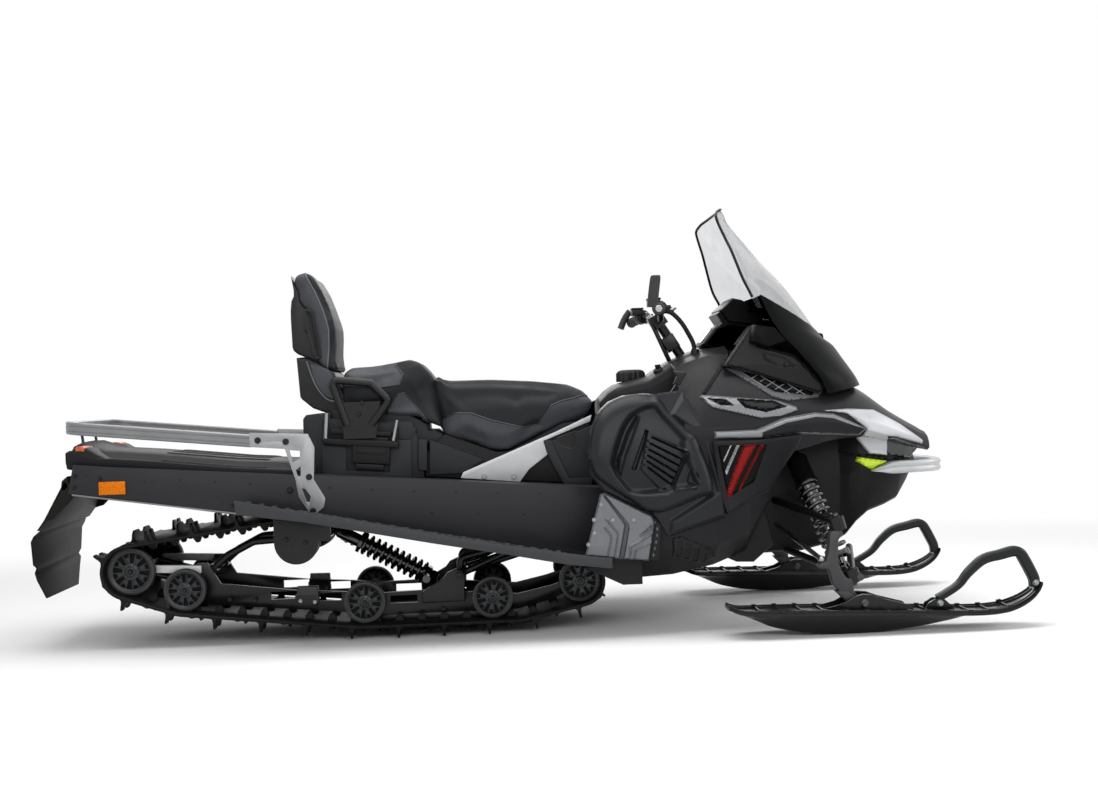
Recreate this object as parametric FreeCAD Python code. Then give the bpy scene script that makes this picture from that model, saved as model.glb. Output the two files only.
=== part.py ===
import FreeCAD, Part
import math
import os

from FreeCAD import Vector

# A two-seat utility snowmobile, nose towards +X, floor at Z = 0, middle plane at Y = 0. Sizes are in mm.

# Overall
tail_x = -1608.0
nose_x = 1608.0
track_half_width = 250.0
fit_gap = 0.3
overrun = 5.0

# Track: a moulded rubber belt with staggered paddle lugs
belt_thickness = 12.0
lug_height = 38.0
lug_foot = 26.0
lug_tip = 12.0
lug_pitch_goal = 72.6
lug_middle_half_width = 120.0
lug_side_start = 135.0
belt_wall = belt_thickness + lug_height

# Wheels that the belt runs round: places and radii of the treads
rear_wheel_x = -1311.0
rear_wheel_z = 252.0
rear_wheel_radius = 78.5
second_wheel_x = -1139.0
second_wheel_z = 184.0
second_wheel_radius = 70.0
rail_heel_x = -560.0
rail_toe_x = -50.0
rail_bend_radius = 120.0
front_wheel_x = 161.0
front_wheel_z = 163.0
front_wheel_radius = 70.0
drive_x = 120.0
drive_z = 322.0
drive_radius = 85.0
carrier_wheel_x = -761.0
carrier_wheel_z = 333.0
carrier_wheel_radius = 70.0
rail_wheel_xs = (-553.0, -131.0)
rail_wheel_radius = 69.0
wheel_y = 200.0
wheel_width = 26.0
inner_wheel_y = 75.0
wheel_hub_radius = 22.0
wheel_bore_radius = 10.3
wheel_web = 8.0
wheel_rim = 14.0
wheel_window_radius = 9.0
wheel_windows = 8
axle_radius = wheel_bore_radius - fit_gap
sprocket_radius = drive_radius - fit_gap
sprocket_width = 20.0
sprocket_teeth = 9
sprocket_notch_radius = 9.0
drive_shaft_radius = 22.0

# Slide rails and their plastic runners
rail_y = 139.0
rail_thickness = 12.0
rail_x = -1135.0
rail_z = 68.0
rail_length = 1323.0
rail_height = 194.0
runner_width = 30.0
rail_slot_length = 90.0
rail_slot_height = 26.0
rail_slot_x_shares = (0.20, 0.31, 0.50, 0.62)
rail_slot_z_shares = (0.33, 0.27, 0.18, 0.18)
rail_shares = [
    (0.026, 0.309), (0.480, 0.0), (0.820, 0.0), (0.911, 0.139), (1.0, 0.423), (1.0, 0.567),
    (0.903, 0.371), (0.823, 0.258), (0.593, 0.387), (0.480, 0.371), (0.266, 0.474),
    (0.179, 0.552), (0.076, 0.639), (0.045, 1.0), (0.019, 1.0), (0.0, 0.629),
]

# Suspension of the skid inside the track
arm_tube_radius = 13.0
arm_sleeve_radius = 18.0
arm_sleeve_length = 44.0
arm_bend_radius = 45.0
rear_arm_y = 95.0
rear_arm_bend_shares = [(0.17, 0.55), (0.45, 0.85)]
rear_arm_foot_x = -1068.0
rear_arm_foot_z = 236.0
rear_arm_bow = 52.0
front_arm_y = 95.0
front_arm_foot_x = -236.0
front_arm_foot_z = 178.0
front_arm_rise = 62.0
front_arm_head_x = -20.0
front_arm_head_z = 290.0
skid_shock_radius = 24.0
skid_shock_core = 13.0
skid_shock_foot_x = -352.0
skid_shock_foot_z = 178.0
skid_shock_head_x = -672.0
skid_shock_head_z = 345.0
spring_ridge = 11.0
spring_cap_share = 0.90
spring_groove_share = 0.72
spring_ends_share = 3.6
drop_bracket_radius = 72.0
drop_bracket_ear = 111.0
drop_bracket_rise = 96.0
drop_bracket_y = 258.0
bump_block_length = 70.0
bump_block_height = 40.0
bump_block_width = 28.0
bump_block_x = -786.0
bump_block_z_share = 0.20

# Tunnel: the folded sheet that covers the track
tunnel_x = -1481.0
tunnel_z = 232.0
tunnel_length = 1816.0
tunnel_height = 379.0
tunnel_half_width = 280.0
tunnel_wall = 5.0
tunnel_shares = [
    (0.010, 1.0), (0.062, 0.974), (0.621, 0.763), (0.934, 0.646), (1.0, 0.620), (1.0, 0.0),
    (0.878, 0.037), (0.776, 0.137), (0.639, 0.264), (0.418, 0.480), (0.309, 0.557),
    (0.290, 0.525), (0.0, 0.755),
]
side_reflector_x = -1382.0
side_reflector_z = 511.0
side_reflector_length = 84.0
side_reflector_height = 42.0
side_reflector_depth = 8.0

# Running boards
board_x = -924.0
board_z = 229.0
board_length = 1174.0
board_height = 258.0
board_half_width = 440.0
board_lip = 6.0
board_deck_rise = 14.0
board_deck_thickness = 5.0
board_lip_top_shares = [(0.0, 1.0), (0.173, 0.837), (0.629, 0.403), (0.929, 0.167), (1.0, 0.128)]
board_lip_low_shares = [
    (1.0, 0.0), (0.883, 0.066), (0.726, 0.213), (0.514, 0.399), (0.172, 0.717), (0.004, 0.829),
]

# Rear deck, tail lamp and snow flap
deck_x = -1511.0
deck_z = 557.0
deck_length = 730.0
deck_height = 115.0
deck_half_width = 262.0
deck_shares = [
    (0.008, 0.480), (0.0, 0.852), (0.042, 1.0), (0.337, 0.887), (0.522, 0.722), (0.974, 0.478),
    (1.0, 0.391), (0.995, -0.08),
]
tail_lamp_x = -1505.0
tail_lamp_length = 215.0
tail_lamp_height = 26.0
tail_lamp_half_width = 95.0
tail_lamp_peak_share = 1.33
flap_z = 183.0
flap_length = 168.0
flap_height = 377.0
flap_thickness = 8.0
flap_shares = [(0.835, 1.0), (0.667, 0.971), (0.0, 0.493), (0.071, 0.164), (0.244, 0.0)]
flap_wing_shares = [
    (0.244, 0.0), (0.935, 0.286), (0.905, 0.408), (0.762, 0.385), (0.982, 0.655), (0.835, 1.0),
]

# Cargo rack of flat-oval tube and its side brackets
rack_tube_height = 40.0
rack_tube_width = 24.0
rack_front_x = -905.0
rack_front_z = 672.0
rack_rear_x = -1466.0
rack_rear_z = 727.0
rack_half_width = 272.0
rack_corner_radius = 70.0
rack_foot_length = 60.0
rack_foot_width = 46.0
rack_foot_y = 150.0
bracket_x = -897.0
bracket_z = 427.0
bracket_length = 236.0
bracket_height = 267.0
bracket_thickness = 6.0
bracket_hole_radius = 4.5
bracket_shares = [
    (0.0, 1.0), (0.792, 0.963), (0.877, 0.801), (0.852, 0.408), (1.0, 0.176), (0.975, 0.067),
    (0.877, 0.0), (0.771, 0.019), (0.640, 0.202), (0.606, 0.408), (0.475, 0.790), (0.0, 0.828),
]
bracket_window_shares = [
    [(0.534, 0.775), (0.678, 0.760), (0.674, 0.670), (0.576, 0.625)],
    [(0.614, 0.530), (0.682, 0.575), (0.678, 0.452), (0.636, 0.455)],
    [(0.686, 0.310), (0.733, 0.295), (0.805, 0.205), (0.788, 0.135), (0.745, 0.140)],
]
bracket_bolt_pitch = 90.0
bracket_bolt_x_share = 0.285
bracket_bolt_z_share = 0.885

# Seats
seat_box_x = -697.0
seat_box_z = 524.0
seat_box_length = 352.0
seat_box_height = 176.0
seat_box_half_width = 168.0
seat_box_shares = [(0.0, 0.943), (0.10, 1.080), (0.901, 1.080), (1.0, 0.432), (1.0, -0.06), (0.020, 0.09)]
passenger_x = -625.0
passenger_z = 702.0
passenger_length = 355.0
passenger_height = 212.0
passenger_half_width = 178.0
passenger_shares = [
    (0.014, 0.840), (0.059, 0.896), (0.442, 0.915), (0.634, 0.991), (0.746, 1.0), (0.831, 0.863),
    (0.901, 0.774), (1.0, 0.642), (0.958, 0.203), (0.831, 0.0), (0.183, 0.047), (0.0, 0.156),
]
rider_x = -273.0
rider_z = 603.0
rider_length = 513.0
rider_height = 231.0
rider_half_width = 172.0
rider_shares = [
    (0.018, 1.0), (0.349, 0.991), (0.682, 0.926), (0.821, 0.879), (0.953, 0.775), (1.0, 0.684),
    (0.947, 0.563), (0.725, 0.377), (0.571, 0.160), (0.415, 0.004), (0.333, 0.0), (0.0, 0.299),
]
seat_base_x = -340.0
seat_base_z = 480.0
seat_base_length = 600.0
seat_base_height = 220.0
seat_base_half_width = 165.0
seat_base_shares = [
    (0.112, 0.840), (0.397, 0.541), (0.467, 0.545), (0.600, 0.709), (0.767, 0.940), (0.910, 0.980),
    (1.0, 0.364), (0.967, 0.0), (0.925, 0.005), (0.0, 0.200), (0.0, 0.545),
]
cushion_crown = 26.0
cushion_side_share = 0.90
seat_trim_x = -224.0
seat_trim_z = 496.0
seat_trim_length = 445.0
seat_trim_height = 216.0
seat_trim_thickness = 10.0
seat_trim_shares = [
    (0.0, 0.093), (0.020, 0.181), (0.728, 0.759), (1.0, 1.0), (0.987, 0.898), (0.631, 0.620),
    (0.658, 0.407), (0.515, 0.190), (0.445, 0.0),
]
backrest_x = -744.0
backrest_z = 905.0
backrest_length = 131.0
backrest_height = 317.0
backrest_half_width = 170.0
backrest_shares = [
    (0.122, 1.0), (0.244, 0.975), (0.389, 0.909), (0.679, 0.713), (0.863, 0.552), (1.0, 0.382),
    (0.985, 0.192), (0.893, 0.038), (0.366, 0.0), (0.137, 0.174), (0.023, 0.457), (0.0, 0.741),
]
back_frame_x = -769.0
back_frame_z = 754.0
back_frame_length = 99.0
back_frame_height = 472.0
back_frame_half_width = 150.0
back_frame_shares = [
    (0.414, 1.0), (0.071, 0.966), (0.111, 0.811), (0.0, 0.750), (0.010, 0.587), (0.051, 0.432),
    (0.192, 0.119), (0.616, 0.019), (0.848, 0.0), (1.0, 0.076), (0.697, 0.309), (0.444, 0.436),
    (0.293, 0.627), (0.263, 0.818),
]
back_post_radius = 16.0
back_post_y = 90.0
grab_tube_radius = 13.0
grab_bend_radius = 30.0
grab_y = 205.0
grab_rear_x = -640.0
grab_front_x = -450.0
grab_top_z = 858.0
grab_fall = 16.0
grab_elbow_drop = 58.0
grab_foot_z = 706.0
grab_foot_rear_x = -590.0
grab_foot_front_x = -510.0
grab_plate_thickness = 8.0
grab_plate_drop = 39.0
grab_stub_drop = 26.0

# Steering column and handlebar
steer_x = 535.0
steer_z = 934.0
steer_lean_deg = 32.5
post_radius = 17.0
post_socket_gap = 6.0
post_above = 112.0
post_below = 64.0
bar_radius = 11.0
bar_bend_radius = 45.0
bar_half_width = 395.0
bar_clamp_length = 110.0
bar_clamp_depth = 46.0
bar_rise = 34.0
bar_sweep = 46.0
bar_elbow_y_share = 0.46
bar_elbow_x_share = 0.25
grip_radius = 17.0
grip_length = 120.0
hook_height = 82.0
hook_radius = 15.0
lever_reach = 46.0
lever_thickness = 9.0
lever_length = 120.0
lever_pivot_share = 0.80
lever_sweep_share = 0.25
switch_radius = 24.0
switch_length = 46.0

# Front frame, suspension arms, shocks and ski legs
frame_x = 752.0
frame_length = 380.0
frame_half_width = 150.0
frame_low_z = 190.0
frame_high_z = 520.0
frame_nose_share = 0.50
frame_heel_shares = (0.84, 0.30)
ski_y = 470.0
king_y = 452.0
king_upper_x = 968.0
king_upper_z = 345.0
king_lower_x = 1010.0
king_lower_z = 178.0
king_radius = 11.0
arm_eye_radius = 24.0
arm_eye_height = 42.0
front_arm_radius = 12.0
upper_arm_xs = (836.0, 936.0)
upper_arm_z = 400.0
lower_arm_xs = (868.0, 1085.0)
lower_arm_z = 232.0
front_shock_radius = 30.0
front_shock_core = 15.0
front_shock_head_x = 868.0
front_shock_head_y = 232.0
front_shock_head_z = 516.0
front_shock_foot_x = 988.0
front_shock_foot_y = 372.0
front_shock_foot_z = 200.0
spindle_half_width = 22.0
spindle_depth = 50.0
spindle_window_length = 42.0
spindle_window_width = 15.0
spindle_window_share = 0.77
king_shoulder = 0.9
steering_arm_reach = 88.0
steering_arm_height = 16.0
steering_arm_width = 20.0
ski_bolt_x = 1034.0
ski_bolt_z = 108.0
ski_bolt_radius = 9.0
tie_rod_radius = 8.0
tie_rod_ball_radius = 13.0
tie_rod_inner_x = 838.0
tie_rod_inner_y = 120.0
tie_rod_inner_z = 322.0
link_bay_x = 806.0
link_bay_z = 282.0
link_bay_length = 74.0
link_bay_height = 76.0
shock_bar_radius = 12.0

# Skis
ski_length = 1002.0
ski_bolt_share = 0.4271
ski_tip_height = 139.0
ski_half_width = 78.0
ski_blade_thickness = 14.0
ski_keel_half_width = 24.0
ski_rib_y = 38.0
ski_rib_thickness = 12.0
ski_bottom_shares = [
    (0.0, 0.662), (0.038, 0.446), (0.154, 0.229), (0.253, 0.160), (0.368, 0.140), (0.493, 0.150),
    (0.643, 0.200), (0.798, 0.360), (0.875, 0.420), (0.931, 0.500), (0.983, 0.700), (1.0, 0.900),
]
ski_keel_shares = [
    (0.150, 0.240), (0.253, 0.022), (0.368, 0.0), (0.493, 0.014), (0.600, 0.060), (0.700, 0.260),
]
ski_keel_top_share = 0.26
ski_rib_shares = [
    (0.300, 0.150), (0.340, 0.560), (0.395, 0.850), (0.460, 0.850), (0.520, 0.560), (0.640, 0.330),
    (0.640, 0.215),
]
handle_strap_width = 34.0
handle_strap_thickness = 22.0
handle_bend_radius = 50.0
handle_setback = 12.0
handle_z = 96.0
handle_length = 322.0
handle_height = 150.0
handle_shares = [(0.0, 0.0), (0.16, 0.36), (0.43, 0.84), (0.80, 1.0), (0.93, 0.83), (1.0, 0.25)]

# Body panels
hood_low_z = 540.0
body_half_width = 400.0
hood_width_shares = {
    "bottom": (1.00, 1.00, 0.90, 0.75, 0.60, 0.45, 0.25),
    "side": (1.00, 1.00, 0.93, 0.84, 0.73, 0.60, 0.40),
    "shoulder": (0.75, 0.79, 0.80, 0.75, 0.68, 0.55, 0.35),
    "roof": (0.50, 0.50, 0.50, 0.48, 0.40, 0.30, 0.20),
}
hood_x = 500.0
hood_length = 872.0
hood_height = 400.0
hood_x_shares = (0.0, 0.183, 0.401, 0.573, 0.734, 0.872, 1.0)
hood_z_shares = {
    "bottom": (0.0, 0.0, 0.0, 0.0, 0.0, 0.0, 0.0),
    "side": (0.30, 0.30, 0.30, 0.30, 0.20, 0.125, 0.05),
    "shoulder": (0.625, 0.65, 0.525, 0.45, 0.375, 0.25, 0.15),
    "roof": (0.80, 0.90, 0.775, 0.65, 0.525, 0.325, 0.19),
    "crest": (0.85, 0.975, 0.90, 0.75, 0.61, 0.375, 0.20),
}
skin_thickness = 9.0
skin_reach_shares = (0.20, 1.20)
cowl_shares = [
    (0.569, 0.42), (0.757, 0.39), (0.945, 0.13), (0.940, 0.09), (0.855, 0.165), (0.795, 0.155),
    (0.798, 0.04), (0.721, 0.05), (0.685, 0.155), (0.725, 0.245),
]
lens_shares = [(0.797, 0.145), (0.855, 0.155), (0.935, 0.085), (0.915, 0.035), (0.800, 0.035)]
vent_frame_shares = [(0.075, 0.53), (0.441, 0.43), (0.441, 0.36), (0.33, 0.34), (0.13, 0.43)]
lower_x = 345.0
lower_length = 457.0
lower_low_z = 175.0
lower_x_shares = (0.0, 0.25, 0.55, 0.80, 1.0)
lower_width_shares = (0.96, 1.0, 0.98, 0.90, 0.72)
lower_floor_shares = (0.0, 0.02, 0.09, 0.20, 0.60)
lower_chine_shares = (0.30, 0.28, 0.30, 0.42, 0.72)
lower_keel_width_share = 0.72
pod_x = 165.0
pod_low_z = 168.0
pod_high_z = 228.0
pod_width_share = 0.96
pod_toe_share = 0.66
side_panel_x = 197.0
side_panel_z = 395.0
side_panel_length = 425.0
side_panel_height = 385.0
side_panel_y = 288.0
side_panel_depth = 128.0
side_panel_shares = [
    (0.0, 0.44), (0.05, 0.71), (0.14, 0.89), (0.27, 0.96), (0.46, 0.95), (0.725, 0.98), (0.92, 0.655),
    (1.0, 0.07), (0.475, 0.0), (0.23, 0.22),
]
side_panel_crown_share = 0.80
louvre_count = 6
louvre_length = 120.0
louvre_width = 8.0
louvre_depth = 8.0
louvre_pitch = 16.0
louvre_slant_deg = -25.0
louvre_x_share = 0.55
louvre_z_share = 0.42
guard_x = 165.0
guard_z = 250.0
guard_length = 225.0
guard_height = 218.0
guard_thickness = 6.0
guard_shares = [(0.27, 1.0), (0.0, 0.06), (0.88, 0.0), (1.0, 0.49)]
engine_x = 420.0
engine_length = 300.0
engine_half_width = 190.0
engine_z = 290.0
engine_height = 330.0
engine_gap = 6.0
console_x = 215.0
console_z = 600.0
console_length = 485.0
console_height = 337.0
console_half_width = 150.0
console_shares = [
    (0.052, 0.478), (0.186, 0.632), (0.208, 0.671), (0.400, 0.751), (0.586, 0.864), (0.942, 1.0),
    (1.0, 0.772), (0.979, 0.297), (0.588, 0.119), (0.093, 0.0), (0.0, 0.297),
]
cap_radius = 44.0
cap_height = 24.0
cap_x = 350.0
cap_z = 838.0
pull_x = 488.0
pull_z = 822.0
pull_y_share = 0.805
pull_length = 46.0
pull_radius = 10.0
bumper_ahead = 92.0
bumper_tube = 17.0
bumper_half_width = 205.0
bumper_reach = 150.0
bumper_z = 488.0
bumper_rise = 12.0
bumper_shoulder_share = 0.80
bumper_bow = 50.0
bumper_bend_radius = 51.0
nose_length = 207.7
nose_low_z = 380.0
nose_half_width = 165.0
nose_rise_shares = [(1.0, 1.0), (0.82, 0.6), (0.017, 0.0), (0.0, 0.0)]
marker_length = 96.0
marker_height = 32.0
marker_setback = 57.0
marker_z = 502.0
marker_thickness = 6.0
marker_front_share = 0.90

# Windshield and fairing: arched sheets, given as middle point, edge point and half width at each level
screen_thickness = 5.0
screen_x = 650.0
screen_z = 965.0
screen_length = 377.0
screen_height = 440.0
screen_width_share = 0.70
screen_shares = [
    ((1.0, 0.0), (0.318, 0.193), 1.0),
    ((0.695, 0.368), (0.223, 0.416), 0.95),
    ((0.470, 0.605), (0.119, 0.625), 0.89),
    ((0.297, 0.768), (0.032, 0.807), 0.84),
    ((0.180, 0.970), (0.0, 0.905), 0.77),
]
fairing_thickness = 7.0
fairing_shares = [
    ((1.0, 0.0), (0.318, 0.193), 1.0),
    ((1.090, -0.066), (0.451, 0.045), 1.08),
    ((1.194, -0.182), (0.610, -0.114), 1.14),
    ((1.372, -0.393), (0.862, -0.375), 1.16),
    ((1.420, -0.560), (0.950, -0.600), 1.10),
]
pod_dash_x = 587.0
pod_dash_z = 890.0
pod_dash_length = 205.0
pod_dash_height = 190.0
pod_dash_half_width = 170.0
pod_dash_shares = [
    (0.0, 0.22), (0.17, 0.49), (0.395, 0.53), (0.268, 0.795), (0.49, 1.0), (0.65, 0.97), (0.98, 0.62),
    (0.85, 0.05), (0.06, 0.0),
]


def outline(x, z, length, height, shares):
    return [(x + share_x * length, z + share_z * height) for share_x, share_z in shares]


def face_at(points, y):
    corners = [Vector(x, y, z) for x, z in points]
    return Part.Face(Part.makePolygon(corners + corners[:1]))


def plate(points, y_from, y_to):
    return face_at(points, y_from).extrude(Vector(0, y_to - y_from, 0))


def shrunk(points, share):
    middle_x = sum(x for x, z in points) / len(points)
    middle_z = sum(z for x, z in points) / len(points)
    return [(middle_x + (x - middle_x) * share, middle_z + (z - middle_z) * share) for x, z in points]


def tapered(points, y_from, y_to, share):
    wires = []
    for y, ring in ((y_from, points), (y_to, shrunk(points, share))):
        corners = [Vector(x, y, z) for x, z in ring]
        wires.append(Part.makePolygon(corners + corners[:1]))
    return Part.makeLoft(wires, True, True)


def mirrored(shape):
    return shape.mirror(Vector(0, 0, 0), Vector(0, 1, 0))


def both_sides(shape):
    return Part.Compound([shape, mirrored(shape)])


def fused(shapes):
    whole = shapes[0]
    if len(shapes) > 1:
        whole = whole.fuse(shapes[1:])
    return whole.removeSplitter()


def rod(start, end, radius):
    return Part.makeCylinder(radius, (end - start).Length, start, end - start)


def drum(x, z, radius, y_from, y_to):
    return Part.makeCylinder(radius, y_to - y_from, Vector(x, y_from, z), Vector(0, 1, 0))


def bent_route(points, bend_radius):
    """Straight runs and the tangent arcs that join them: (start, end, middle of arc or None)."""
    pieces = []
    here = points[0]
    for before, corner, after in zip(points, points[1:], points[2:]):
        back = (before - corner).normalize()
        ahead = (after - corner).normalize()
        half_angle = back.getAngle(ahead) / 2
        reach = bend_radius / math.tan(half_angle)
        start = corner + back * reach
        end = corner + ahead * reach
        inward = (back + ahead).normalize()
        centre = corner + inward * (bend_radius / math.sin(half_angle))
        pieces.append((here, start, None))
        pieces.append((start, end, centre))
        here = end
    pieces.append((here, points[-1], None))
    return pieces


def swept(points, bend_radius, section):
    """Sweeps a section face, given by a place and a direction, along runs and arcs."""
    shapes = []
    direction = points[1] - points[0]
    for start, end, centre in bent_route(points, bend_radius):
        if centre is None:
            direction = end - start
            shapes.append(section(start, direction).extrude(direction))
        else:
            axis = (start - centre).cross(end - centre)
            turn = math.degrees((start - centre).getAngle(end - centre))
            shapes.append(section(start, direction).revolve(centre, axis, turn))
    return fused(shapes)


def bent_tube(points, radius, bend_radius):
    def section(at, direction):
        return Part.Face(Part.Wire(Part.makeCircle(radius, at, direction)))

    return swept(points, bend_radius, section)


def coil_over(head, foot, spring_radius, core_radius, ridge):
    """A damper with its spring, turned as one ribbed body about its own line."""
    length = (foot - head).Length
    cap = spring_radius * spring_cap_share
    turns = int((length - spring_ends_share * spring_radius) / (2 * ridge))
    spring = turns * 2 * ridge
    start = (length - spring) / 2
    profile = [(0, 0), (core_radius, 0), (core_radius, start - ridge), (cap, start - ridge), (cap, start)]
    for turn in range(turns):
        low = start + turn * 2 * ridge
        profile.append((spring_radius, low + ridge / 2))
        profile.append((spring_radius, low + ridge))
        profile.append((spring_radius * spring_groove_share, low + 2 * ridge))
    end = start + spring
    profile += [(cap, end), (cap, end + ridge), (core_radius, end + ridge)]
    profile += [(core_radius, length), (0, length)]
    corners = [Vector(r, 0, along) for r, along in profile]
    body = Part.Face(Part.makePolygon(corners + corners[:1])).revolve(Vector(0, 0, 0), Vector(0, 0, 1), 360)
    body.Placement = FreeCAD.Placement(head, FreeCAD.Rotation(Vector(0, 0, 1), foot - head))
    return body


def belt_circles():
    floor_z = belt_wall + rail_bend_radius
    return [
        (rear_wheel_x, rear_wheel_z, rear_wheel_radius),
        (carrier_wheel_x, carrier_wheel_z, carrier_wheel_radius),
        (drive_x, drive_z, drive_radius),
        (front_wheel_x, front_wheel_z, front_wheel_radius),
        (rail_toe_x, floor_z, rail_bend_radius),
        (rail_heel_x, floor_z, rail_bend_radius),
        (second_wheel_x, second_wheel_z, second_wheel_radius),
    ]


def belt_runs(grow):
    """Start and end of each straight run, going round clockwise, for circles grown by the given size."""
    circles = belt_circles()
    runs = []
    for (x1, z1, r1), (x2, z2, r2) in zip(circles, circles[1:] + circles[:1]):
        dx, dz = x2 - x1, z2 - z1
        distance = math.hypot(dx, dz)
        lean = math.asin((r1 - r2) / distance)
        along = math.atan2(dz, dx)
        normal = along + math.pi / 2 - lean
        nx, nz = math.cos(normal), math.sin(normal)
        runs.append((
            Vector(x1 + nx * (r1 + grow), 0, z1 + nz * (r1 + grow)),
            Vector(x2 + nx * (r2 + grow), 0, z2 + nz * (r2 + grow)),
            Vector(nx, 0, nz),
        ))
    return runs


def belt_loop(grow):
    circles = belt_circles()
    runs = belt_runs(grow)
    edges = []
    for index, (start, end, normal) in enumerate(runs):
        turn = (index + 1) % len(runs)
        x, z, radius = circles[turn]
        next_start, next_end, next_normal = runs[turn]
        edges.append(Part.LineSegment(start, end).toShape())
        outward = (normal + next_normal).normalize()
        middle = Vector(x, 0, z) + outward * (radius + grow)
        edges.append(Part.Arc(end, middle, next_start).toShape())
    return Part.Wire(edges)


def make_track():
    outer = belt_loop(belt_thickness)
    inner = belt_loop(0)
    ring = Part.Face(outer).cut(Part.Face(inner))
    belt = ring.extrude(Vector(0, 2 * track_half_width, 0))
    belt.translate(Vector(0, -track_half_width, 0))
    count = 2 * round(outer.Length / lug_pitch_goal / 2)
    lugs = []
    places = outer.discretize(Number=count + 1)[:-1]
    middle_x = sum(point.x for point in places) / count
    middle_z = sum(point.z for point in places) / count
    for index, place in enumerate(places):
        ahead = places[(index + 1) % count] - places[index - 1]
        ahead.normalize()
        outward = Vector(-ahead.z, 0, ahead.x)
        if outward.dot(Vector(place.x - middle_x, 0, place.z - middle_z)) < 0:
            outward = outward * -1
        foot = place - outward * (belt_thickness / 2)
        tip = place + outward * lug_height
        profile = [foot + ahead * (lug_foot / 2), tip + ahead * (lug_tip / 2),
                   tip - ahead * (lug_tip / 2), foot - ahead * (lug_foot / 2)]
        face = Part.Face(Part.makePolygon(profile + profile[:1]))
        if index % 2:
            spans = [(-lug_middle_half_width, lug_middle_half_width)]
        else:
            spans = [(-track_half_width, -lug_side_start), (lug_side_start, track_half_width)]
        for low, high in spans:
            lug = face.extrude(Vector(0, high - low, 0))
            lug.translate(Vector(0, low, 0))
            lugs.append(lug)
    floor_cut = Part.makeBox(nose_x - tail_x, 2 * board_half_width, lug_height)
    floor_cut.translate(Vector(tail_x, -board_half_width, -lug_height))
    return belt.fuse(lugs).cut(floor_cut)


def make_wheel(radius, width):
    half = width / 2
    web = wheel_web / 2
    rim = radius - wheel_rim
    profile = [(wheel_bore_radius, -half), (wheel_hub_radius, -half), (wheel_hub_radius, -web), (rim, -web),
               (rim, -half), (radius, -half), (radius, half), (rim, half), (rim, web),
               (wheel_hub_radius, web), (wheel_hub_radius, half), (wheel_bore_radius, half)]
    corners = [Vector(r, y, 0) for r, y in profile]
    wheel = Part.Face(Part.makePolygon(corners + corners[:1])).revolve(Vector(0, 0, 0), Vector(0, 1, 0), 360)
    window_at = (wheel_hub_radius + rim) / 2
    for index in range(wheel_windows):
        angle = 2 * math.pi * index / wheel_windows
        x, z = window_at * math.cos(angle), window_at * math.sin(angle)
        wheel = wheel.cut(drum(x, z, wheel_window_radius, -width, width))
    return wheel


def rail_wheel_z():
    return belt_wall + rail_wheel_radius


def wheel_axles():
    """Place and tread radius of each axle on the rails; the treads stop just short of the belt."""
    wheels = [
        (rear_wheel_x, rear_wheel_z, rear_wheel_radius),
        (second_wheel_x, second_wheel_z, second_wheel_radius),
        (front_wheel_x, front_wheel_z, front_wheel_radius),
    ]
    wheels += [(x, rail_wheel_z(), rail_wheel_radius) for x in rail_wheel_xs]
    return [(x, z, radius - fit_gap) for x, z, radius in wheels]


def make_idler_wheels():
    wheels = []
    for x, z, radius in wheel_axles() + [(carrier_wheel_x, carrier_wheel_z, carrier_wheel_radius - fit_gap)]:
        wheel = make_wheel(radius, wheel_width)
        for y in (-wheel_y, wheel_y):
            copy = wheel.copy()
            copy.translate(Vector(x, y, z))
            wheels.append(copy)
    return Part.Compound(wheels)


def make_slide_rails():
    points = outline(rail_x, rail_z, rail_length, rail_height, rail_shares)
    half = rail_thickness / 2
    rail = plate(points, -rail_y - half, -rail_y + half)
    for share_x, share_z in zip(rail_slot_x_shares, rail_slot_z_shares):
        slot = Part.makeBox(rail_slot_length, rail_thickness + 2 * overrun, rail_slot_height)
        slot_x = rail_x + share_x * rail_length
        slot.translate(Vector(slot_x, -rail_y - half - overrun, rail_z + share_z * rail_height))
        rail = rail.cut(slot)
    block = Part.makeBox(bump_block_length, bump_block_width, bump_block_height)
    block_z = rail_z + bump_block_z_share * rail_height
    block.translate(Vector(bump_block_x, -rail_y - half - bump_block_width, block_z))
    rail = rail.fuse(block)
    shapes = [rail, mirrored(rail)]
    reach = wheel_y + wheel_width / 2
    for x, z, radius in wheel_axles():
        shapes.append(drum(x, z, axle_radius, -reach, reach))
    adjuster_foot = Vector(rail_x + rail_thickness, -rail_y, second_wheel_z + rail_thickness)
    adjuster = rod(Vector(rear_wheel_x, -rail_y, rear_wheel_z), adjuster_foot, axle_radius)
    shapes += [adjuster, mirrored(adjuster)]
    return fused(shapes)


def make_runners():
    floor_z = belt_wall + fit_gap
    runner = Part.makeBox(rail_toe_x - rail_heel_x, runner_width, rail_z - fit_gap - floor_z)
    runner.translate(Vector(rail_heel_x, -rail_y - runner_width / 2, floor_z))
    return both_sides(runner)


def rail_inner_reach():
    return rail_y - rail_thickness / 2 - fit_gap


def arm_sleeves(end):
    """Bushed sleeves on a cross shaft, one for each of the two tubes that end there."""
    half = arm_sleeve_length / 2
    return [drum(end.x, end.z, arm_sleeve_radius, y - half, y + half) for y in (-end.y, end.y)]


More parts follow.
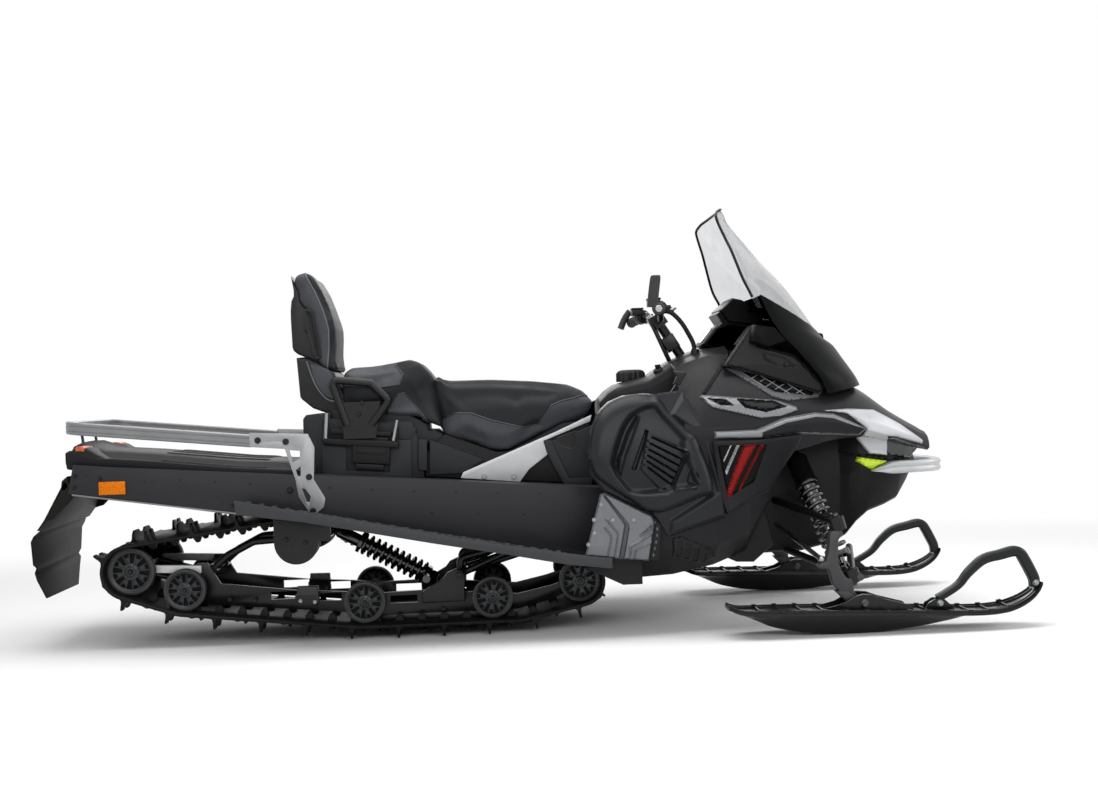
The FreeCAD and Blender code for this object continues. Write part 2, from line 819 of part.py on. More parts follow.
def make_skid_arms():
    shapes = []
    foot = Vector(rear_arm_foot_x, rear_arm_y, rear_arm_foot_z)
    head = Vector(carrier_wheel_x, rear_arm_y, carrier_wheel_z)
    span = head - foot
    route = [foot]
    for along_share, lift_share in rear_arm_bend_shares:
        route.append(foot + span * along_share + Vector(0, 0, rear_arm_bow * lift_share))
    route.append(head)
    tube = bent_tube(route, arm_tube_radius, arm_bend_radius)
    bar_reach = drop_bracket_y - fit_gap
    head_bar = drum(head.x, head.z, axle_radius, -bar_reach, bar_reach)
    foot_bar = drum(foot.x, foot.z, axle_radius, -rail_inner_reach(), rail_inner_reach())
    rear = fused([tube, mirrored(tube), head_bar, foot_bar] + arm_sleeves(head) + arm_sleeves(foot))
    foot = Vector(front_arm_foot_x, front_arm_y, front_arm_foot_z)
    head = Vector(front_arm_head_x, front_arm_y, front_arm_head_z)
    tube = bent_tube([foot, foot + Vector(0, 0, front_arm_rise), head], arm_tube_radius, arm_bend_radius / 2)
    reach = tunnel_half_width - tunnel_wall - fit_gap
    head_bar = drum(head.x, head.z, axle_radius, -reach, reach)
    foot_bar = drum(foot.x, foot.z, axle_radius, -rail_inner_reach(), rail_inner_reach())
    front = fused([tube, mirrored(tube), head_bar, foot_bar] + arm_sleeves(head) + arm_sleeves(foot))
    return Part.Compound([rear, front])


def make_skid_shock():
    head = Vector(skid_shock_head_x, 0, skid_shock_head_z)
    foot = Vector(skid_shock_foot_x, 0, skid_shock_foot_z)
    shock = coil_over(head, foot, skid_shock_radius, skid_shock_core, spring_ridge)
    foot_bar = drum(foot.x, foot.z, skid_shock_core, -rail_inner_reach(), rail_inner_reach())
    bar_reach = drop_bracket_y - fit_gap
    head_bar = drum(head.x, head.z, skid_shock_core, -bar_reach, bar_reach)
    return fused([shock, foot_bar, head_bar])


def make_drop_brackets():
    low_y = drop_bracket_y
    high_y = tunnel_half_width - tunnel_wall - fit_gap
    disc = drum(carrier_wheel_x, carrier_wheel_z, drop_bracket_radius, low_y, high_y)
    ear = Part.makeBox(drop_bracket_radius + drop_bracket_ear, high_y - low_y, drop_bracket_rise)
    ear.translate(Vector(carrier_wheel_x - drop_bracket_radius, low_y, carrier_wheel_z))
    bracket = fused([disc, ear])
    return both_sides(bracket)


def make_drive_shaft():
    reach = tunnel_half_width - tunnel_wall - fit_gap
    shapes = [drum(drive_x, drive_z, drive_shaft_radius, -reach, reach)]
    for y in (-inner_wheel_y - sprocket_width, -inner_wheel_y, inner_wheel_y, inner_wheel_y + sprocket_width):
        disc = drum(drive_x, drive_z, sprocket_radius, y - sprocket_width / 2, y + sprocket_width / 2)
        shapes.append(disc)
    shaft = fused(shapes)
    for index in range(sprocket_teeth):
        angle = 2 * math.pi * index / sprocket_teeth
        x = drive_x + sprocket_radius * math.cos(angle)
        z = drive_z + sprocket_radius * math.sin(angle)
        shaft = shaft.cut(drum(x, z, sprocket_notch_radius, -reach, reach))
    return shaft


def make_tunnel():
    points = outline(tunnel_x, tunnel_z, tunnel_length, tunnel_height, tunnel_shares)
    side = plate(points, -tunnel_half_width, -tunnel_half_width + tunnel_wall)
    roof_top = points[:5]
    roof_low = [(x, z - tunnel_wall) for x, z in reversed(roof_top)]
    roof = plate(roof_top + roof_low, -tunnel_half_width, tunnel_half_width)
    front_top, front_low = points[4:6]
    front_back = [(x - tunnel_wall, z) for x, z in (front_low, front_top)]
    front = plate([front_top, front_low] + front_back, -tunnel_half_width, tunnel_half_width)
    return fused([side, mirrored(side), roof, front])


def make_running_boards():
    top = outline(board_x, board_z, board_length, board_height, board_lip_top_shares)
    low = outline(board_x, board_z, board_length, board_height, board_lip_low_shares)
    lip = plate(top + low, -board_half_width, -board_half_width + board_lip)
    deck_low = [(x, z + board_deck_rise) for x, z in reversed(low)]
    deck_high = [(x, z + board_deck_thickness) for x, z in reversed(deck_low)]
    deck = plate(deck_low + deck_high, -board_half_width, -tunnel_half_width - fit_gap)
    return both_sides(fused([lip, deck]))


def make_side_reflectors():
    lens = Part.makeBox(side_reflector_length, side_reflector_depth, side_reflector_height)
    near = tunnel_half_width + fit_gap
    lens.translate(Vector(side_reflector_x, -near - side_reflector_depth, side_reflector_z))
    return both_sides(lens)


def tunnel_top():
    return outline(tunnel_x, tunnel_z, tunnel_length, tunnel_height, tunnel_shares)[:4]


def above_tunnel(shape):
    """Cuts a piece that stands on the tunnel to the tunnel's sloping top."""
    line = [(x, z + fit_gap) for x, z in tunnel_top()]
    first_x, first_z = line[0]
    last_x, last_z = line[-1]
    low = tunnel_z - tunnel_height
    under = [(tail_x, first_z)] + line + [(nose_x, last_z), (nose_x, low), (tail_x, low)]
    return shape.cut(plate(under, -board_half_width, board_half_width))


def make_rear_deck():
    points = outline(deck_x, deck_z, deck_length, deck_height, deck_shares)
    deck = tapered(points, -deck_half_width, deck_half_width, 1.0)
    return above_tunnel(deck)


def deck_height_at(x):
    points = outline(deck_x, deck_z, deck_length, deck_height, deck_shares)[1:7]
    for (x1, z1), (x2, z2) in zip(points, points[1:]):
        if x1 <= x <= x2:
            return z1 + (z2 - z1) * (x - x1) / (x2 - x1)
    return deck_z + deck_height


def make_tail_lamp():
    base_z = deck_height_at(tail_lamp_x + tail_lamp_length / 2)
    top = base_z + tail_lamp_height
    peak = base_z + tail_lamp_height * tail_lamp_peak_share
    front = tail_lamp_x + tail_lamp_length
    points = [(tail_lamp_x, base_z), (tail_lamp_x, top), (tail_lamp_x + tail_lamp_length / 2, peak),
              (front, base_z), (front, base_z - tail_lamp_height)]
    lamp = plate(points, -tail_lamp_half_width, tail_lamp_half_width)
    return above_tunnel(lamp.cut(make_rear_deck()))


def make_snow_flap():
    flap_half_width = tunnel_half_width - tunnel_wall - fit_gap
    sheet = outline(tail_x, flap_z, flap_length, flap_height, flap_shares)
    inner = [(x + flap_thickness, z) for x, z in reversed(sheet)]
    back = plate(sheet + inner, -flap_half_width, flap_half_width)
    wing_points = outline(tail_x, flap_z, flap_length, flap_height, flap_wing_shares) + sheet[1:4]
    wing = plate(wing_points, -flap_half_width, -flap_half_width + flap_thickness)
    return fused([back, wing, mirrored(wing)])


def rack_section(at, direction):
    """Flat-oval section across the given direction."""
    direction = Vector(direction).normalize()
    up = Vector(0, 0, 1)
    side = direction.cross(up).normalize()
    top = side.cross(direction).normalize()
    half_w = rack_tube_width / 2
    straight = rack_tube_height / 2 - half_w
    a = at + side * half_w + top * straight
    b = at - side * half_w + top * straight
    c = at - side * half_w - top * straight
    d = at + side * half_w - top * straight
    top_mid = at + top * (rack_tube_height / 2)
    low_mid = at - top * (rack_tube_height / 2)
    return Part.Face(Part.Wire([Part.Arc(a, top_mid, b).toShape(), Part.LineSegment(b, c).toShape(),
                                Part.Arc(c, low_mid, d).toShape(), Part.LineSegment(d, a).toShape()]))


def make_cargo_rack():
    front = Vector(rack_front_x, -rack_half_width, rack_front_z)
    rear = Vector(rack_rear_x, -rack_half_width, rack_rear_z)
    route = [front, rear, Vector(rear.x, -rear.y, rear.z), Vector(front.x, -front.y, front.z)]
    return swept(route, rack_corner_radius, rack_section)


def make_rack_feet(deck, rack):
    feet = []
    base = deck_height_at(rack_rear_x) - rack_tube_width / 2
    top = rack_rear_z
    for y in (-rack_foot_y, rack_foot_y):
        foot = Part.makeBox(rack_foot_length / 2, rack_foot_width, top - base)
        foot.translate(Vector(rack_rear_x - rack_foot_length / 4, y - rack_foot_width / 2, base))
        feet.append(foot.cut(deck).cut(rack))
    return feet


def make_rack_brackets():
    points = outline(bracket_x, bracket_z, bracket_length, bracket_height, bracket_shares)
    near = tunnel_half_width + fit_gap
    far = near + bracket_thickness
    bracket = plate(points, -far, -near)
    for shares in bracket_window_shares:
        window = outline(bracket_x, bracket_z, bracket_length, bracket_height, shares)
        bracket = bracket.cut(plate(window, -far - overrun, -near + overrun))
    for side in (-1, 1):
        x = bracket_x + bracket_bolt_x_share * bracket_length + side * bracket_bolt_pitch / 2
        z = bracket_z + bracket_bolt_z_share * bracket_height
        bracket = bracket.cut(drum(x, z, bracket_hole_radius, -far - overrun, -near + overrun))
    return both_sides(bracket)


def make_seat_box():
    points = outline(seat_box_x, seat_box_z, seat_box_length, seat_box_height, seat_box_shares)
    return above_tunnel(plate(points, -seat_box_half_width, seat_box_half_width))


def cushion(points, half_width):
    """A pad: full outline in the middle, drawn in towards each side."""
    straight = half_width - cushion_crown
    middle = plate(points, -straight, straight)
    side = tapered(points, straight, half_width, cushion_side_share)
    return fused([middle, side, mirrored(side)])


def make_passenger_seat():
    points = outline(passenger_x, passenger_z, passenger_length, passenger_height, passenger_shares)
    return cushion(points, passenger_half_width)


def make_rider_seat():
    points = outline(rider_x, rider_z, rider_length, rider_height, rider_shares)
    return cushion(points, rider_half_width)


def make_seat_base(rider):
    points = outline(seat_base_x, seat_base_z, seat_base_length, seat_base_height, seat_base_shares)
    base = above_tunnel(plate(points, -seat_base_half_width, seat_base_half_width))
    return base.cut(rider)


def make_seat_trims():
    points = outline(seat_trim_x, seat_trim_z, seat_trim_length, seat_trim_height, seat_trim_shares)
    near = seat_base_half_width + fit_gap
    return both_sides(plate(points, -near - seat_trim_thickness, -near))


def make_backrest_pad():
    points = outline(backrest_x, backrest_z, backrest_length, backrest_height, backrest_shares)
    return cushion(points, backrest_half_width)


def make_backrest_frame(others):
    points = outline(back_frame_x, back_frame_z, back_frame_length, back_frame_height, back_frame_shares)
    shell = plate(points, -back_frame_half_width, back_frame_half_width)
    low = Vector(seat_box_x + 2 * back_post_radius, back_post_y, seat_box_z + seat_box_height)
    high = Vector(back_frame_x + back_frame_length / 2, back_post_y, back_frame_z + back_post_radius)
    post = rod(low, high, back_post_radius)
    whole = fused([shell, post, mirrored(post)])
    for other in others:
        whole = whole.cut(other)
    return whole


def make_grab_handles():
    rear_top = Vector(grab_rear_x, -grab_y, grab_top_z)
    elbow = Vector(grab_front_x - grab_elbow_drop, -grab_y, grab_top_z - grab_fall)
    front_top = Vector(grab_front_x, -grab_y, grab_top_z - grab_fall - grab_elbow_drop)
    rear_foot = Vector(grab_foot_rear_x, -grab_y, grab_foot_z)
    front_foot = Vector(grab_foot_front_x, -grab_y, grab_foot_z)
    route = [rear_foot, rear_top, elbow, front_top, front_foot]
    loop = bent_tube(route, grab_tube_radius, grab_bend_radius / 2)
    half = grab_plate_thickness / 2
    lower = seat_box_z + seat_box_height - grab_plate_drop
    upper = (grab_top_z + grab_foot_z) / 2
    web = plate([(rear_foot.x - grab_tube_radius, lower), (front_foot.x + grab_tube_radius, lower),
                 (front_top.x - grab_elbow_drop / 2, upper), (rear_foot.x - grab_bend_radius / 2, upper)],
                -grab_y - half, -grab_y + half)
    stub_x = (rear_foot.x + front_foot.x) / 2
    stub_z = seat_box_z + seat_box_height - grab_stub_drop
    stub = drum(stub_x, stub_z, grab_tube_radius, -grab_y, -seat_box_half_width - fit_gap)
    return both_sides(fused([loop, web, stub]))


def steer_axis():
    lean = math.radians(steer_lean_deg)
    return Vector(-math.sin(lean), 0, math.cos(lean))


def make_steering_post():
    base = Vector(steer_x, 0, steer_z) - steer_axis() * post_below
    top = Vector(steer_x, 0, steer_z) + steer_axis() * post_above
    column = rod(base, top, post_radius)
    block = Part.makeBox(bar_clamp_depth, bar_clamp_length, bar_clamp_depth)
    block.translate(Vector(-bar_clamp_depth / 2, -bar_clamp_length / 2, -bar_clamp_depth / 2))
    leaned = FreeCAD.Placement(top, FreeCAD.Rotation(Vector(0, 0, 1), steer_axis()))
    block.Placement = leaned.multiply(block.Placement)
    return fused([column, block])


def post_socket():
    base = Vector(steer_x, 0, steer_z) - steer_axis() * (post_below + fit_gap)
    return rod(base, base + steer_axis() * (post_below + post_above), post_radius + post_socket_gap)


def bar_points():
    centre = Vector(steer_x, 0, steer_z) + steer_axis() * post_above
    elbow = centre + Vector(-bar_sweep * bar_elbow_x_share, bar_half_width * bar_elbow_y_share, bar_rise)
    tip = centre + Vector(-bar_sweep, bar_half_width, bar_rise / 2)
    inner = centre + Vector(0, bar_clamp_length / 2 + bar_bend_radius, 0)
    return centre, inner, elbow, tip


def make_handlebar():
    centre, inner, elbow, tip = bar_points()
    half = bent_tube([centre, inner, elbow, tip], bar_radius, bar_bend_radius)
    return fused([half, mirrored(half)])


def grip_line():
    centre, inner, elbow, tip = bar_points()
    along = (tip - elbow).normalize()
    return tip - along * grip_length, tip, along


def make_grips(bar):
    start, tip, along = grip_line()
    grip = rod(start, tip + along * fit_gap, grip_radius)
    hook_foot = tip - along * hook_radius
    hook = rod(hook_foot, hook_foot + Vector(0, 0, hook_height), hook_radius)
    whole = fused([grip, hook]).cut(bar)
    return both_sides(whole)


def make_bar_controls(bar):
    start, tip, along = grip_line()
    case_start = start - along * (switch_length + fit_gap)
    case = rod(case_start, case_start + along * switch_length, switch_radius)
    pivot = case_start + along * (switch_length / 2) + Vector(lever_reach * lever_pivot_share, 0, 0)
    lever_end = pivot + along * lever_length + Vector(lever_reach * lever_sweep_share, 0, 0)
    lever = rod(pivot, lever_end, lever_thickness)
    arm = rod(case_start + along * (switch_length / 2), pivot, lever_thickness)
    whole = fused([case, arm, lever]).cut(bar)
    return both_sides(whole)


def hood_ring(index, grow):
    x = hood_x + hood_x_shares[index] * hood_length
    z0 = hood_low_z
    half = [(0, z0 - grow)]
    for level in ("bottom", "side", "shoulder", "roof"):
        y = body_half_width * hood_width_shares[level][index] + grow
        z = z0 + hood_height * hood_z_shares[level][index]
        if level == "bottom":
            z = z - grow
        if level in ("shoulder", "roof"):
            z = z + grow
        half.append((y, z))
    half.append((0, z0 + hood_height * hood_z_shares["crest"][index] + grow))
    ring = half + [(-y, z) for y, z in reversed(half[1:-1])]
    return [Vector(x, y, z) for y, z in ring]


def hood_body(grow):
    wires = []
    for index in range(len(hood_x_shares)):
        corners = hood_ring(index, grow)
        wires.append(Part.makePolygon(corners + corners[:1]))
    return Part.makeLoft(wires, True, True)


def engine_bay():
    bay = Part.makeBox(
        engine_length + 2 * engine_gap,
        2 * (engine_half_width + engine_gap),
        engine_height + engine_gap + fit_gap,
    )
    bay.translate(Vector(engine_x - engine_gap, -engine_half_width - engine_gap, engine_z - fit_gap))
    return bay


def make_engine():
    block = Part.makeBox(engine_length, 2 * engine_half_width, engine_height)
    block.translate(Vector(engine_x, -engine_half_width, engine_z))
    return block


def make_hood(console):
    return hood_body(0).cut(engine_bay()).cut(console).cut(post_socket())


def hood_skin(shares, grown, core):
    points = outline(hood_x, hood_low_z, hood_length, hood_height, shares)
    near_share, far_share = skin_reach_shares
    slab = plate(points, body_half_width * near_share, body_half_width * far_share)
    return both_sides(slab.common(grown).cut(core))


def make_lower_cowl():
    wires = []
    for index, share in enumerate(lower_x_shares):
        x = lower_x + share * lower_length
        half_width = body_half_width * lower_width_shares[index]
        rise = hood_low_z - fit_gap - lower_low_z
        floor = lower_low_z + rise * lower_floor_shares[index]
        chine = lower_low_z + rise * lower_chine_shares[index]
        keel = half_width * lower_keel_width_share
        top = hood_low_z - fit_gap
        corners = [Vector(x, -keel, floor), Vector(x, keel, floor), Vector(x, half_width, chine),
                   Vector(x, half_width, top), Vector(x, -half_width, top), Vector(x, -half_width, chine)]
        wires.append(Part.makePolygon(corners + corners[:1]))
    cowl = Part.makeLoft(wires, True, True)
    well = Part.makeBox(frame_length + overrun, 2 * (frame_half_width + fit_gap), frame_high_z + fit_gap)
    well.translate(Vector(frame_x - fit_gap, -frame_half_width - fit_gap, 0))
    return cowl.cut(engine_bay()).cut(well)


def make_lower_pods():
    high = lower_low_z + (hood_low_z - lower_low_z) * lower_chine_shares[0]
    end = lower_x + overrun
    board_end = board_x + board_length + fit_gap
    toe = pod_x + (end - pod_x) * pod_toe_share
    points = [(pod_x, pod_high_z), (toe, pod_low_z), (end, pod_low_z), (end, high), (board_end, high),
              (board_end, pod_high_z)]
    return plate(points, -body_half_width * pod_width_share, -tunnel_half_width - fit_gap)


def make_side_panels():
    points = outline(side_panel_x, side_panel_z, side_panel_length, side_panel_height, side_panel_shares)
    outer = -side_panel_y - side_panel_depth
    panel = tapered(points, -side_panel_y, outer, side_panel_crown_share)
    middle_x = side_panel_x + louvre_x_share * side_panel_length
    middle_z = side_panel_z + louvre_z_share * side_panel_height
    for index in range(louvre_count):
        rise = (index - louvre_count / 2) * louvre_pitch
        slot = Part.makeBox(louvre_length, louvre_depth + overrun, louvre_width)
        slot.translate(Vector(-louvre_length / 2, -overrun, rise))
        slot.rotate(Vector(0, 0, 0), Vector(0, 1, 0), louvre_slant_deg)
        slot.translate(Vector(middle_x, outer, middle_z))
        panel = panel.cut(slot)
    return panel


def make_front_frame():
    front = frame_x + frame_length
    height = frame_high_z - frame_low_z
    heel_x_share, heel_z_share = frame_heel_shares
    points = [(frame_x, frame_low_z), (frame_x, frame_high_z), (front, frame_high_z),
              (front, frame_low_z + height * frame_nose_share),
              (frame_x + frame_length * heel_x_share, frame_low_z + height * heel_z_share)]
    block = plate(points, -frame_half_width, frame_half_width)
    reach = front_shock_head_y
    shock_bar = drum(front_shock_head_x, front_shock_head_z, shock_bar_radius, -reach, reach)
    return fused([block.cut(link_bay()), shock_bar])


def king_axis():
    return (Vector(king_upper_x, 0, king_upper_z) - Vector(king_lower_x, 0, king_lower_z)).normalize()


def make_front_arms():
    arms = []
    eye_gap = king_radius + fit_gap
    upper = (upper_arm_xs, upper_arm_z, king_upper_x, king_upper_z)
    lower = (lower_arm_xs, lower_arm_z, king_lower_x, king_lower_z)
    for xs, base_z, x, z in (upper, lower):
        tip = Vector(x, king_y, z)
        half_eye = king_axis() * (arm_eye_height / 2)
        eye = rod(tip - half_eye, tip + half_eye, arm_eye_radius)
        shapes = [eye]
        for base_x in xs:
            base = Vector(base_x, frame_half_width + fit_gap, base_z)
            inward = (base - tip).normalize()
            shapes.append(rod(base, tip + inward * (king_radius + front_arm_radius / 2), front_arm_radius))
        arm = fused(shapes)
        wall = Part.makeBox(2 * frame_length, frame_half_width + fit_gap, frame_high_z)
        wall.translate(Vector(frame_x - frame_length / 2, 0, 0))
        arm = arm.cut(wall)
        arm = arm.cut(rod(tip - half_eye * 2, tip + half_eye * 2, eye_gap))
        arms += [arm, mirrored(arm)]
    return Part.Compound(arms)


def make_front_shocks(arms, frame):
    head = Vector(front_shock_head_x, front_shock_head_y, front_shock_head_z)
    foot = Vector(front_shock_foot_x, front_shock_foot_y, front_shock_foot_z)
    shock = coil_over(head, foot, front_shock_radius, front_shock_core, spring_ridge)
    return both_sides(shock.cut(arms).cut(frame))


def make_spindle(side):
    axis = king_axis()
    lower = Vector(king_lower_x, king_y, king_lower_z)
    upper = Vector(king_upper_x, king_y, king_upper_z)
    reach = arm_eye_height / 2
    pin = rod(lower - axis * (reach + king_radius), upper + axis * reach, king_radius)
    shoulder = axis * (reach + king_shoulder)
    body = rod(lower + shoulder, upper - shoulder, spindle_half_width)
    foot_top = lower - shoulder
    half_depth = spindle_depth / 2
    toe_z = ski_bolt_z - 2 * ski_bolt_radius
    blade = plate([(foot_top.x - half_depth, foot_top.z), (foot_top.x + half_depth, foot_top.z + fit_gap),
                   (ski_bolt_x + half_depth, toe_z), (ski_bolt_x - half_depth, toe_z)],
                  king_y - spindle_half_width, king_y + spindle_half_width)
    above = rod(foot_top, upper, 2 * arm_eye_radius)
    blade = blade.cut(above)
    window = Part.makeBox(spindle_window_width, 2 * spindle_depth, spindle_window_length)
    window.translate(Vector(-spindle_window_width / 2, -spindle_depth, -spindle_window_length / 2))
    at = lower + (upper - lower) * spindle_window_share
    leaned = FreeCAD.Placement(at, FreeCAD.Rotation(Vector(0, 0, 1), axis))
    window.Placement = leaned.multiply(window.Placement)
    tip = steering_arm_tip()
    arm = Part.makeBox(steering_arm_reach, steering_arm_width, steering_arm_height)
    arm.translate(tip - Vector(0, steering_arm_width / 2, 0))
    whole = fused([pin, body, blade, arm]).cut(window)
    near, far = king_y - ski_half_width, king_y + ski_half_width
    whole = whole.cut(drum(ski_bolt_x, ski_bolt_z, ski_bolt_radius + fit_gap, near, far))
    return whole if side > 0 else mirrored(whole)


def steering_arm_tip():
    """Low corner of the steering arm's rear end, on the middle line of the arm."""
    middle = (Vector(king_upper_x, king_y, king_upper_z) + Vector(king_lower_x, king_y, king_lower_z)) / 2
    return middle - Vector(steering_arm_reach, 0, steering_arm_height)


def make_tie_rod(side):
    ball_at = steering_arm_tip() + Vector(tie_rod_ball_radius, 0, -tie_rod_ball_radius - 2 * fit_gap)
    inner = Vector(tie_rod_inner_x, tie_rod_inner_y, tie_rod_inner_z)
    ball = Part.makeSphere(tie_rod_ball_radius, ball_at)
    bar = rod(inner, ball_at, tie_rod_radius)
    width = 2 * tie_rod_ball_radius
    ceiling = Part.makeBox(2 * width, 2 * width, tie_rod_ball_radius)
    ceiling.translate(steering_arm_tip() - Vector(tie_rod_ball_radius, width / 2 + overrun, 2 * fit_gap))
    whole = fused([ball, bar]).cut(ceiling)
    return whole if side > 0 else mirrored(whole)


def link_bay():
    bay = Part.makeBox(link_bay_length, 2 * frame_half_width + 2 * overrun, link_bay_height)
    bay.translate(Vector(link_bay_x, -frame_half_width - overrun, link_bay_z))
    return bay


def ski_start():
    """The ski's tail: the bolt lies at its own share of the ski's length."""
    return ski_bolt_x - ski_bolt_share * ski_length


def ski_strip(shares, y_from, y_to, thickness):
    low = outline(ski_start(), 0, ski_length, ski_tip_height, shares)
    high = [(x, z + thickness) for x, z in reversed(low)]
    return plate(low + high, y_from, y_to)


def make_ski(side):
    y = ski_y
    blade = ski_strip(ski_bottom_shares, y - ski_half_width, y + ski_half_width, ski_blade_thickness)
    keel_points = outline(ski_start(), 0, ski_length, ski_tip_height, ski_keel_shares)
    keel_top = [(x, ski_tip_height * ski_keel_top_share) for x, z in reversed(keel_points)]
    keel = plate(keel_points + keel_top[1:-1], y - ski_keel_half_width, y + ski_keel_half_width)
    rib_points = outline(ski_start(), 0, ski_length, ski_tip_height, ski_rib_shares)
    shapes = [blade, keel]
    for offset in (-ski_rib_y, ski_rib_y):
        middle = king_y + offset
        shapes.append(plate(rib_points, middle - ski_rib_thickness / 2, middle + ski_rib_thickness / 2))
    reach = ski_rib_y + ski_rib_thickness / 2
    shapes.append(drum(ski_bolt_x, ski_bolt_z, ski_bolt_radius, king_y - reach, king_y + reach))
    whole = fused(shapes)
    return whole if side > 0 else mirrored(whole)


def strap_section(at, direction):
    """Flat section across the given direction, wide along Y."""
    out = Vector(direction).cross(Vector(0, 1, 0)).normalize() * (handle_strap_thickness / 2)
    wide = Vector(0, handle_strap_width / 2, 0)
    corners = [at + out + wide, at - out + wide, at - out - wide, at + out - wide]
    return Part.Face(Part.makePolygon(corners + corners[:1]))


def make_ski_handle(side, ski):
    handle_x = ski_start() + ski_length - handle_setback - handle_length
    points = outline(handle_x, handle_z, handle_length, handle_height, handle_shares)
    route = [Vector(x, ski_y, z) for x, z in points]
    loop = swept(route, handle_bend_radius, strap_section)
    if side < 0:
        loop = mirrored(loop)
    return loop.cut(ski)


def arched_sheet(levels, thickness, base_z):
    """A sheet that bows forward in the middle, from levels in shares of the windshield's size."""
    wires = []
    for middle_share, edge_share, width_share in levels:
        ends = outline(screen_x, base_z, screen_length, screen_height, [middle_share, edge_share])
        (middle_x, middle_z), (edge_x, edge_z) = ends
        half_width = body_half_width * screen_width_share * width_share
        outer = [Vector(edge_x, y, edge_z) for y in (-half_width, half_width)]
        outer.insert(1, Vector(middle_x, 0, middle_z))
        bow = Vector(edge_x, 0, edge_z) - outer[1]
        radius = (bow.Length ** 2 + half_width ** 2) / (2 * bow.Length)
        centre = outer[1] + bow.normalize() * radius
        inner = [centre + (point - centre) * (1 - thickness / radius) for point in outer]
        wires.append(Part.Wire([
            Part.Arc(outer[0], outer[1], outer[2]).toShape(),
            Part.LineSegment(outer[2], inner[2]).toShape(),
            Part.Arc(inner[2], inner[1], inner[0]).toShape(),
            Part.LineSegment(inner[0], outer[0]).toShape(),
        ]))
    return Part.makeLoft(wires, True, True)


def make_windshield():
    return arched_sheet(screen_shares, screen_thickness, screen_z + fit_gap)


def make_fairing(hood):
    return arched_sheet(fairing_shares, fairing_thickness, screen_z).cut(hood)


def make_dash_pod(others):
    points = outline(pod_dash_x, pod_dash_z, pod_dash_length, pod_dash_height, pod_dash_shares)
    pod = plate(points, -pod_dash_half_width, pod_dash_half_width)
    for other in others:
        pod = pod.cut(other)
    return pod


def make_console():
    points = outline(console_x, console_z, console_length, console_height, console_shares)
    console = plate(points, -console_half_width, console_half_width)
    return console.cut(post_socket()).cut(engine_bay())


def make_fuel_cap(console):
    cap = Part.makeCylinder(cap_radius, cap_height, Vector(cap_x, 0, cap_z))
    return cap.cut(console)


def make_pull_handle():
    rope_top = Vector(pull_x, -pull_y_share * body_half_width, pull_z)
    half = Vector(pull_length / 2, 0, 0)
    grip = rod(rope_top - half, rope_top + half, pull_radius)
    rope = rod(rope_top - Vector(0, 0, 2 * pull_length), rope_top, pull_radius / 2)
    return fused([grip, rope])


def make_front_bumper():
    start = frame_x + frame_length + bumper_ahead
    front = start + bumper_reach
    high = bumper_z + bumper_rise
    shoulder = bumper_half_width * bumper_shoulder_share
    route = [Vector(start, -bumper_half_width, bumper_z), Vector(front, -shoulder, high),
             Vector(front + bumper_bow, 0, high),
             Vector(front, shoulder, high), Vector(start, bumper_half_width, bumper_z)]
    return bent_tube(route, bumper_tube, bumper_bend_radius)


def make_nose():
    start = frame_x + frame_length + fit_gap
    top = hood_low_z - fit_gap
    points = [(start, top)] + outline(start, nose_low_z, nose_length, top - nose_low_z, nose_rise_shares)
    return plate(points, -nose_half_width, nose_half_width)


def make_marker():
    start = frame_x + frame_length - marker_setback
    points = [(start, marker_z), (start, marker_z + marker_height),
              (start + marker_length, marker_z + marker_height * marker_front_share),
              (start + marker_length / 2, marker_z)]
    near = nose_half_width + fit_gap
    return both_sides(plate(points, -near - marker_thickness, -near))


def make_foot_guards():
    points = outline(guard_x, guard_z, guard_length, guard_height, guard_shares)
    return plate(points, -board_half_width + guard_thickness, -board_half_width + 2 * guard_thickness)


os.makedirs("parts", exist_ok=True)


def save(name, shape):
    shape.exportStep("parts/" + name + ".step")


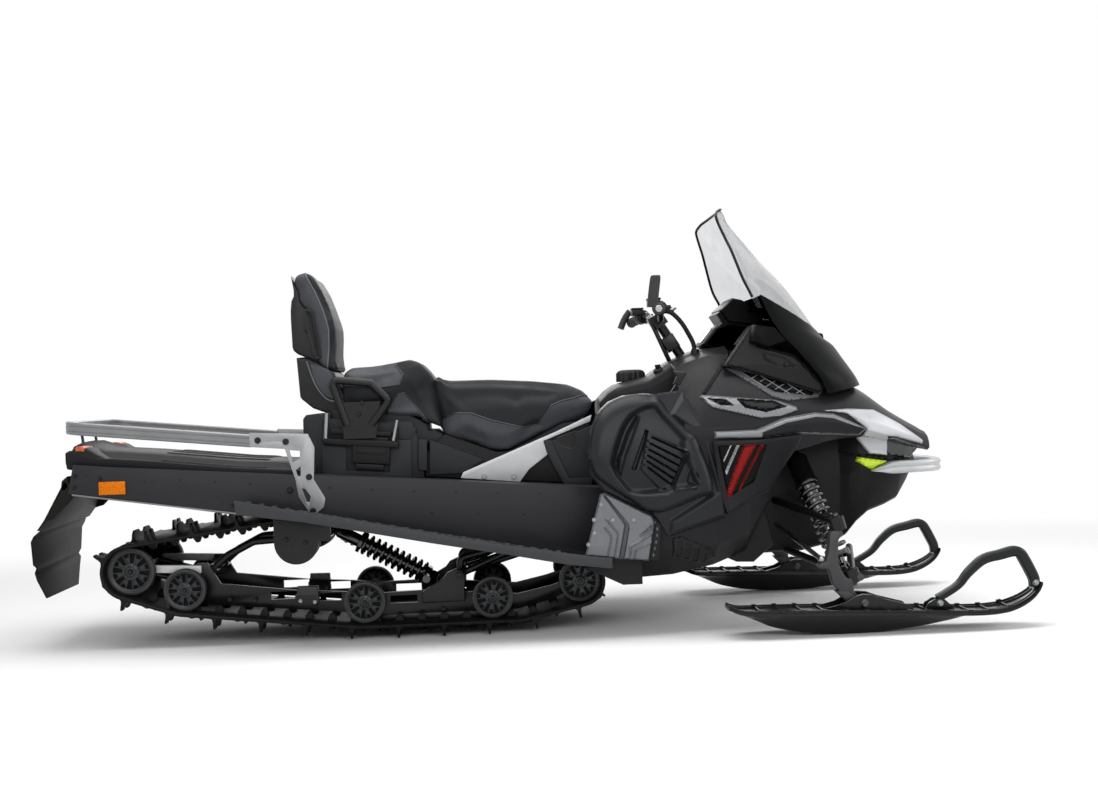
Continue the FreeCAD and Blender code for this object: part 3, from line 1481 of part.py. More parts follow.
def main():
    tunnel = make_tunnel()
    save("tunnel", tunnel)
    save("running_boards", make_running_boards())
    save("side_reflectors", make_side_reflectors())
    deck = make_rear_deck()
    save("rear_deck", deck)
    save("tail_lamp", make_tail_lamp())
    save("snow_flap", make_snow_flap().cut(deck).cut(tunnel))
    rack = make_cargo_rack()
    brackets = make_rack_brackets()
    save("cargo_rack", fused([rack] + make_rack_feet(deck, rack)))
    save("rack_brackets", brackets)
    passenger = make_passenger_seat()
    save("passenger_seat", passenger)
    seat_box = make_seat_box().cut(passenger)
    save("seat_box", seat_box)
    rider = make_rider_seat().cut(passenger)
    save("rider_seat", rider)
    save("seat_base", make_seat_base(rider))
    save("seat_trims", make_seat_trims())
    pad = make_backrest_pad()
    save("backrest_pad", pad)
    save("backrest_frame", make_backrest_frame([pad, passenger, seat_box]))
    save("grab_handles", make_grab_handles())
    console = make_console()
    save("console", console)
    save("fuel_cap", make_fuel_cap(console))
    hood = make_hood(console)
    save("hood", hood)
    screen = make_windshield()
    save("windshield", screen)
    fairing = make_fairing(hood)
    save("fairing", fairing)
    grown = hood_body(skin_thickness)
    core = hood_body(0)
    save("headlight_cowl", hood_skin(cowl_shares, grown, core).cut(fairing))
    save("headlamp_lens", hood_skin(lens_shares, grown, core))
    save("vent_frames", hood_skin(vent_frame_shares, grown, core).cut(fairing))
    frame = make_front_frame()
    save("front_frame", frame)
    lower = make_lower_cowl()
    pod = make_lower_pods()
    lower = fused([lower, pod, mirrored(pod)])
    save("lower_cowl", lower)
    panel = make_side_panels().cut(hood).cut(lower)
    save("side_panels", both_sides(panel))
    guard = make_foot_guards().cut(panel).cut(lower)
    save("foot_guards", both_sides(guard))
    save("engine", make_engine())
    bumper = make_front_bumper()
    save("nose_pan", make_nose().cut(bumper))
    save("marker_reflectors", make_marker())
    save("front_bumper", bumper)
    save("dash_pod", make_dash_pod([screen, fairing, hood, console, post_socket()]))
    save("pull_handle", make_pull_handle().cut(hood).cut(panel))
    arms = make_front_arms()
    save("front_arms", arms)
    save("front_shocks", make_front_shocks(arms, frame))
    save("track", make_track())
    save("idler_wheels", make_idler_wheels())
    save("slide_rails", make_slide_rails())
    save("rail_runners", make_runners())
    save("skid_arms", make_skid_arms())
    save("skid_shock", make_skid_shock())
    save("drop_brackets", make_drop_brackets())
    save("drive_shaft", make_drive_shaft())
    bar = make_handlebar()
    post = make_steering_post().cut(bar)
    save("steering_post", post)
    save("handlebar", bar)
    save("grips", make_grips(bar))
    save("bar_controls", make_bar_controls(bar))
    for name, side in (("left", 1), ("right", -1)):
        ski = make_ski(side)
        save("spindle_" + name, make_spindle(side))
        save("ski_" + name, ski)
        save("ski_handle_" + name, make_ski_handle(side, ski))
        save("tie_rod_" + name, make_tie_rod(side))


main()
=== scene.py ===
import math
import random

import bmesh
import bpy
import numpy as np
from mathutils import Matrix, Vector
from mathutils.bvhtree import BVHTree


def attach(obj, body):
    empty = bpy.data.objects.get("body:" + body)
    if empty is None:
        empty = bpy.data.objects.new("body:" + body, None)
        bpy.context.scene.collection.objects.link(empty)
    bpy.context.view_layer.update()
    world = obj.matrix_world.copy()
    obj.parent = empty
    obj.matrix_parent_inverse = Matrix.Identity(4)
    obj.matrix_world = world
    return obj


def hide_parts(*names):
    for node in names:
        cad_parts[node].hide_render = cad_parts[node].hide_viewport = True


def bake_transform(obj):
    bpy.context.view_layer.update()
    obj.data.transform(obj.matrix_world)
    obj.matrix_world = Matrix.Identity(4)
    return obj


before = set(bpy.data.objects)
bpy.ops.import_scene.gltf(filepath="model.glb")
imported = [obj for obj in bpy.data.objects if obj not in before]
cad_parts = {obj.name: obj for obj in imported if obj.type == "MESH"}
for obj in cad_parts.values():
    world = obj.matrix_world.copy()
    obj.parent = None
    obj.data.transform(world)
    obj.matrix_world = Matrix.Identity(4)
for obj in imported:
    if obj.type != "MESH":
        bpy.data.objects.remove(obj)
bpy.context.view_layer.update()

# The studio: a white floor that keeps a soft shadow near the machine, under large soft lamps.
# The camera stands off the machine's right side at handlebar height, turned by two degrees as in the photo.
photo_width = 1098.0
photo_height = 812.0
focal_pixels = 1315.0
across_point = (488.0, 398.0)
camera_roll = math.radians(2.0)
camera_place = Vector((-0.1236, -4.57, 0.780))
film_width = 36.0
floor_size = 60.0
floor_colour = (0.93, 0.93, 0.93, 1.0)
shadow_reach = (1.9, 3.4)

across = Vector(((across_point[0] - photo_width / 2) / focal_pixels,
                 (across_point[1] - photo_height / 2) / focal_pixels, 1.0)).normalized()
ahead = Vector((math.cos(camera_roll), -math.sin(camera_roll), 0.0))
ahead.z = -ahead.dot(across) / across.z
ahead.normalize()
upward = ahead.cross(across)
turn = Matrix((ahead, across, upward)).transposed()
camera_data = bpy.data.cameras.new("camera")
camera_data.sensor_width = film_width
camera_data.lens = film_width * focal_pixels / photo_width
camera = bpy.data.objects.new("camera", camera_data)
camera.matrix_world = Matrix.Translation(camera_place) @ Matrix(
    (turn[0], -turn[1], -turn[2])).transposed().to_4x4()
bpy.context.scene.collection.objects.link(camera)
bpy.context.scene.camera = camera
bpy.context.scene.view_settings.view_transform = "Standard"


def shader_node(tree, kind, inputs=None, **settings):
    """A node with its settings, and its inputs set to values or joined to other nodes' sockets."""
    made = tree.nodes.new("ShaderNode" + kind)
    for key, value in settings.items():
        setattr(made, key, value)
    for key, value in (inputs or {}).items():
        if isinstance(value, bpy.types.NodeSocket):
            tree.links.new(value, made.inputs[key])
        else:
            made.inputs[key].default_value = value
    return made


def math_node(tree, operation, first, second, use_clamp=False):
    """Two values joined by a sum, a product or another operation."""
    return shader_node(tree, "Math", {0: first, 1: second}, operation=operation,
                       use_clamp=use_clamp).outputs[0]


def ranged(tree, value, source, target=(0.0, 1.0), **settings):
    """A value moved from one range into another."""
    return shader_node(tree, "MapRange", {"Value": value, "From Min": source[0], "From Max": source[1],
                                          "To Min": target[0], "To Max": target[1]},
                       **settings).outputs["Result"]


def backdrop_rays(tree):
    """1 for what the camera, a mirror or a window sees, 0 for the light that falls on things."""
    path = shader_node(tree, "LightPath").outputs
    first = math_node(tree, "MAXIMUM", path["Is Camera Ray"], path["Is Glossy Ray"])
    return math_node(tree, "MAXIMUM", first, path["Is Transmission Ray"])


world = bpy.data.worlds.new("studio")
bpy.context.scene.world = world
world.use_nodes = True
world.node_tree.nodes.clear()
seen = backdrop_rays(world.node_tree)
world_power = ranged(world.node_tree, seen, (0.0, 1.0), (0.42, 1.0))
world_light = shader_node(world.node_tree, "Background", {"Color": (1.0, 1.0, 1.0, 1.0),
                                                          "Strength": world_power})
shader_node(world.node_tree, "OutputWorld", {"Surface": world_light.outputs[0]})

floor_mesh = bpy.data.meshes.new("floor")
half_floor = floor_size / 2
floor_mesh.from_pydata([(-half_floor, -half_floor, 0), (half_floor, -half_floor, 0),
                        (half_floor, half_floor, 0), (-half_floor, half_floor, 0)], [], [(0, 1, 2, 3)])
floor = bpy.data.objects.new("floor", floor_mesh)
bpy.context.scene.collection.objects.link(floor)
floor_paint = bpy.data.materials.new("floor_paint")
floor_paint.use_nodes = True
tree = floor_paint.node_tree
tree.nodes.clear()
floor_spot = shader_node(tree, "TexCoord")
floor_squash = shader_node(tree, "Mapping", {"Vector": floor_spot.outputs["Object"],
                                             "Scale": (0.62, 1.0, 1.0)})
floor_far = shader_node(tree, "VectorMath", {0: floor_squash.outputs[0]}, operation="LENGTH")
floor_edge = ranged(tree, floor_far.outputs["Value"], shadow_reach, interpolation_type="SMOOTHSTEP")
floor_white = math_node(tree, "MULTIPLY", floor_edge, backdrop_rays(tree))
floor_matt = shader_node(tree, "BsdfDiffuse", {"Color": floor_colour})
floor_glow = shader_node(tree, "Emission", {"Strength": 1.0})
floor_mix = shader_node(tree, "MixShader", {0: floor_white, 1: floor_matt.outputs[0],
                                            2: floor_glow.outputs[0]})
shader_node(tree, "OutputMaterial", {"Surface": floor_mix.outputs[0]})
floor_mesh.materials.append(floor_paint)

lamps = {
    "overhead": ((0.1, -0.4, 3.6), (0.0, 0.0, 0.2), (4.6, 2.2), 120.0),
    "near_side": ((0.4, -4.6, 2.6), (0.0, 0.0, 0.5), (5.0, 1.6), 70.0),
    "far_side": ((-0.4, 4.6, 2.6), (0.0, 0.0, 0.5), (5.0, 1.6), 60.0),
    "nose_end": ((4.6, -0.8, 2.0), (0.6, 0.0, 0.5), (2.4, 1.6), 35.0),
}
for lamp_name, (lamp_at, lamp_aim, lamp_size, lamp_power) in lamps.items():
    lamp_data = bpy.data.lights.new(lamp_name, "AREA")
    lamp_data.shape = "RECTANGLE"
    lamp_data.size, lamp_data.size_y = lamp_size
    lamp_data.energy = lamp_power
    lamp = bpy.data.objects.new(lamp_name, lamp_data)
    lamp.location = lamp_at
    lamp.rotation_euler = (Vector(lamp_aim) - Vector(lamp_at)).to_track_quat("-Z", "Y").to_euler()
    lamp.visible_transmission = False
    bpy.context.scene.collection.objects.link(lamp)

# The tunnel: folded aluminium sheet under satin charcoal powder paint, riveted along its edges.
# It carries the seats, the running boards and the rack. Its paint is the finish of several sheet parts.
tunnel_colour = (41, 41, 45)
wheel_edge = 0.0006
lug_edge = 0.0008
thin_edge = 0.001
sheet_edge = 0.0012
folded_edge = 0.0015
crisp_edge = 0.002
cut_edge = 0.0025
moulded_edge = 0.003
soft_edge = 0.004
broad_edge = 0.005
round_edge = 0.006


def paint(red, green, blue):
    """A colour of the photograph, 0 to 255, as the linear values that a shader takes."""
    values = [((v / 255 + 0.055) / 1.055) ** 2.4 if v > 10 else v / 255 / 12.92 for v in (red, green, blue)]
    return (*values, 1.0)


def shader_group(name, inputs):
    """An empty surface group with named inputs, which gives a colour, a roughness and a normal."""
    tree = bpy.data.node_groups.new(name, "ShaderNodeTree")
    for label, value in inputs.items():
        kind = "NodeSocketColor" if isinstance(value, tuple) else "NodeSocketFloat"
        tree.interface.new_socket(name=label, in_out="INPUT", socket_type=kind).default_value = value
    for label, kind in (("Colour", "Color"), ("Roughness", "Float"), ("Normal", "Vector")):
        tree.interface.new_socket(name=label, in_out="OUTPUT", socket_type="NodeSocket" + kind)
    return tree, tree.nodes.new("NodeGroupInput").outputs, shader_node(tree, "TexCoord").outputs["Object"]


def closed_group(tree, colour, roughness, normal):
    """Joins a surface group's three results to its end."""
    end = tree.nodes.new("NodeGroupOutput")
    for label, socket in (("Colour", colour), ("Roughness", roughness), ("Normal", normal)):
        tree.links.new(socket, end.inputs[label])
    return tree


def noise(tree, spot, scale, detail, more=None):
    """A noise texture's value."""
    return shader_node(tree, "TexNoise", {"Vector": spot, "Scale": scale, "Detail": detail,
                                          **(more or {})}).outputs[0]


def bumped(tree, height, distance, more=None):
    """A surface normal from a height."""
    return shader_node(tree, "Bump", {"Height": height, "Distance": distance, **(more or {})}).outputs[0]


def toned(tree, colour, shade):
    """A colour made lighter or darker."""
    return shader_node(tree, "VectorMath", {0: colour, "Scale": shade}, operation="SCALE").outputs[0]


def patched(tree, given, cloud, tones, sheens):
    """A group's colour and roughness, both changed a little from patch to patch."""
    colour = toned(tree, given["Colour"], ranged(tree, cloud, patch_range, tones))
    sheen = ranged(tree, cloud, patch_range, sheens)
    return colour, math_node(tree, "ADD", given["Roughness"], sheen, use_clamp=True)


def moulded_group():
    """Fine grain, broad change of sheen and some dust on upward faces, for paint and moulded plastic."""
    tree, given, spot = shader_group("moulded_skin", {"Colour": (0.1, 0.1, 0.1, 1.0), "Roughness": 0.5,
                                                      "Grain Size": 0.0008, "Grain Depth": 0.0001,
                                                      "Dust": 0.1})
    grain = noise(tree, spot, math_node(tree, "DIVIDE", 1.0, given["Grain Size"]), 2.0)
    broad = noise(tree, spot, 7.0, 5.0, {"Roughness": 0.6})
    facing = shader_node(tree, "SeparateXYZ", {0: shader_node(tree, "NewGeometry").outputs["Normal"]})
    patch = math_node(tree, "MULTIPLY", ranged(tree, facing.outputs["Z"], (0.3, 1.0)), broad)
    dust = math_node(tree, "MULTIPLY", patch, given["Dust"])
    colour, rough = patched(tree, given, broad, (0.9, 1.1), (-0.05, 0.07))
    dusty = shader_node(tree, "MixRGB", {"Fac": dust, "Color1": colour, "Color2": (0.55, 0.56, 0.58, 1.0)})
    return closed_group(tree, dusty.outputs[0], rough, bumped(tree, grain, given["Grain Depth"]))


patch_range = (0.3, 0.7)
moulded_skin = moulded_group()


def finish(name, group, colour, **sockets):
    """A solid finish: lower-case names set the surface group's inputs, and the others the shader's own."""
    material = bpy.data.materials.new(name)
    material.use_nodes = True
    tree = material.node_tree
    tree.nodes.clear()
    skin = shader_node(tree, "Group", node_tree=group)
    skin.inputs["Colour"].default_value = colour if len(colour) == 4 else paint(*colour)
    shader = shader_node(tree, "BsdfPrincipled", {"Base Color": skin.outputs["Colour"],
                                                  "Roughness": skin.outputs["Roughness"],
                                                  "Normal": skin.outputs["Normal"]})
    for label, value in sockets.items():
        words = label.replace("_", " ")
        place = skin.inputs[words.title()] if label.islower() else shader.inputs[words]
        place.default_value = value
    shader_node(tree, "OutputMaterial", {"Surface": shader.outputs[0]})
    return material


def moulded(name, colour, roughness, grain, dust=0.0, **sockets):
    """A painted or moulded finish from its colour out of 255 and the size and depth of its grain."""
    return finish(name, moulded_skin, colour, roughness=roughness, grain_size=grain[0],
                  grain_depth=grain[1], dust=dust, **sockets)


def baked(thing):
    """Applies a piece's modifiers, so that its mesh is final."""
    bpy.context.view_layer.update()
    whole = bpy.data.meshes.new_from_object(thing.evaluated_get(bpy.context.evaluated_depsgraph_get()))
    thing.modifiers.clear()
    thing.data = whole
    return thing


def eased(thing, width, segments=2, corner=35.0):
    """Rounds the edges that turn by more than the corner angle, and shades the rest smooth."""
    if width:
        bevel = thing.modifiers.new("edge", "BEVEL")
        bevel.width = width
        bevel.segments = segments
        bevel.limit_method = "ANGLE"
        bevel.angle_limit = math.radians(corner)
        bevel.harden_normals = False
        baked(thing)
    thing.data.polygons.foreach_set("use_smooth", [True] * len(thing.data.polygons))
    thing.data.set_sharp_from_angle(angle=math.radians(corner))
    return thing


def fitted(thing, material, body="chassis", stands_for=()):
    """Gives a piece its finish, the body that it rides on and the nodes it stands for."""
    thing.data.materials.clear()
    thing.data.materials.append(material)
    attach(thing, body)
    if stands_for:
        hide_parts(*stands_for)
    return thing


def rounded(node, width, material, body="chassis", corner=35.0):
    """A construction piece with its sharp edges eased, as its sheet or casting really has them."""
    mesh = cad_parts[node].data.copy()
    shape = bmesh.new()
    shape.from_mesh(mesh)
    bmesh.ops.remove_doubles(shape, verts=shape.verts, dist=0.00002)
    bmesh.ops.dissolve_limit(shape, angle_limit=math.radians(0.6), verts=shape.verts, edges=shape.edges)
    shape.to_mesh(mesh)
    shape.free()
    thing = bpy.data.objects.new(node + "_finished", mesh)
    bpy.context.scene.collection.objects.link(thing)
    if "custom_normal" in mesh.attributes:
        mesh.attributes.remove(mesh.attributes["custom_normal"])
    eased(thing, width, corner=corner)
    return fitted(thing, material, body, [node])


tunnel_paint = moulded("tunnel_paint", tunnel_colour, 0.42, grain=(0.0009, 0.00006), dust=0.02,
                       Specular_IOR_Level=0.2)
tunnel = rounded("tunnel", sheet_edge, tunnel_paint)

# The track: one moulded rubber belt with cross rods, windows for the sprocket teeth and staggered lugs.
# It runs round the idler wheels, the slide rails and the drive sprockets, and hangs a little slack above.
belt_circles = [(-1.311, 0.252, 0.0785), (-0.761, 0.333, 0.070), (0.120, 0.322, 0.085),
                (0.161, 0.163, 0.070), (-0.050, 0.170, 0.120), (-0.560, 0.170, 0.120),
                (-1.139, 0.184, 0.070)]
belt_half_width = 0.2495
belt_thickness = 0.012
belt_edge = 0.004
lug_count = 48
lug_rise = 0.0375
lug_crown = [(0.0, 0.62), (0.10, 1.0), (0.34, 1.0), (0.40, 0.72), (0.60, 0.72), (0.66, 1.0), (0.90, 1.0),
             (1.0, 0.62)]
lug_flank = [(0.016, 0.0), (0.0075, 0.22), (0.0045, 0.60), (0.0032, 1.0)]
lug_spans = [[(-0.118, 0.118)], [(-0.2495, -0.136), (0.136, 0.2495)]]
horn_levels = [(1.0, -0.002), (0.92, 0.0077), (0.45, 0.022), (0.2, 0.02332)]
lug_root_share = 0.8
rod_every = 6
horn_length = 0.030
horn_width = 0.018
horn_rows = (-0.172, -0.052, 0.052, 0.172)
rod_rise = 0.0035
rubber_colour = (17, 17, 18)


def belt_line(steps):
    """Points round the belt's inner face, evenly spaced: place and outward direction in the X and Z plane."""
    runs = []
    for (x1, z1, r1), (x2, z2, r2) in zip(belt_circles, belt_circles[1:] + belt_circles[:1]):
        distance = math.hypot(x2 - x1, z2 - z1)
        angle = math.atan2(z2 - z1, x2 - x1) + math.pi / 2 - math.asin((r1 - r2) / distance)
        runs.append(((x1, z1, r1), (x2, z2, r2), angle))
    dense = []
    for index, (first, second, angle) in enumerate(runs):
        normal = Vector((math.cos(angle), 0, math.sin(angle)))
        start = Vector((first[0], 0, first[1])) + normal * first[2]
        end = Vector((second[0], 0, second[1])) + normal * second[2]
        dense += [(start.lerp(end, step / 40), normal) for step in range(40)]
        following = runs[(index + 1) % len(runs)][2]
        swing = (following - angle + math.pi) % (2 * math.pi) - math.pi
        for step in range(24):
            beta = angle + swing * step / 24
            normal = Vector((math.cos(beta), 0, math.sin(beta)))
            dense.append((Vector((second[0], 0, second[1])) + normal * second[2], normal))
    lengths = [0.0]
    for (a, _), (b, _) in zip(dense, dense[1:] + dense[:1]):
        lengths.append(lengths[-1] + (b - a).length)
    places = []
    walk = 0
    for step in range(steps):
        target = lengths[-1] * step / steps
        while lengths[walk + 1] < target:
            walk += 1
        share = (target - lengths[walk]) / max(lengths[walk + 1] - lengths[walk], 1e-9)
        here, there = dense[walk], dense[(walk + 1) % len(dense)]
        places.append((here[0].lerp(there[0], share), here[1].lerp(there[1], share).normalized()))
    return places


def gather(shapes):
    """Joins several shapes, each given as points and faces, into one."""
    points, faces = [], []
    for shape_points, shape_faces in shapes:
        start = len(points)
        points += [tuple(point) for point in shape_points]
        faces += [[index + start for index in face] for face in shape_faces]
    return points, faces


def loft(rings, ends=True, ring_closed=True, loop=False):
    """Quads between rings of equal count, with flat ends, or round in a loop."""
    count = len(rings[0])
    faces = []
    rows = len(rings) if loop else len(rings) - 1
    for row in range(rows):
        after = (row + 1) % len(rings)
        for index in range(count if ring_closed else count - 1):
            beside = (index + 1) % count
            faces.append([row * count + index, row * count + beside, after * count + beside,
                          after * count + index])
    if ends and not loop:
        faces.append(list(range(count))[::-1])
        faces.append([(len(rings) - 1) * count + index for index in range(count)])
    return [point for ring in rings for point in ring], faces


def made(name, shape, weld=0.00001):
    """A new mesh object from points and faces, with its faces turned outwards."""
    mesh = bpy.data.meshes.new(name)
    mesh.from_pydata(*[shape[0], [], shape[1]])
    work = bmesh.new()
    work.from_mesh(mesh)
    if weld:
        bmesh.ops.remove_doubles(work, verts=work.verts, dist=weld)
    bmesh.ops.recalc_face_normals(work, faces=work.faces)
    work.to_mesh(mesh)
    work.free()
    thing = bpy.data.objects.new(name, mesh)
    bpy.context.scene.collection.objects.link(thing)
    return thing


def piece(name, shape, material, width=0.0, segments=2, corner=35.0, body="chassis", stands_for=()):
    """A new piece with its edges eased, its finish, its body and the nodes it stands for."""
    return fitted(eased(made(name, shape), width, segments, corner), material, body, stands_for)


def track_shape():
    places = belt_line(lug_count * rod_every)
    section = [(-belt_half_width, belt_edge), (-belt_half_width + belt_edge, 0.0),
               (belt_half_width - belt_edge, 0.0), (belt_half_width, belt_edge),
               (belt_half_width, belt_thickness - belt_edge), (belt_half_width - belt_edge, belt_thickness),
               (-belt_half_width + belt_edge, belt_thickness),
               (-belt_half_width, belt_thickness - belt_edge)]
    rings = []
    for step, (place, normal) in enumerate(places):
        swell = rod_rise if step % rod_every == 0 else 0.0
        ring = []
        for y, depth in section:
            rise = depth + (swell if depth > belt_thickness / 2 else 0.0)
            ring.append(place + normal * rise + Vector((0, y, 0)))
        rings.append(ring)
    shapes = [loft(rings, loop=True)]
    for index, (place, normal) in enumerate(belt_line(lug_count)):
        forward = Vector((normal.z, 0, -normal.x))
        for low, high in lug_spans[index % 2]:
            rings = []
            for share, crown in lug_crown:
                side = Vector((0, low + (high - low) * share, 0))
                ring = []
                for half, rise in lug_flank + [(-h, r) for h, r in reversed(lug_flank)]:
                    ring.append(place + side + forward * half + normal
                                * (belt_thickness * lug_root_share + lug_rise * crown * rise))
                rings.append(ring)
            shapes.append(loft(rings))
        for y in horn_rows:
            foot = [(-1, -1, 0), (1, -1, 0), (1, 1, 0), (-1, 1, 0)]
            rings = []
            for grow, rise in horn_levels:
                rings.append([place + Vector((0, y + b * horn_width / 2 * grow, 0))
                              + forward * (a * horn_length / 2 * grow) - normal * rise for a, b, _ in foot])
            shapes.append(loft(rings))
    return gather(shapes)


def rubber_group():
    """Dull rubber: cloudy bloom, fine pits and a paler film where it has been handled."""
    tree, given, spot = shader_group("rubber_skin", {"Colour": (0.02, 0.02, 0.02, 1.0), "Bloom": 0.3,
                                                     "Roughness": 0.6})
    cloud = noise(tree, spot, 14.0, 6.0, {"Roughness": 0.65})
    bloom = math_node(tree, "MULTIPLY", ranged(tree, cloud, (0.42, 0.72)), given["Bloom"])
    mixed = shader_node(tree, "MixRGB", {"Fac": bloom, "Color1": given["Colour"],
                                         "Color2": (0.09, 0.09, 0.095, 1.0)})
    rough = math_node(tree, "ADD", bloom, given["Roughness"], use_clamp=True)
    return closed_group(tree, mixed.outputs[0], rough, bumped(tree, noise(tree, spot, 900.0, 2.0), 0.00012))


rubber_skin = rubber_group()
track_rubber = finish("track_rubber", rubber_skin, rubber_colour, bloom=0.05, roughness=0.5,
                      Specular_IOR_Level=0.15)
track = eased(made("track_belt", track_shape()), lug_edge, segments=1, corner=40)
fitted(track, track_rubber, stands_for=["track"])

# Idler wheels: moulded plastic discs with eight forked spokes, a clipped hub and a rubber tyre.
# Pairs sit on steel axles across the slide rails, and three more pairs guide the belt's upper run.
wheel_places = [(-1.311, 0.252, 0.0782), (-1.139, 0.184, 0.0697), (-0.553, 0.119, 0.0687),
                (-0.131, 0.119, 0.0687), (0.161, 0.163, 0.0697), (-0.761, 0.333, 0.0697)]
wheel_row = 0.200
tyre_profile_shares = [(0.84, -0.40), (0.90, -0.50), (0.975, -0.46), (1.0, -0.30), (1.0, 0.30),
                       (0.975, 0.46), (0.90, 0.50), (0.84, 0.40)]
rim_profile_shares = [(0.74, -0.30), (0.85, -0.44), (0.85, 0.44), (0.74, 0.30)]
hub_profile_shares = [(0.12, -0.55), (0.20, -0.55), (0.22, -0.42), (0.36, -0.36), (0.36, 0.36),
                      (0.22, 0.42), (0.20, 0.55), (0.12, 0.55)]
wheel_width = 0.026
spoke_count = 8
spoke_wall_share = 0.055
spoke_reach_shares = (0.34, 0.76)
spoke_lean_shares = (0.05, 0.15)
spoke_deep_share = 0.62
web_shares = (0.60, 0.30, 0.16)
lobe_shares = (0.29, 0.055, 0.44)
cap_share = 0.55
cap_profile_edge = (0.8, 0.004, 0.006)
cap_radius = 0.008
web_half = 0.002
tyre_colour = (34, 35, 37)
wheel_colour = (22, 25, 28)


def lathe(profile, centre, axis, steps=48, closed=True):
    """Turns a profile of (radius, distance along) round an axis through the centre."""
    axis = Vector(axis).normalized()
    side = axis.orthogonal().normalized()
    other = axis.cross(side)
    rings = []
    for step in range(steps):
        beta = 2 * math.pi * step / steps
        out = side * math.cos(beta) + other * math.sin(beta)
        rings.append([Vector(centre) + axis * along + out * radius for radius, along in profile])
    return loft(rings, ends=False, ring_closed=closed, loop=True)


def bar(start, end, width, height, across):
    """A straight rectangular bar between two points, with its width lying along the given direction."""
    along = (end - start).normalized()
    side = Vector(across).normalized() * (width / 2)
    up = along.cross(Vector(across)).normalized() * (height / 2)
    return loft([[at + side + up, at - side + up, at - side - up, at + side - up] for at in (start, end)])


def wheel_shapes(x, z, radius, y):
    centre = Vector((x, y, z))
    turned = [[(share * radius, along * wheel_width) for share, along in profile]
              for profile in (tyre_profile_shares, rim_profile_shares, hub_profile_shares)]
    tyre = lathe(turned[0], centre, (0, 1, 0), steps=64)
    plastic = [lathe(turned[1], centre, (0, 1, 0), steps=64), lathe(turned[2], centre, (0, 1, 0))]
    for index in range(spoke_count):
        beta = 2 * math.pi * index / spoke_count + x
        out = Vector((math.cos(beta), 0, math.sin(beta)))
        flat = Vector((-out.z, 0, out.x))
        for lean in (-1, 1):
            start, end = [centre + out * (radius * reach) + flat * (lean * radius * spread)
                          for reach, spread in zip(spoke_reach_shares, spoke_lean_shares)]
            plastic.append(bar(start, end, wheel_width * spoke_deep_share, radius * spoke_wall_share,
                               (0, 1, 0)))
        web_start = centre + out * (radius * spoke_reach_shares[0])
        web_end = centre + out * (radius * web_shares[0])
        plastic.append(bar(web_start, web_end, wheel_width * web_shares[1], radius * web_shares[2],
                           (0, 1, 0)))
        lobe = centre + out * (radius * lobe_shares[0])
        lobe_radius, lobe_half = radius * lobe_shares[1], wheel_width * lobe_shares[2]
        plastic.append(lathe([(0, -lobe_half), (lobe_radius, -lobe_half), (lobe_radius, lobe_half),
                              (0, lobe_half)], lobe, (0, 1, 0), steps=12, closed=False))
    web = radius * spoke_reach_shares[1]
    return tyre, plastic, lathe([(0, -web_half), (web, -web_half), (web, web_half), (0, web_half)], centre,
                                (0, 1, 0), closed=False)


tyres, discs, caps, webs = [], [], [], []
for x, z, radius in wheel_places:
    for side in (-1, 1):
        tyre, plastic, web = wheel_shapes(x, z, radius, side * wheel_row)
        tyres.append(tyre)
        webs.append(web)
        discs += plastic
        face = side * (wheel_row + wheel_width * cap_share)
        narrow, low, high = cap_profile_edge
        caps.append(lathe([(0, 0.0), (cap_radius, 0.0), (cap_radius, side * low),
                           (cap_radius * narrow, side * high), (0, side * high)], (x, face, z), (0, 1, 0),
                          steps=20, closed=False))
wheel_plastic = moulded("wheel_plastic", wheel_colour, 0.3, grain=(0.0015, 0.00005))
tyre_rubber = finish("tyre_rubber", rubber_skin, tyre_colour, bloom=0.2, roughness=0.5)
wheels = piece("idler_wheel_discs", gather(discs), wheel_plastic, width=wheel_edge,
               segments=1, corner=40, stands_for=["idler_wheels"])
# The webs that close each wheel between its spokes are painted far darker than the wheel's plastic: painted
# shade, standing for the shade in the gaps between the spokes.
web_shade_plastic = moulded("web_shade_plastic", (9, 9, 10), 0.5, grain=(0.0015, 0.00005), Specular_IOR_Level=0.1)
piece("idler_wheel_shade_webs", gather(webs), web_shade_plastic)
piece("idler_wheel_tyres", gather(tyres), tyre_rubber)

# The hood: two moulded halves in satin charcoal plastic, lofted through seven stations from knees to nose.
# Its side, shoulder and roof edges are crisp lines of the mould, and the faces between are slightly crowned.
hood_colour = (31, 31, 33)
hood_lows = (0.540, 0.540, 0.572, 0.602, 0.606, 0.576, 0.552)
hood_table = [
    # x, then half width and height of the side edge, the shoulder and the roof edge, then the crest's height
    (0.500, (0.400, 0.660), (0.300, 0.790), (0.200, 0.862), 0.880),
    (0.660, (0.400, 0.660), (0.316, 0.798), (0.200, 0.900), 0.930),
    (0.850, (0.374, 0.662), (0.320, 0.752), (0.200, 0.852), 0.900),
    (1.000, (0.340, 0.660), (0.302, 0.722), (0.192, 0.802), 0.842),
    (1.140, (0.294, 0.626), (0.270, 0.690), (0.162, 0.750), 0.784),
    (1.262, (0.238, 0.590), (0.220, 0.642), (0.122, 0.672), 0.692),
    (1.372, (0.160, 0.560), (0.140, 0.600), (0.082, 0.614), 0.622),
]
hood_bottom_widths = (0.400, 0.400, 0.362, 0.300, 0.242, 0.180, 0.110)
hood_steps = 7
hood_crown = 0.006
edge_width = 0.003


def curve_through(points, steps):
    """Points on the smooth curve that passes through the given ones."""
    line = []
    for index in range(len(points) - 1):
        a, b = points[index], points[index + 1]
        lead = (b - points[max(index - 1, 0)]) / 2
        follow = (points[min(index + 2, len(points) - 1)] - a) / 2
        for step in range(steps):
            t = step / steps
            line.append(a * (2 * t ** 3 - 3 * t * t + 1) + lead * (t ** 3 - 2 * t * t + t)
                        + b * (3 * t * t - 2 * t ** 3) + follow * (t ** 3 - t * t))
    return line + [points[-1]]


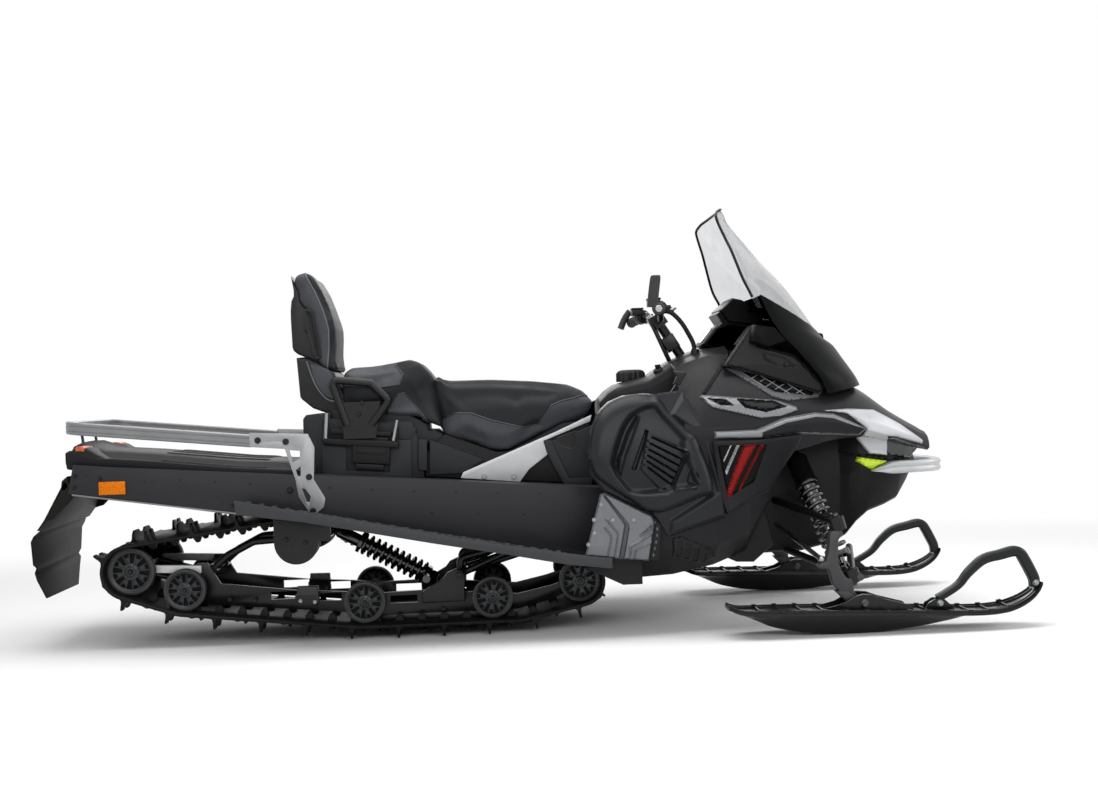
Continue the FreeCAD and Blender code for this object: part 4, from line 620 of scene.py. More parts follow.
def mirrored_ring(half, x):
    """A closed ring from its right half, listed from the bottom edge to the crest, as widths and heights."""
    return [Vector((x, -y, z)) for y, z in half] + [Vector((x, y, z)) for y, z in reversed(half[:-1])]


def hood_shape():
    rows = []
    for (x, side, shoulder, roof, crest), low, low_width in zip(hood_table, hood_lows, hood_bottom_widths):
        corners = [(0.0, low), (low_width, low), side, shoulder, roof, (0.0, crest)]
        half = []
        for (y1, z1), (y2, z2) in zip(corners, corners[1:]):
            half.append((y1, z1))
            run = math.hypot(y2 - y1, z2 - z1)
            lift = hood_crown if z1 > low or z2 > low else 0.0
            half.append(((y1 + y2) / 2 + lift * (z2 - z1) / run, (z1 + z2) / 2 + lift * (y1 - y2) / run))
        half.append(corners[-1])
        rows.append([Vector((x, y, z)) for y, z in half])
    columns = [curve_through([row[index] for row in rows], hood_steps) for index in range(len(rows[0]))]
    rings = []
    for index in range(len(columns[0])):
        half = [(column[index].y, column[index].z) for column in columns]
        rings.append(mirrored_ring(half, columns[0][index].x))
    return loft(rings)


hood_plastic = moulded("hood_plastic", hood_colour, 0.38, grain=(0.0007, 0.00004), dust=0.01,
                       Specular_IOR_Level=0.13)
hood = eased(made("hood_shell", hood_shape()), edge_width, segments=2, corner=14)
fitted(hood, hood_plastic, stands_for=["hood"])

# The lower cowl: the belly moulding round the engine, with four slanted vent ribs behind the foot guard.
# The two halves meet under the machine, and the nose pan closes them in front.
lower_edge = 0.006
belly_vent = [(671.8, 538), (681, 536), (711.6, 548.3), (716, 558), (707, 566), (672, 557.5)]
belly_rib_wide = (4.5, 0.6)
belly_rib_dent = (0.012, 0.005)
belly_vent_rise = (0.004, 0.006)
belly_ribs = [((678, 541), (675.5, 556)), ((686.5, 543.5), (684, 558.5)), ((695, 547), (692.5, 560.5)),
              ((703, 551.5), (700.5, 562))]
cowl_lower = rounded("lower_cowl", lower_edge, hood_plastic, corner=12)

# Trim on the hood: the shroud, ledges, framed vents, meshed triangle, ribs, belly vents and plain stripes.
# Each is a separate moulding or foil laid on the hood, so its outline is set on the hood's own surface.
ledge_outline = [(714, 431.5), (756.5, 429.6), (783, 418), (814, 412.4), (833, 413.5), (866.5, 428),
                 (858, 435.5), (800, 434), (759.4, 439.4), (714.4, 439.4)]
ledge_face_outline = [(759.4, 431), (785, 420.5), (815, 414.5), (833, 416), (866, 428), (857.6, 435),
                      (800, 433.4), (759.8, 438.8)]
vent_outline = [(699.1, 397), (702, 394.8), (775.7, 399.9), (796.7, 406.6), (797.7, 410.4), (781.4, 416.2),
                (760.4, 418.1), (712.5, 407.6)]
vent_holes = [[(705.8, 398), (725, 399), (734.5, 405.7), (721.1, 405.7)],
              [(735.5, 398.4), (773.7, 400.6), (788, 406.6), (766.1, 412.4), (744.8, 408)]]
mesh_outline = [(725, 368), (735.5, 366), (822.5, 391), (818, 397), (789, 401), (773, 397.5)]
mesh_hole = [(738.3, 370.3), (760.4, 375), (815, 392.4), (812, 395.5), (775.7, 392.3), (752.7, 380.4)]
rib_outline = [(751, 325.3), (754.5, 326), (705, 394), (701.5, 393.4)]
stripe_block = [(717.5, 445.4), (768, 444.4), (754.6, 481.5), (728, 498)]
stripe_bars = {
    "red_foil": [[(744, 445), (757, 444.7), (731.5, 495.8), (728, 498), (727, 491)],
                 [(760.5, 444.6), (764.5, 444.5), (741, 490), (737.5, 492.2)]],
    "pale_foil": [[(736.5, 445.2), (740, 445.1), (726.4, 476), (725, 471)],
                  [(730, 445.3), (732, 445.3), (723.9, 463), (723.1, 460)]],
}
foil_colours = {"pale_foil": (176, 176, 178), "red_foil": (134, 18, 14)}
ground_colour = (6, 6, 7)
foil_cell = 0.0035
panel_cell = 0.003
trim_rise = 0.006
ledge_rise = 0.014
vent_depth = 0.016
trim_skirt = 0.012
trim_side_y = -0.36
mesh_side_y = -0.30
rib_side_y = -0.25
foil_side_y = -0.38
panel_side_y = -0.39
trim_shoulder = 0.004
frame_shoulder = 0.005
ledge_shoulder = 0.012
ledge_face = (0.015, 0.010)
vent_slope = 0.003
floor_rise = 0.0008
floor_cell = 0.006
hood_rib_rise = 0.008
foil_shoulder = 0.0005
foil_skirt = 0.001
bar_rise = 0.00252
mesh_reach = 60.0
mesh_stride = 3.0
mesh_overlap = 0.5
foil_rise = 0.0014
trim_grey = (120, 122, 125)
mesh_wire = 0.0013
mesh_depth = -0.0022
mesh_grey = (150, 151, 153)
frame_grey = (84, 86, 88)
mesh_slope = 0.62
mesh_step = 8.5
mesh_frame = (724.0, 824.0, 362.0, 404.0)


def seen_on(pixels, surface, spare_y):
    """The X and Z of the surface's points that the photo shows at the pixels, or of the plane at spare_y."""
    found = []
    for across_px, down_px in pixels:
        aim = Vector(((across_px - photo_width / 2) / focal_pixels, (photo_height / 2 - down_px)
                      / focal_pixels, -1.0))
        aim = camera.matrix_world.to_3x3() @ aim
        hit = surface.ray_cast(camera_place, aim)[0] if surface else None
        spot = hit or camera_place + aim * ((spare_y - camera_place.y) / aim.y)
        found.append((spot.x, spot.z))
    return found


def inside_depth(points, polygon):
    """How far each X and Z point lies inside a polygon, or, below zero, outside it."""
    points = np.asarray(points, dtype=float)
    nearest = np.full(len(points), 1e9)
    crossings = np.zeros(len(points), dtype=int)
    for (x1, z1), (x2, z2) in zip(polygon, polygon[1:] + polygon[:1]):
        edge = np.array([x2 - x1, z2 - z1])
        offset = points - np.array([x1, z1])
        share = np.clip(offset @ edge / (edge @ edge + 1e-18), 0.0, 1.0)
        nearest = np.minimum(nearest, np.linalg.norm(offset - share[:, None] * edge, axis=1))
        spans = (z1 > points[:, 1]) != (z2 > points[:, 1])
        reach = (x2 - x1) * (points[:, 1] - z1) / (z2 - z1 if z2 != z1 else 1e-18) + x1
        crossings += spans & (points[:, 0] < reach)
    return np.where(crossings % 2 == 1, nearest, -nearest)


def raised(points, polygon, rise, shoulder, round_over=False):
    """A plateau over a polygon whose sides climb inwards over the shoulder's width."""
    share = np.clip(inside_depth(points, polygon) / shoulder, 0.0, 1.0)
    if round_over:
        return rise * np.sqrt(1.0 - (1.0 - share) ** 2)
    return rise * share * share * (3.0 - 2.0 * share)


def cut_along(polygon, axis, limit, side):
    """The part of a polygon beyond a limit on one axis, on the side given by plus or minus one."""
    kept = []
    for a, b in zip(polygon, polygon[1:] + polygon[:1]):
        a_in, b_in = (a[axis] - limit) * side >= 0, (b[axis] - limit) * side >= 0
        if a_in:
            kept.append(a)
        if a_in != b_in:
            share = (limit - a[axis]) / (b[axis] - a[axis])
            kept.append(tuple(p + (q - p) * share for p, q in zip(a, b)))
    return kept


def grid_over(outline, cell, holes=()):
    """Small square faces that fill an outline, cut along its edge, as X and Z points and faces."""
    spots, faces, index_of = [], [], {}

    def spot_index(point):
        key = (round(point[0], 6), round(point[1], 6))
        if key not in index_of:
            index_of[key] = len(spots)
            spots.append(key)
        return index_of[key]

    xs = np.arange(min(p[0] for p in outline) - cell / 3, max(p[0] for p in outline) + cell, cell)
    zs = np.arange(min(p[1] for p in outline) - cell / 3, max(p[1] for p in outline) + cell, cell)
    middles = [(x + cell / 2, z + cell / 2) for x in xs for z in zs]
    depths = inside_depth(middles, outline)
    blocked = np.full(len(middles), False)
    for hole in holes:
        blocked |= inside_depth(middles, hole) > 0
    for (x, z), depth, shut in zip(middles, depths, blocked):
        if depth < -cell or shut:
            continue
        x1, x2, z1, z2 = x - cell / 2, x + cell / 2, z - cell / 2, z + cell / 2
        square = [(x1, z1), (x2, z1), (x2, z2), (x1, z2)]
        if depth < cell:
            square = list(outline)
            for axis, limit, side in ((0, x1, 1), (0, x2, -1), (1, z1, 1), (1, z2, -1)):
                square = cut_along(square, axis, limit, side) if square else square
        face = [spot_index(p) for p in square]
        face = [i for n, i in enumerate(face) if i != face[n - 1]]
        if len(set(face)) > 2 and len(set(face)) == len(face):
            faces.append(face)
    return spots, faces


def sheet_shape(outline, cell, depth_at, height_at, skirt, holes=()):
    """A pressed or moulded sheet on the right side: its Y is the depth less the height; its rim turns in."""
    spots, faces = grid_over(outline, cell, holes)
    flat = np.array(spots)
    ys = depth_at(flat) - height_at(flat)
    points = [Vector((x, y, z)) for (x, z), y in zip(spots, ys)]
    uses = {}
    for face in faces:
        for a, b in zip(face, face[1:] + face[:1]):
            uses[(a, b)] = True
    rim = [(a, b) for a, b in uses if (b, a) not in uses]
    lower = {}
    for a, b in rim:
        for end in (a, b):
            if end not in lower:
                lower[end] = len(points)
                points.append(points[end] + Vector((0, skirt, 0)))
    faces = faces + [[b, a, lower[a], lower[b]] for a, b in rim]
    return points, faces


def both_sides(shape):
    """A shape and its mirror image across the middle plane."""
    points, faces = shape
    return gather([shape, ([Vector((p[0], -p[1], p[2])) for p in points], [face[::-1] for face in faces])])


def surface_of(*things):
    """The surface of several pieces, for finding the points that lie on it."""
    shape = bmesh.new()
    for thing in things:
        shape.from_mesh(thing.data)
    surface = BVHTree.FromBMesh(shape)
    shape.free()
    return surface


def depth_on(surface, spare_y):
    """Gives the Y of the surface's right side at X and Z points, or the nearest Y where none lies behind."""
    def depth_at(spots):
        found = []
        for x, z in spots:
            hit = surface.ray_cast(Vector((x, -1.0, z)), Vector((0, 1, 0)))[0]
            hit = hit or surface.find_nearest(Vector((x, spare_y, z)))[0]
            found.append(hit.y)
        return np.array(found)
    return depth_at


def tube(points, radius, sides=8, closed=False):
    """A round tube through points."""
    rings = []
    count = len(points)
    last_side = None
    for index, point in enumerate(points):
        ahead_point = points[(index + 1) % count] if closed else points[min(index + 1, count - 1)]
        back_point = points[index - 1] if closed or index else points[0]
        along = (ahead_point - back_point).normalized()
        side = last_side - along * last_side.dot(along) if last_side else along.orthogonal()
        side.normalize()
        last_side = side
        up = along.cross(side)
        rings.append([point + (side * math.cos(2 * math.pi * n / sides) + up
                               * math.sin(2 * math.pi * n / sides)) * radius for n in range(sides)])
    return loft(rings, ends=not closed, loop=closed)


def laid_on(name, pixels, surface, material, slot, rise, shoulder=trim_shoulder, spare_y=mesh_side_y,
            cell=panel_cell, dents=(), holes=(), skirt=trim_skirt, stands_for=(), corner=30,
            body="chassis"):
    """A moulding laid on both sides of a surface; dents are pixel outlines with their depth and shoulder."""
    outline = seen_on(pixels, surface, spare_y)
    hollows = [(seen_on(dent, surface, spare_y), depth, slope) for dent, depth, slope in dents]
    openings = [seen_on(hole, surface, spare_y) for hole in holes]

    def height_at(spots):
        height = raised(spots, outline, rise, shoulder, round_over=True)
        for hollow, depth, slope in hollows:
            height = height - raised(spots, hollow, depth, slope)
        return height

    shape = both_sides(sheet_shape(outline, cell, depth_on(surface, spare_y), height_at, skirt, openings))
    return piece(name, shape, material, corner=corner, body=body, stands_for=stands_for)


body_surface = surface_of(hood, cowl_lower)
trim_plastic = moulded("trim_plastic", trim_grey, 0.36, grain=(0.0006, 0.00002), Metallic=0.35)
dark_plastic = moulded("dark_plastic", (23, 23, 25), 0.42, grain=(0.0008, 0.00008), dust=0.01,
                       Specular_IOR_Level=0.18)
shroud_outline = [(712, 441), (759.4, 439.4), (800, 434.5), (797, 446), (769.5, 489.6), (741, 506),
                  (726.5, 513), (721.5, 500), (716, 470)]
shroud_cell = 0.006
shroud_skirt = 0.030
shroud_stamp = (0.006, 0.008)
shroud_lift_share = 6.0


def settled_depth(surface, outline, spare_y):
    """A gently curved sheet that follows the body under an outline, and stands clear of its steps."""
    low, high = np.min(outline, axis=0), np.max(outline, axis=0)
    spots = [(x, z) for x in np.arange(low[0], high[0], shroud_cell * 2)
             for z in np.arange(low[1], high[1], shroud_cell * 2)]
    spots = np.array([spot for spot, depth in zip(spots, inside_depth(spots, outline)) if depth > 0])

    def terms(places):
        x, z = np.asarray(places)[:, 0], np.asarray(places)[:, 1]
        return np.stack([np.ones(len(x)), x, z, x * x, x * z, z * z], axis=1)
    depths = np.array(depth_on(surface, spare_y)([tuple(spot) for spot in spots]))
    shape = np.linalg.lstsq(terms(spots), depths, rcond=None)[0]
    lift = np.percentile(depths - terms(spots) @ shape, shroud_lift_share)
    return lambda places: terms(places) @ shape + lift


shroud_flat = seen_on(shroud_outline, body_surface, trim_side_y)
shroud_shape = both_sides(sheet_shape(shroud_flat, shroud_cell,
                                      settled_depth(body_surface, shroud_flat, trim_side_y),
                                      lambda spots: raised(spots, shroud_flat, *shroud_stamp),
                                      shroud_skirt))
shrouds = piece("body_shrouds", shroud_shape, hood_plastic, corner=30)
shroud_surface = surface_of(shrouds)
laid_on("hood_ledges", ledge_outline, body_surface, trim_plastic, "silver_plastic", ledge_rise,
        ledge_shoulder, trim_side_y)
laid_on("hood_ledge_sides", ledge_face_outline, body_surface, hood_plastic, "body_plastic", *ledge_face,
        trim_side_y)
laid_on("hood_vent_frames", vent_outline, body_surface, trim_plastic, "silver_plastic", trim_rise,
        frame_shoulder, trim_side_y, dents=[(hole, vent_depth, vent_slope) for hole in vent_holes],
        stands_for=["vent_frames"])
for index, hole in enumerate(vent_holes):
    laid_on("hood_vent_floor_%d" % index, hole, body_surface, dark_plastic, "black_plastic", floor_rise,
            trim_shoulder, trim_side_y, cell=floor_cell)
frame_plastic = moulded("frame_plastic", frame_grey, 0.4, grain=(0.0007, 0.00003), Specular_IOR_Level=0.3)
mesh_paint = moulded("mesh_paint", mesh_grey, 0.4, grain=(0.0007, 0.00001))
laid_on("mesh_vent_frames", mesh_outline, body_surface, frame_plastic, "silver_plastic", trim_rise,
        frame_shoulder, mesh_side_y, dents=[(mesh_hole, vent_depth, vent_slope)])
laid_on("mesh_vent_floors", mesh_hole, body_surface, dark_plastic, "black_plastic", floor_rise,
        trim_shoulder, mesh_side_y, cell=floor_cell)
mesh_wires = []
for lean in (-mesh_slope, mesh_slope):
    for row in np.arange(mesh_frame[2] - mesh_reach, mesh_frame[3] + mesh_reach, mesh_step):
        line = [(across_px, row + lean * (across_px - mesh_frame[0]))
                for across_px in np.arange(mesh_frame[0], mesh_frame[1], mesh_stride)]
        inside = inside_depth(line, mesh_hole) > -mesh_overlap
        kept = [pixel for pixel, within in zip(line, inside) if within]
        if len(kept) > 2:
            flat = seen_on(kept, body_surface, mesh_side_y)
            depths = depth_on(body_surface, mesh_side_y)(flat)
            mesh_wires.append(tube([Vector((x, y + mesh_depth, z)) for (x, z), y in zip(flat, depths)],
                                   mesh_wire, sides=6))
piece("vent_meshes", both_sides(gather(mesh_wires)), mesh_paint)
laid_on("hood_ribs", rib_outline, body_surface, dark_plastic, "black_plastic", hood_rib_rise, trim_shoulder,
        rib_side_y)
laid_on("side_graphic", stripe_block, shroud_surface, moulded("foil_ground", ground_colour, 0.3,
                                                              grain=(0.0007, 0.00002),
                                                              Specular_IOR_Level=0.1), "body_plastic",
        foil_rise, foil_shoulder, foil_side_y, cell=foil_cell, skirt=foil_skirt)
for foil, bars in stripe_bars.items():
    foil_film = moulded(foil, foil_colours[foil], 0.28, grain=(0.0007, 0.00002), Specular_IOR_Level=0.12)
    for index, outline in enumerate(bars):
        laid_on("%s_%d" % (foil, index), outline, shroud_surface, foil_film, "body_plastic", bar_rise,
                foil_shoulder, foil_side_y, cell=foil_cell, skirt=foil_skirt)

across_rib, down_rib = belly_rib_wide
laid_on("belly_vents", belly_vent, body_surface, hood_plastic, "body_plastic", *belly_vent_rise,
        panel_side_y, dents=[([a, (a[0] + across_rib, a[1] + down_rib),
                               (b[0] + across_rib, b[1] + down_rib), b], *belly_rib_dent)
                             for a, b in belly_ribs])


# The nose: the belly that closes the body in front, a silver cowl over a dark lamp lens, a lime reflector.
# Cowl and lens are moulded plastic clipped to the hood; the reflector is a clear lime block on the belly.
cowl_outline = [(824.4, 410.4), (846.4, 408.5), (873.2, 409.5), (900, 423.8), (923, 440.1), (922, 443.9),
                (894.3, 436.3), (887.6, 436.3), (883.7, 440.1), (887.2, 455.4), (869.4, 453.5),
                (857, 438.2), (866.5, 428.6), (846.4, 413.3)]
cowl_fold = [(866.5, 428.6), (884, 440), (887, 455), (869.4, 453.5), (857, 438.2)]
lens_outline = [(884.7, 438.2), (894.3, 437.2), (918, 445.8), (911, 457.3), (887.6, 455)]
cowl_silver = (186, 188, 191)
lime_colour = (212, 246, 46)
cowl_plastic = moulded("cowl_plastic", cowl_silver, 0.28, grain=(0.0006, 0.00001), Metallic=0.1,
                       Coat_Weight=0.25, Coat_Roughness=0.15)
lens_plastic = moulded("lens_plastic", (16, 18, 20), 0.09, grain=(0.004, 0.00001), Coat_Weight=1.0,
                       Coat_Roughness=0.03)
lime_plastic = moulded("lime_plastic", lime_colour, 0.2, grain=(0.003, 0.00004))
belly_stations = [
    # x, lower and upper height, half width below and above
    (0.780, 0.215, 0.585, 0.125, 0.150), (0.930, 0.218, 0.600, 0.125, 0.152),
    (1.010, 0.236, 0.612, 0.125, 0.154), (1.060, 0.252, 0.616, 0.128, 0.160),
    (1.085, 0.270, 0.618, 0.136, 0.184), (1.118, 0.312, 0.618, 0.146, 0.208),
    (1.160, 0.348, 0.612, 0.150, 0.212), (1.215, 0.367, 0.600, 0.146, 0.208),
    (1.262, 0.388, 0.578, 0.136, 0.192), (1.296, 0.440, 0.556, 0.126, 0.170),
    (1.322, 0.484, 0.540, 0.112, 0.148)]
belly_waist_share = 0.62
belly_flat_share = 0.86
belly_neck_share = 0.94
belly_bend = (0.002, 0.012, 0.01)
nose_side_y = -0.20
cowl_side_y = -0.22
lime_rise = (0.005, 0.003)
lip_rise = (0.004, 0.003)
cowl_rise = (0.012, 0.012)
cowl_dent = (0.006, 0.012)
lens_rise = (0.004, 0.004)
belly_rings = []
for x, low, high, low_half, high_half in belly_stations:
    waist = low + (high - low) * belly_waist_share
    half = [(0.0, low), (low_half * belly_flat_share, low + belly_bend[0]), (low_half, low + belly_bend[1]),
            (high_half, waist), (high_half * belly_neck_share, high - belly_bend[2]),
            (high_half * belly_flat_share, high), (0.0, high)]
    belly_rings.append(mirrored_ring(half, x))
belly = piece("nose_belly", loft(belly_rings), dark_plastic, width=soft_edge, segments=2,
              corner=14, stands_for=["front_frame", "nose_pan"])
belly_surface = surface_of(belly)
lime_pixels = [(856.7, 456.6), (887.7, 460.8), (871.6, 470), (855.2, 461)]
laid_on("lime_reflectors", lime_pixels, belly_surface, lime_plastic, "lime_lens", *lime_rise, nose_side_y,
        stands_for=["marker_reflectors"])
lip_pixels = [(838, 449), (853, 453), (887, 456.5), (910, 457.5), (917, 460.5), (887, 460), (853, 456.5),
              (838, 452.5)]
laid_on("belly_lips", lip_pixels, belly_surface, hood_plastic, "body_plastic", *lip_rise, nose_side_y)
laid_on("headlight_cowls", cowl_outline, body_surface, cowl_plastic, "silver_plastic", *cowl_rise,
        cowl_side_y, dents=[(cowl_fold, *cowl_dent)], stands_for=["headlight_cowl"], corner=22)
laid_on("headlamp_lenses", lens_outline, body_surface, lens_plastic, "lamp_glass", *lens_rise, nose_side_y,
        stands_for=["headlamp_lens"])

# The side panel: one large moulding over the engine's side, domed at the rear with a deep louvred recess.
# It is a single sheet, pressed out by height, with its rim turned in behind the hood and the foot guard.
side_outline = [(589.2, 460), (589.2, 451.8), (591.5, 433.5), (598.4, 413.6), (610.6, 402), (625.9, 395.4),
                (644.3, 393.4), (662, 393.5), (685.6, 390), (711.6, 429.6), (722, 480), (727, 501),
                (728, 518), (668.8, 538), (660, 524), (653, 515), (605, 492), (591.5, 476)]
dome_outline = [(589.2, 460), (589.2, 451.8), (591.5, 433.5), (598.4, 413.6), (610.6, 402), (625.9, 395.4),
                (644.3, 393.4), (660, 396.5), (671, 412), (688, 429), (700, 441), (714, 489), (700, 498),
                (656.5, 513.1), (630, 500), (605, 484), (594, 474)]
recess_outline = [(668.8, 415.1), (685.6, 433.5), (688.5, 440), (686.4, 448.8), (694, 465.6),
                  (700.9, 482.5), (696, 489), (671.8, 492.5), (667.2, 495), (633.6, 496.5), (621.3, 487.5),
                  (610.6, 472), (608.8, 458), (620.3, 424.3), (635.6, 408), (656.5, 402.4)]
ridge_outline = [(638.5, 413), (642, 419), (628, 456), (622, 478), (615.5, 474), (617, 458), (627, 432)]
slot_outline = [(646.5, 429.5), (650, 431.5), (636.5, 471), (631.5, 470)]
pad_outline = [(647, 431.5), (688, 449.5), (671.5, 488.5), (660, 490.5), (640, 470)]
facet_outline = [(688.8, 448.5), (694, 465.6), (700.9, 482.5), (696.3, 489.5), (672.6, 492), (671.9, 488)]
dent_outline = [(690.5, 464), (698.5, 473), (699.8, 481), (695.5, 486.5), (686, 482)]
crease_outline = [(685.6, 390), (711.6, 429.6), (727, 501), (728, 518), (668.8, 538), (669.5, 520),
                  (716.2, 490.1), (699.4, 436.5), (669.5, 415.9)]
groove_starts = [(652.5, 437.5), (650.5, 443.5), (649, 449.5), (648, 455.5), (647.5, 461.5), (648, 467.5)]
groove_ends = [(685.6, 452.5), (682.2, 459.5), (679.4, 466.0), (676.8, 472.5), (674.4, 479.0),
               (671.5, 484.8)]
groove_half = 0.0034
hole_starts = [(646.5, 440.5), (645.4, 446.5), (644.2, 452.5), (643.2, 458.5), (642.6, 464.5)]
panel_y = -0.402
panel_top_y = -0.420
dome_stamp = (0.036, 0.050)
groove_dent = (0.013, 0.0028)
hole_run = (0.007, -0.003)
hole_half = 0.003
hole_dent = (0.005, 0.002)
lean_from = 0.52
lean_span = 0.26
lean_reach = 0.055
side_cell = 0.0026
side_skirt = 0.06
loop_steps = 6
side_colour = (29, 30, 34)


def smooth_loop(corners, steps=loop_steps):
    """A closed outline that runs smoothly through its corners."""
    ring = [Vector((across_px, down_px, 0)) for across_px, down_px in corners]
    line = curve_through(ring[-2:] + ring + ring[:2], steps)
    return [(point.x, point.y) for point in line[2 * steps:(len(ring) + 2) * steps]]


def strip(start, end, half):
    """A straight band of X and Z between two points, given its half width."""
    run = Vector((end[0] - start[0], end[1] - start[1]))
    side = Vector((-run.y, run.x)).normalized() * half
    tip = run.normalized() * half
    return [(start[0] + side.x, start[1] + side.y), (start[0] - tip.x, start[1] - tip.y),
            (start[0] - side.x, start[1] - side.y), (end[0] - side.x, end[1] - side.y),
            (end[0] + tip.x, end[1] + tip.y), (end[0] + side.x, end[1] + side.y)]


def at_panel(pixels):
    return seen_on(pixels, None, panel_top_y)


side_forms = [
    # outline, height above zero or depth below it, width of its slope
    (crease_outline, 0.012, 0.020), (smooth_loop(recess_outline), -0.030, 0.026),
    (ridge_outline, 0.024, 0.014),
    (pad_outline, 0.009, 0.007), (slot_outline, -0.016, 0.004), (facet_outline, 0.017, 0.010),
    (dent_outline, -0.008, 0.006)]


def side_height(spots):
    """The dome, then each form on it by its height, and the louvres and small holes cut into them."""
    height = raised(spots, at_panel(smooth_loop(dome_outline)), *dome_stamp, round_over=True)
    for outline, rise, slope in side_forms:
        height += raised(spots, at_panel(outline), rise, slope)
    for start, end in zip(at_panel(groove_starts), at_panel(groove_ends)):
        height -= raised(spots, strip(start, end, groove_half), *groove_dent)
    for start in at_panel(hole_starts):
        end = (start[0] + hole_run[0], start[1] + hole_run[1])
        height -= raised(spots, strip(start, end, hole_half), *hole_dent)
    return height


def side_depth(spots):
    """The base sheet leans in towards the top and the rear."""
    spots = np.asarray(spots)
    lean = np.clip((spots[:, 1] - lean_from) / lean_span, 0.0, 1.0) ** 2 * lean_reach
    return panel_y + lean


side_plastic = moulded("side_plastic", side_colour, 0.32, grain=(0.0007, 0.00003), Specular_IOR_Level=0.22)
side_sheet = both_sides(sheet_shape(at_panel(side_outline), side_cell, side_depth, side_height, side_skirt))
piece("side_panel_sheets", side_sheet, side_plastic, corner=42, stands_for=["side_panels"])

# The foot guard: a stamped aluminium plate before each running board, with L-shaped ribs and a dark band.
# It is held by bolts along its rear edge, and a dark perforated strip closes it against the body.
guard_outline = [(600.7, 494.7), (605.3, 493.2), (651.9, 516.1), (655, 522.3), (648.9, 560.5),
                 (585.4, 555.9)]
guard_strip_outline = [(652.5, 516.5), (661, 525), (659.5, 560.5), (649.5, 560.5), (655.4, 522.5)]
guard_band_outline = [(603, 496), (605.3, 494.7), (629, 523.8), (629.8, 528.4), (624.4, 559),
                      (618.3, 558.6), (624.4, 524.6)]
guard_ribs = [[(604.5, 526.8), (611.4, 536), (607.5, 557.4)], [(606, 519.2), (618.3, 533), (614.4, 557.8)],
              [(629.8, 559), (630.5, 546.7), (653.5, 533)], [(634.3, 559), (635.9, 549.8), (652, 542.1)],
              [(639.7, 534.5), (652, 523.8), (652.7, 528.4), (640.5, 535.6)]]
guard_bolts = [(601.4, 504.7), (594.2, 520), (594.5, 533), (588.4, 544.5), (612.9, 520), (633.6, 520)]
guard_holes = [(656.2, 522.6), (657.6, 529), (657.2, 535.5), (656.2, 542), (655, 548.5), (653.6, 555)]
guard_y = -0.424
guard_lean = 0.10
guard_lean_from = 0.30
guard_stamp = (0.004, 0.004)
guard_skirt = 0.008
guard_bolt_lift = 0.004
guard_bolt_radius = 0.0058
rib_slope = 0.003
rib_half = 0.0036
rib_rise = 0.0060
guard_grey = (103, 105, 109)
bolt_grey = (150, 152, 154)
band_grey = (62, 63, 66)
guard_cell = 0.0026
band_height = 0.0052
band_skirt = 0.004
flange_shares = [(0, 0), (1.25, 0), (1.15, 0.25), (0, 0.3)]
head_shares = [(0, 0), (1.0, 0), (1.0, 0.8), (0.85, 1.0), (0, 1.0)]
strip_cell = 0.0012
strip_height = 0.0015
strip_skirt = 0.02
hole_reach = (0.95, 1.9)
hole_angles = [math.radians(30 * step) for step in range(12)]


def at_guard(pixels):
    return seen_on(pixels, None, guard_y)


def guard_depth(spots):
    return guard_y + np.clip(np.asarray(spots)[:, 1] - guard_lean_from, 0.0, 1.0) * guard_lean


def guard_height(spots):
    height = raised(spots, at_guard(guard_outline), *guard_stamp)
    for rib in guard_ribs:
        line = at_guard(rib)
        ridges = [raised(spots, strip(a, b, rib_half), rib_rise, rib_slope) for a, b in zip(line, line[1:])]
        height += np.maximum.reduce(ridges)
    return height


def bolt(place, axis, radius):
    """A flanged hexagon bolt head on a face, pointing along the axis."""
    axis = Vector(axis)
    flange, head = [lathe([(radius * out, radius * along) for out, along in shares], place, axis,
                          steps=steps, closed=False)
                    for shares, steps in ((flange_shares, 20), (head_shares, 6))]
    return gather([flange, head])


def steel_group():
    """Bare or brushed metal: fine drawn lines, dull patches and a change of sheen."""
    tree, given, spot = shader_group("metal_skin", {"Colour": (0.6, 0.6, 0.6, 1.0), "Roughness": 0.35,
                                                    "Lines": 0.00002})
    drawn = shader_node(tree, "Mapping", {"Vector": spot, "Scale": (12.0, 700.0, 700.0)})
    lines = noise(tree, drawn.outputs[0], 1.0, 3.0)
    cloud = noise(tree, spot, 18.0, 5.0, {"Roughness": 0.6})
    colour, rough = patched(tree, given, cloud, (0.92, 1.05), (-0.06, 0.08))
    return closed_group(tree, colour, rough, bumped(tree, lines, given["Lines"]))


metal_skin = steel_group()
guard_metal = finish("guard_metal", metal_skin, guard_grey, roughness=0.42, lines=0.00003, Metallic=0.4)
bolt_steel = finish("bolt_steel", metal_skin, bolt_grey, roughness=0.3, lines=0.00001, Metallic=1.0)
guard_sheet = both_sides(sheet_shape(at_guard(guard_outline), guard_cell, guard_depth, guard_height,
                                     guard_skirt))
piece("foot_guard_plates", guard_sheet, guard_metal, corner=40, stands_for=["foot_guards"])
band_metal = finish("band_metal", metal_skin, band_grey, roughness=0.4, lines=0.00003, Metallic=0.3)
band_sheet = both_sides(sheet_shape(at_guard(guard_band_outline), guard_cell, guard_depth,
                                    lambda spots: np.full(len(spots), band_height), band_skirt))
piece("foot_guard_bands", band_sheet, band_metal)
hole_rings = [[(u + hole_reach[0] * math.cos(beta), v + hole_reach[1] * math.sin(beta))
               for beta in hole_angles] for u, v in guard_holes]
strip_sheet = both_sides(sheet_shape(at_guard(guard_strip_outline), strip_cell, guard_depth,
                                     lambda spots: np.full(len(spots), strip_height), strip_skirt,
                                     [at_guard(ring) for ring in hole_rings]))
piece("foot_guard_strips", strip_sheet, dark_plastic)
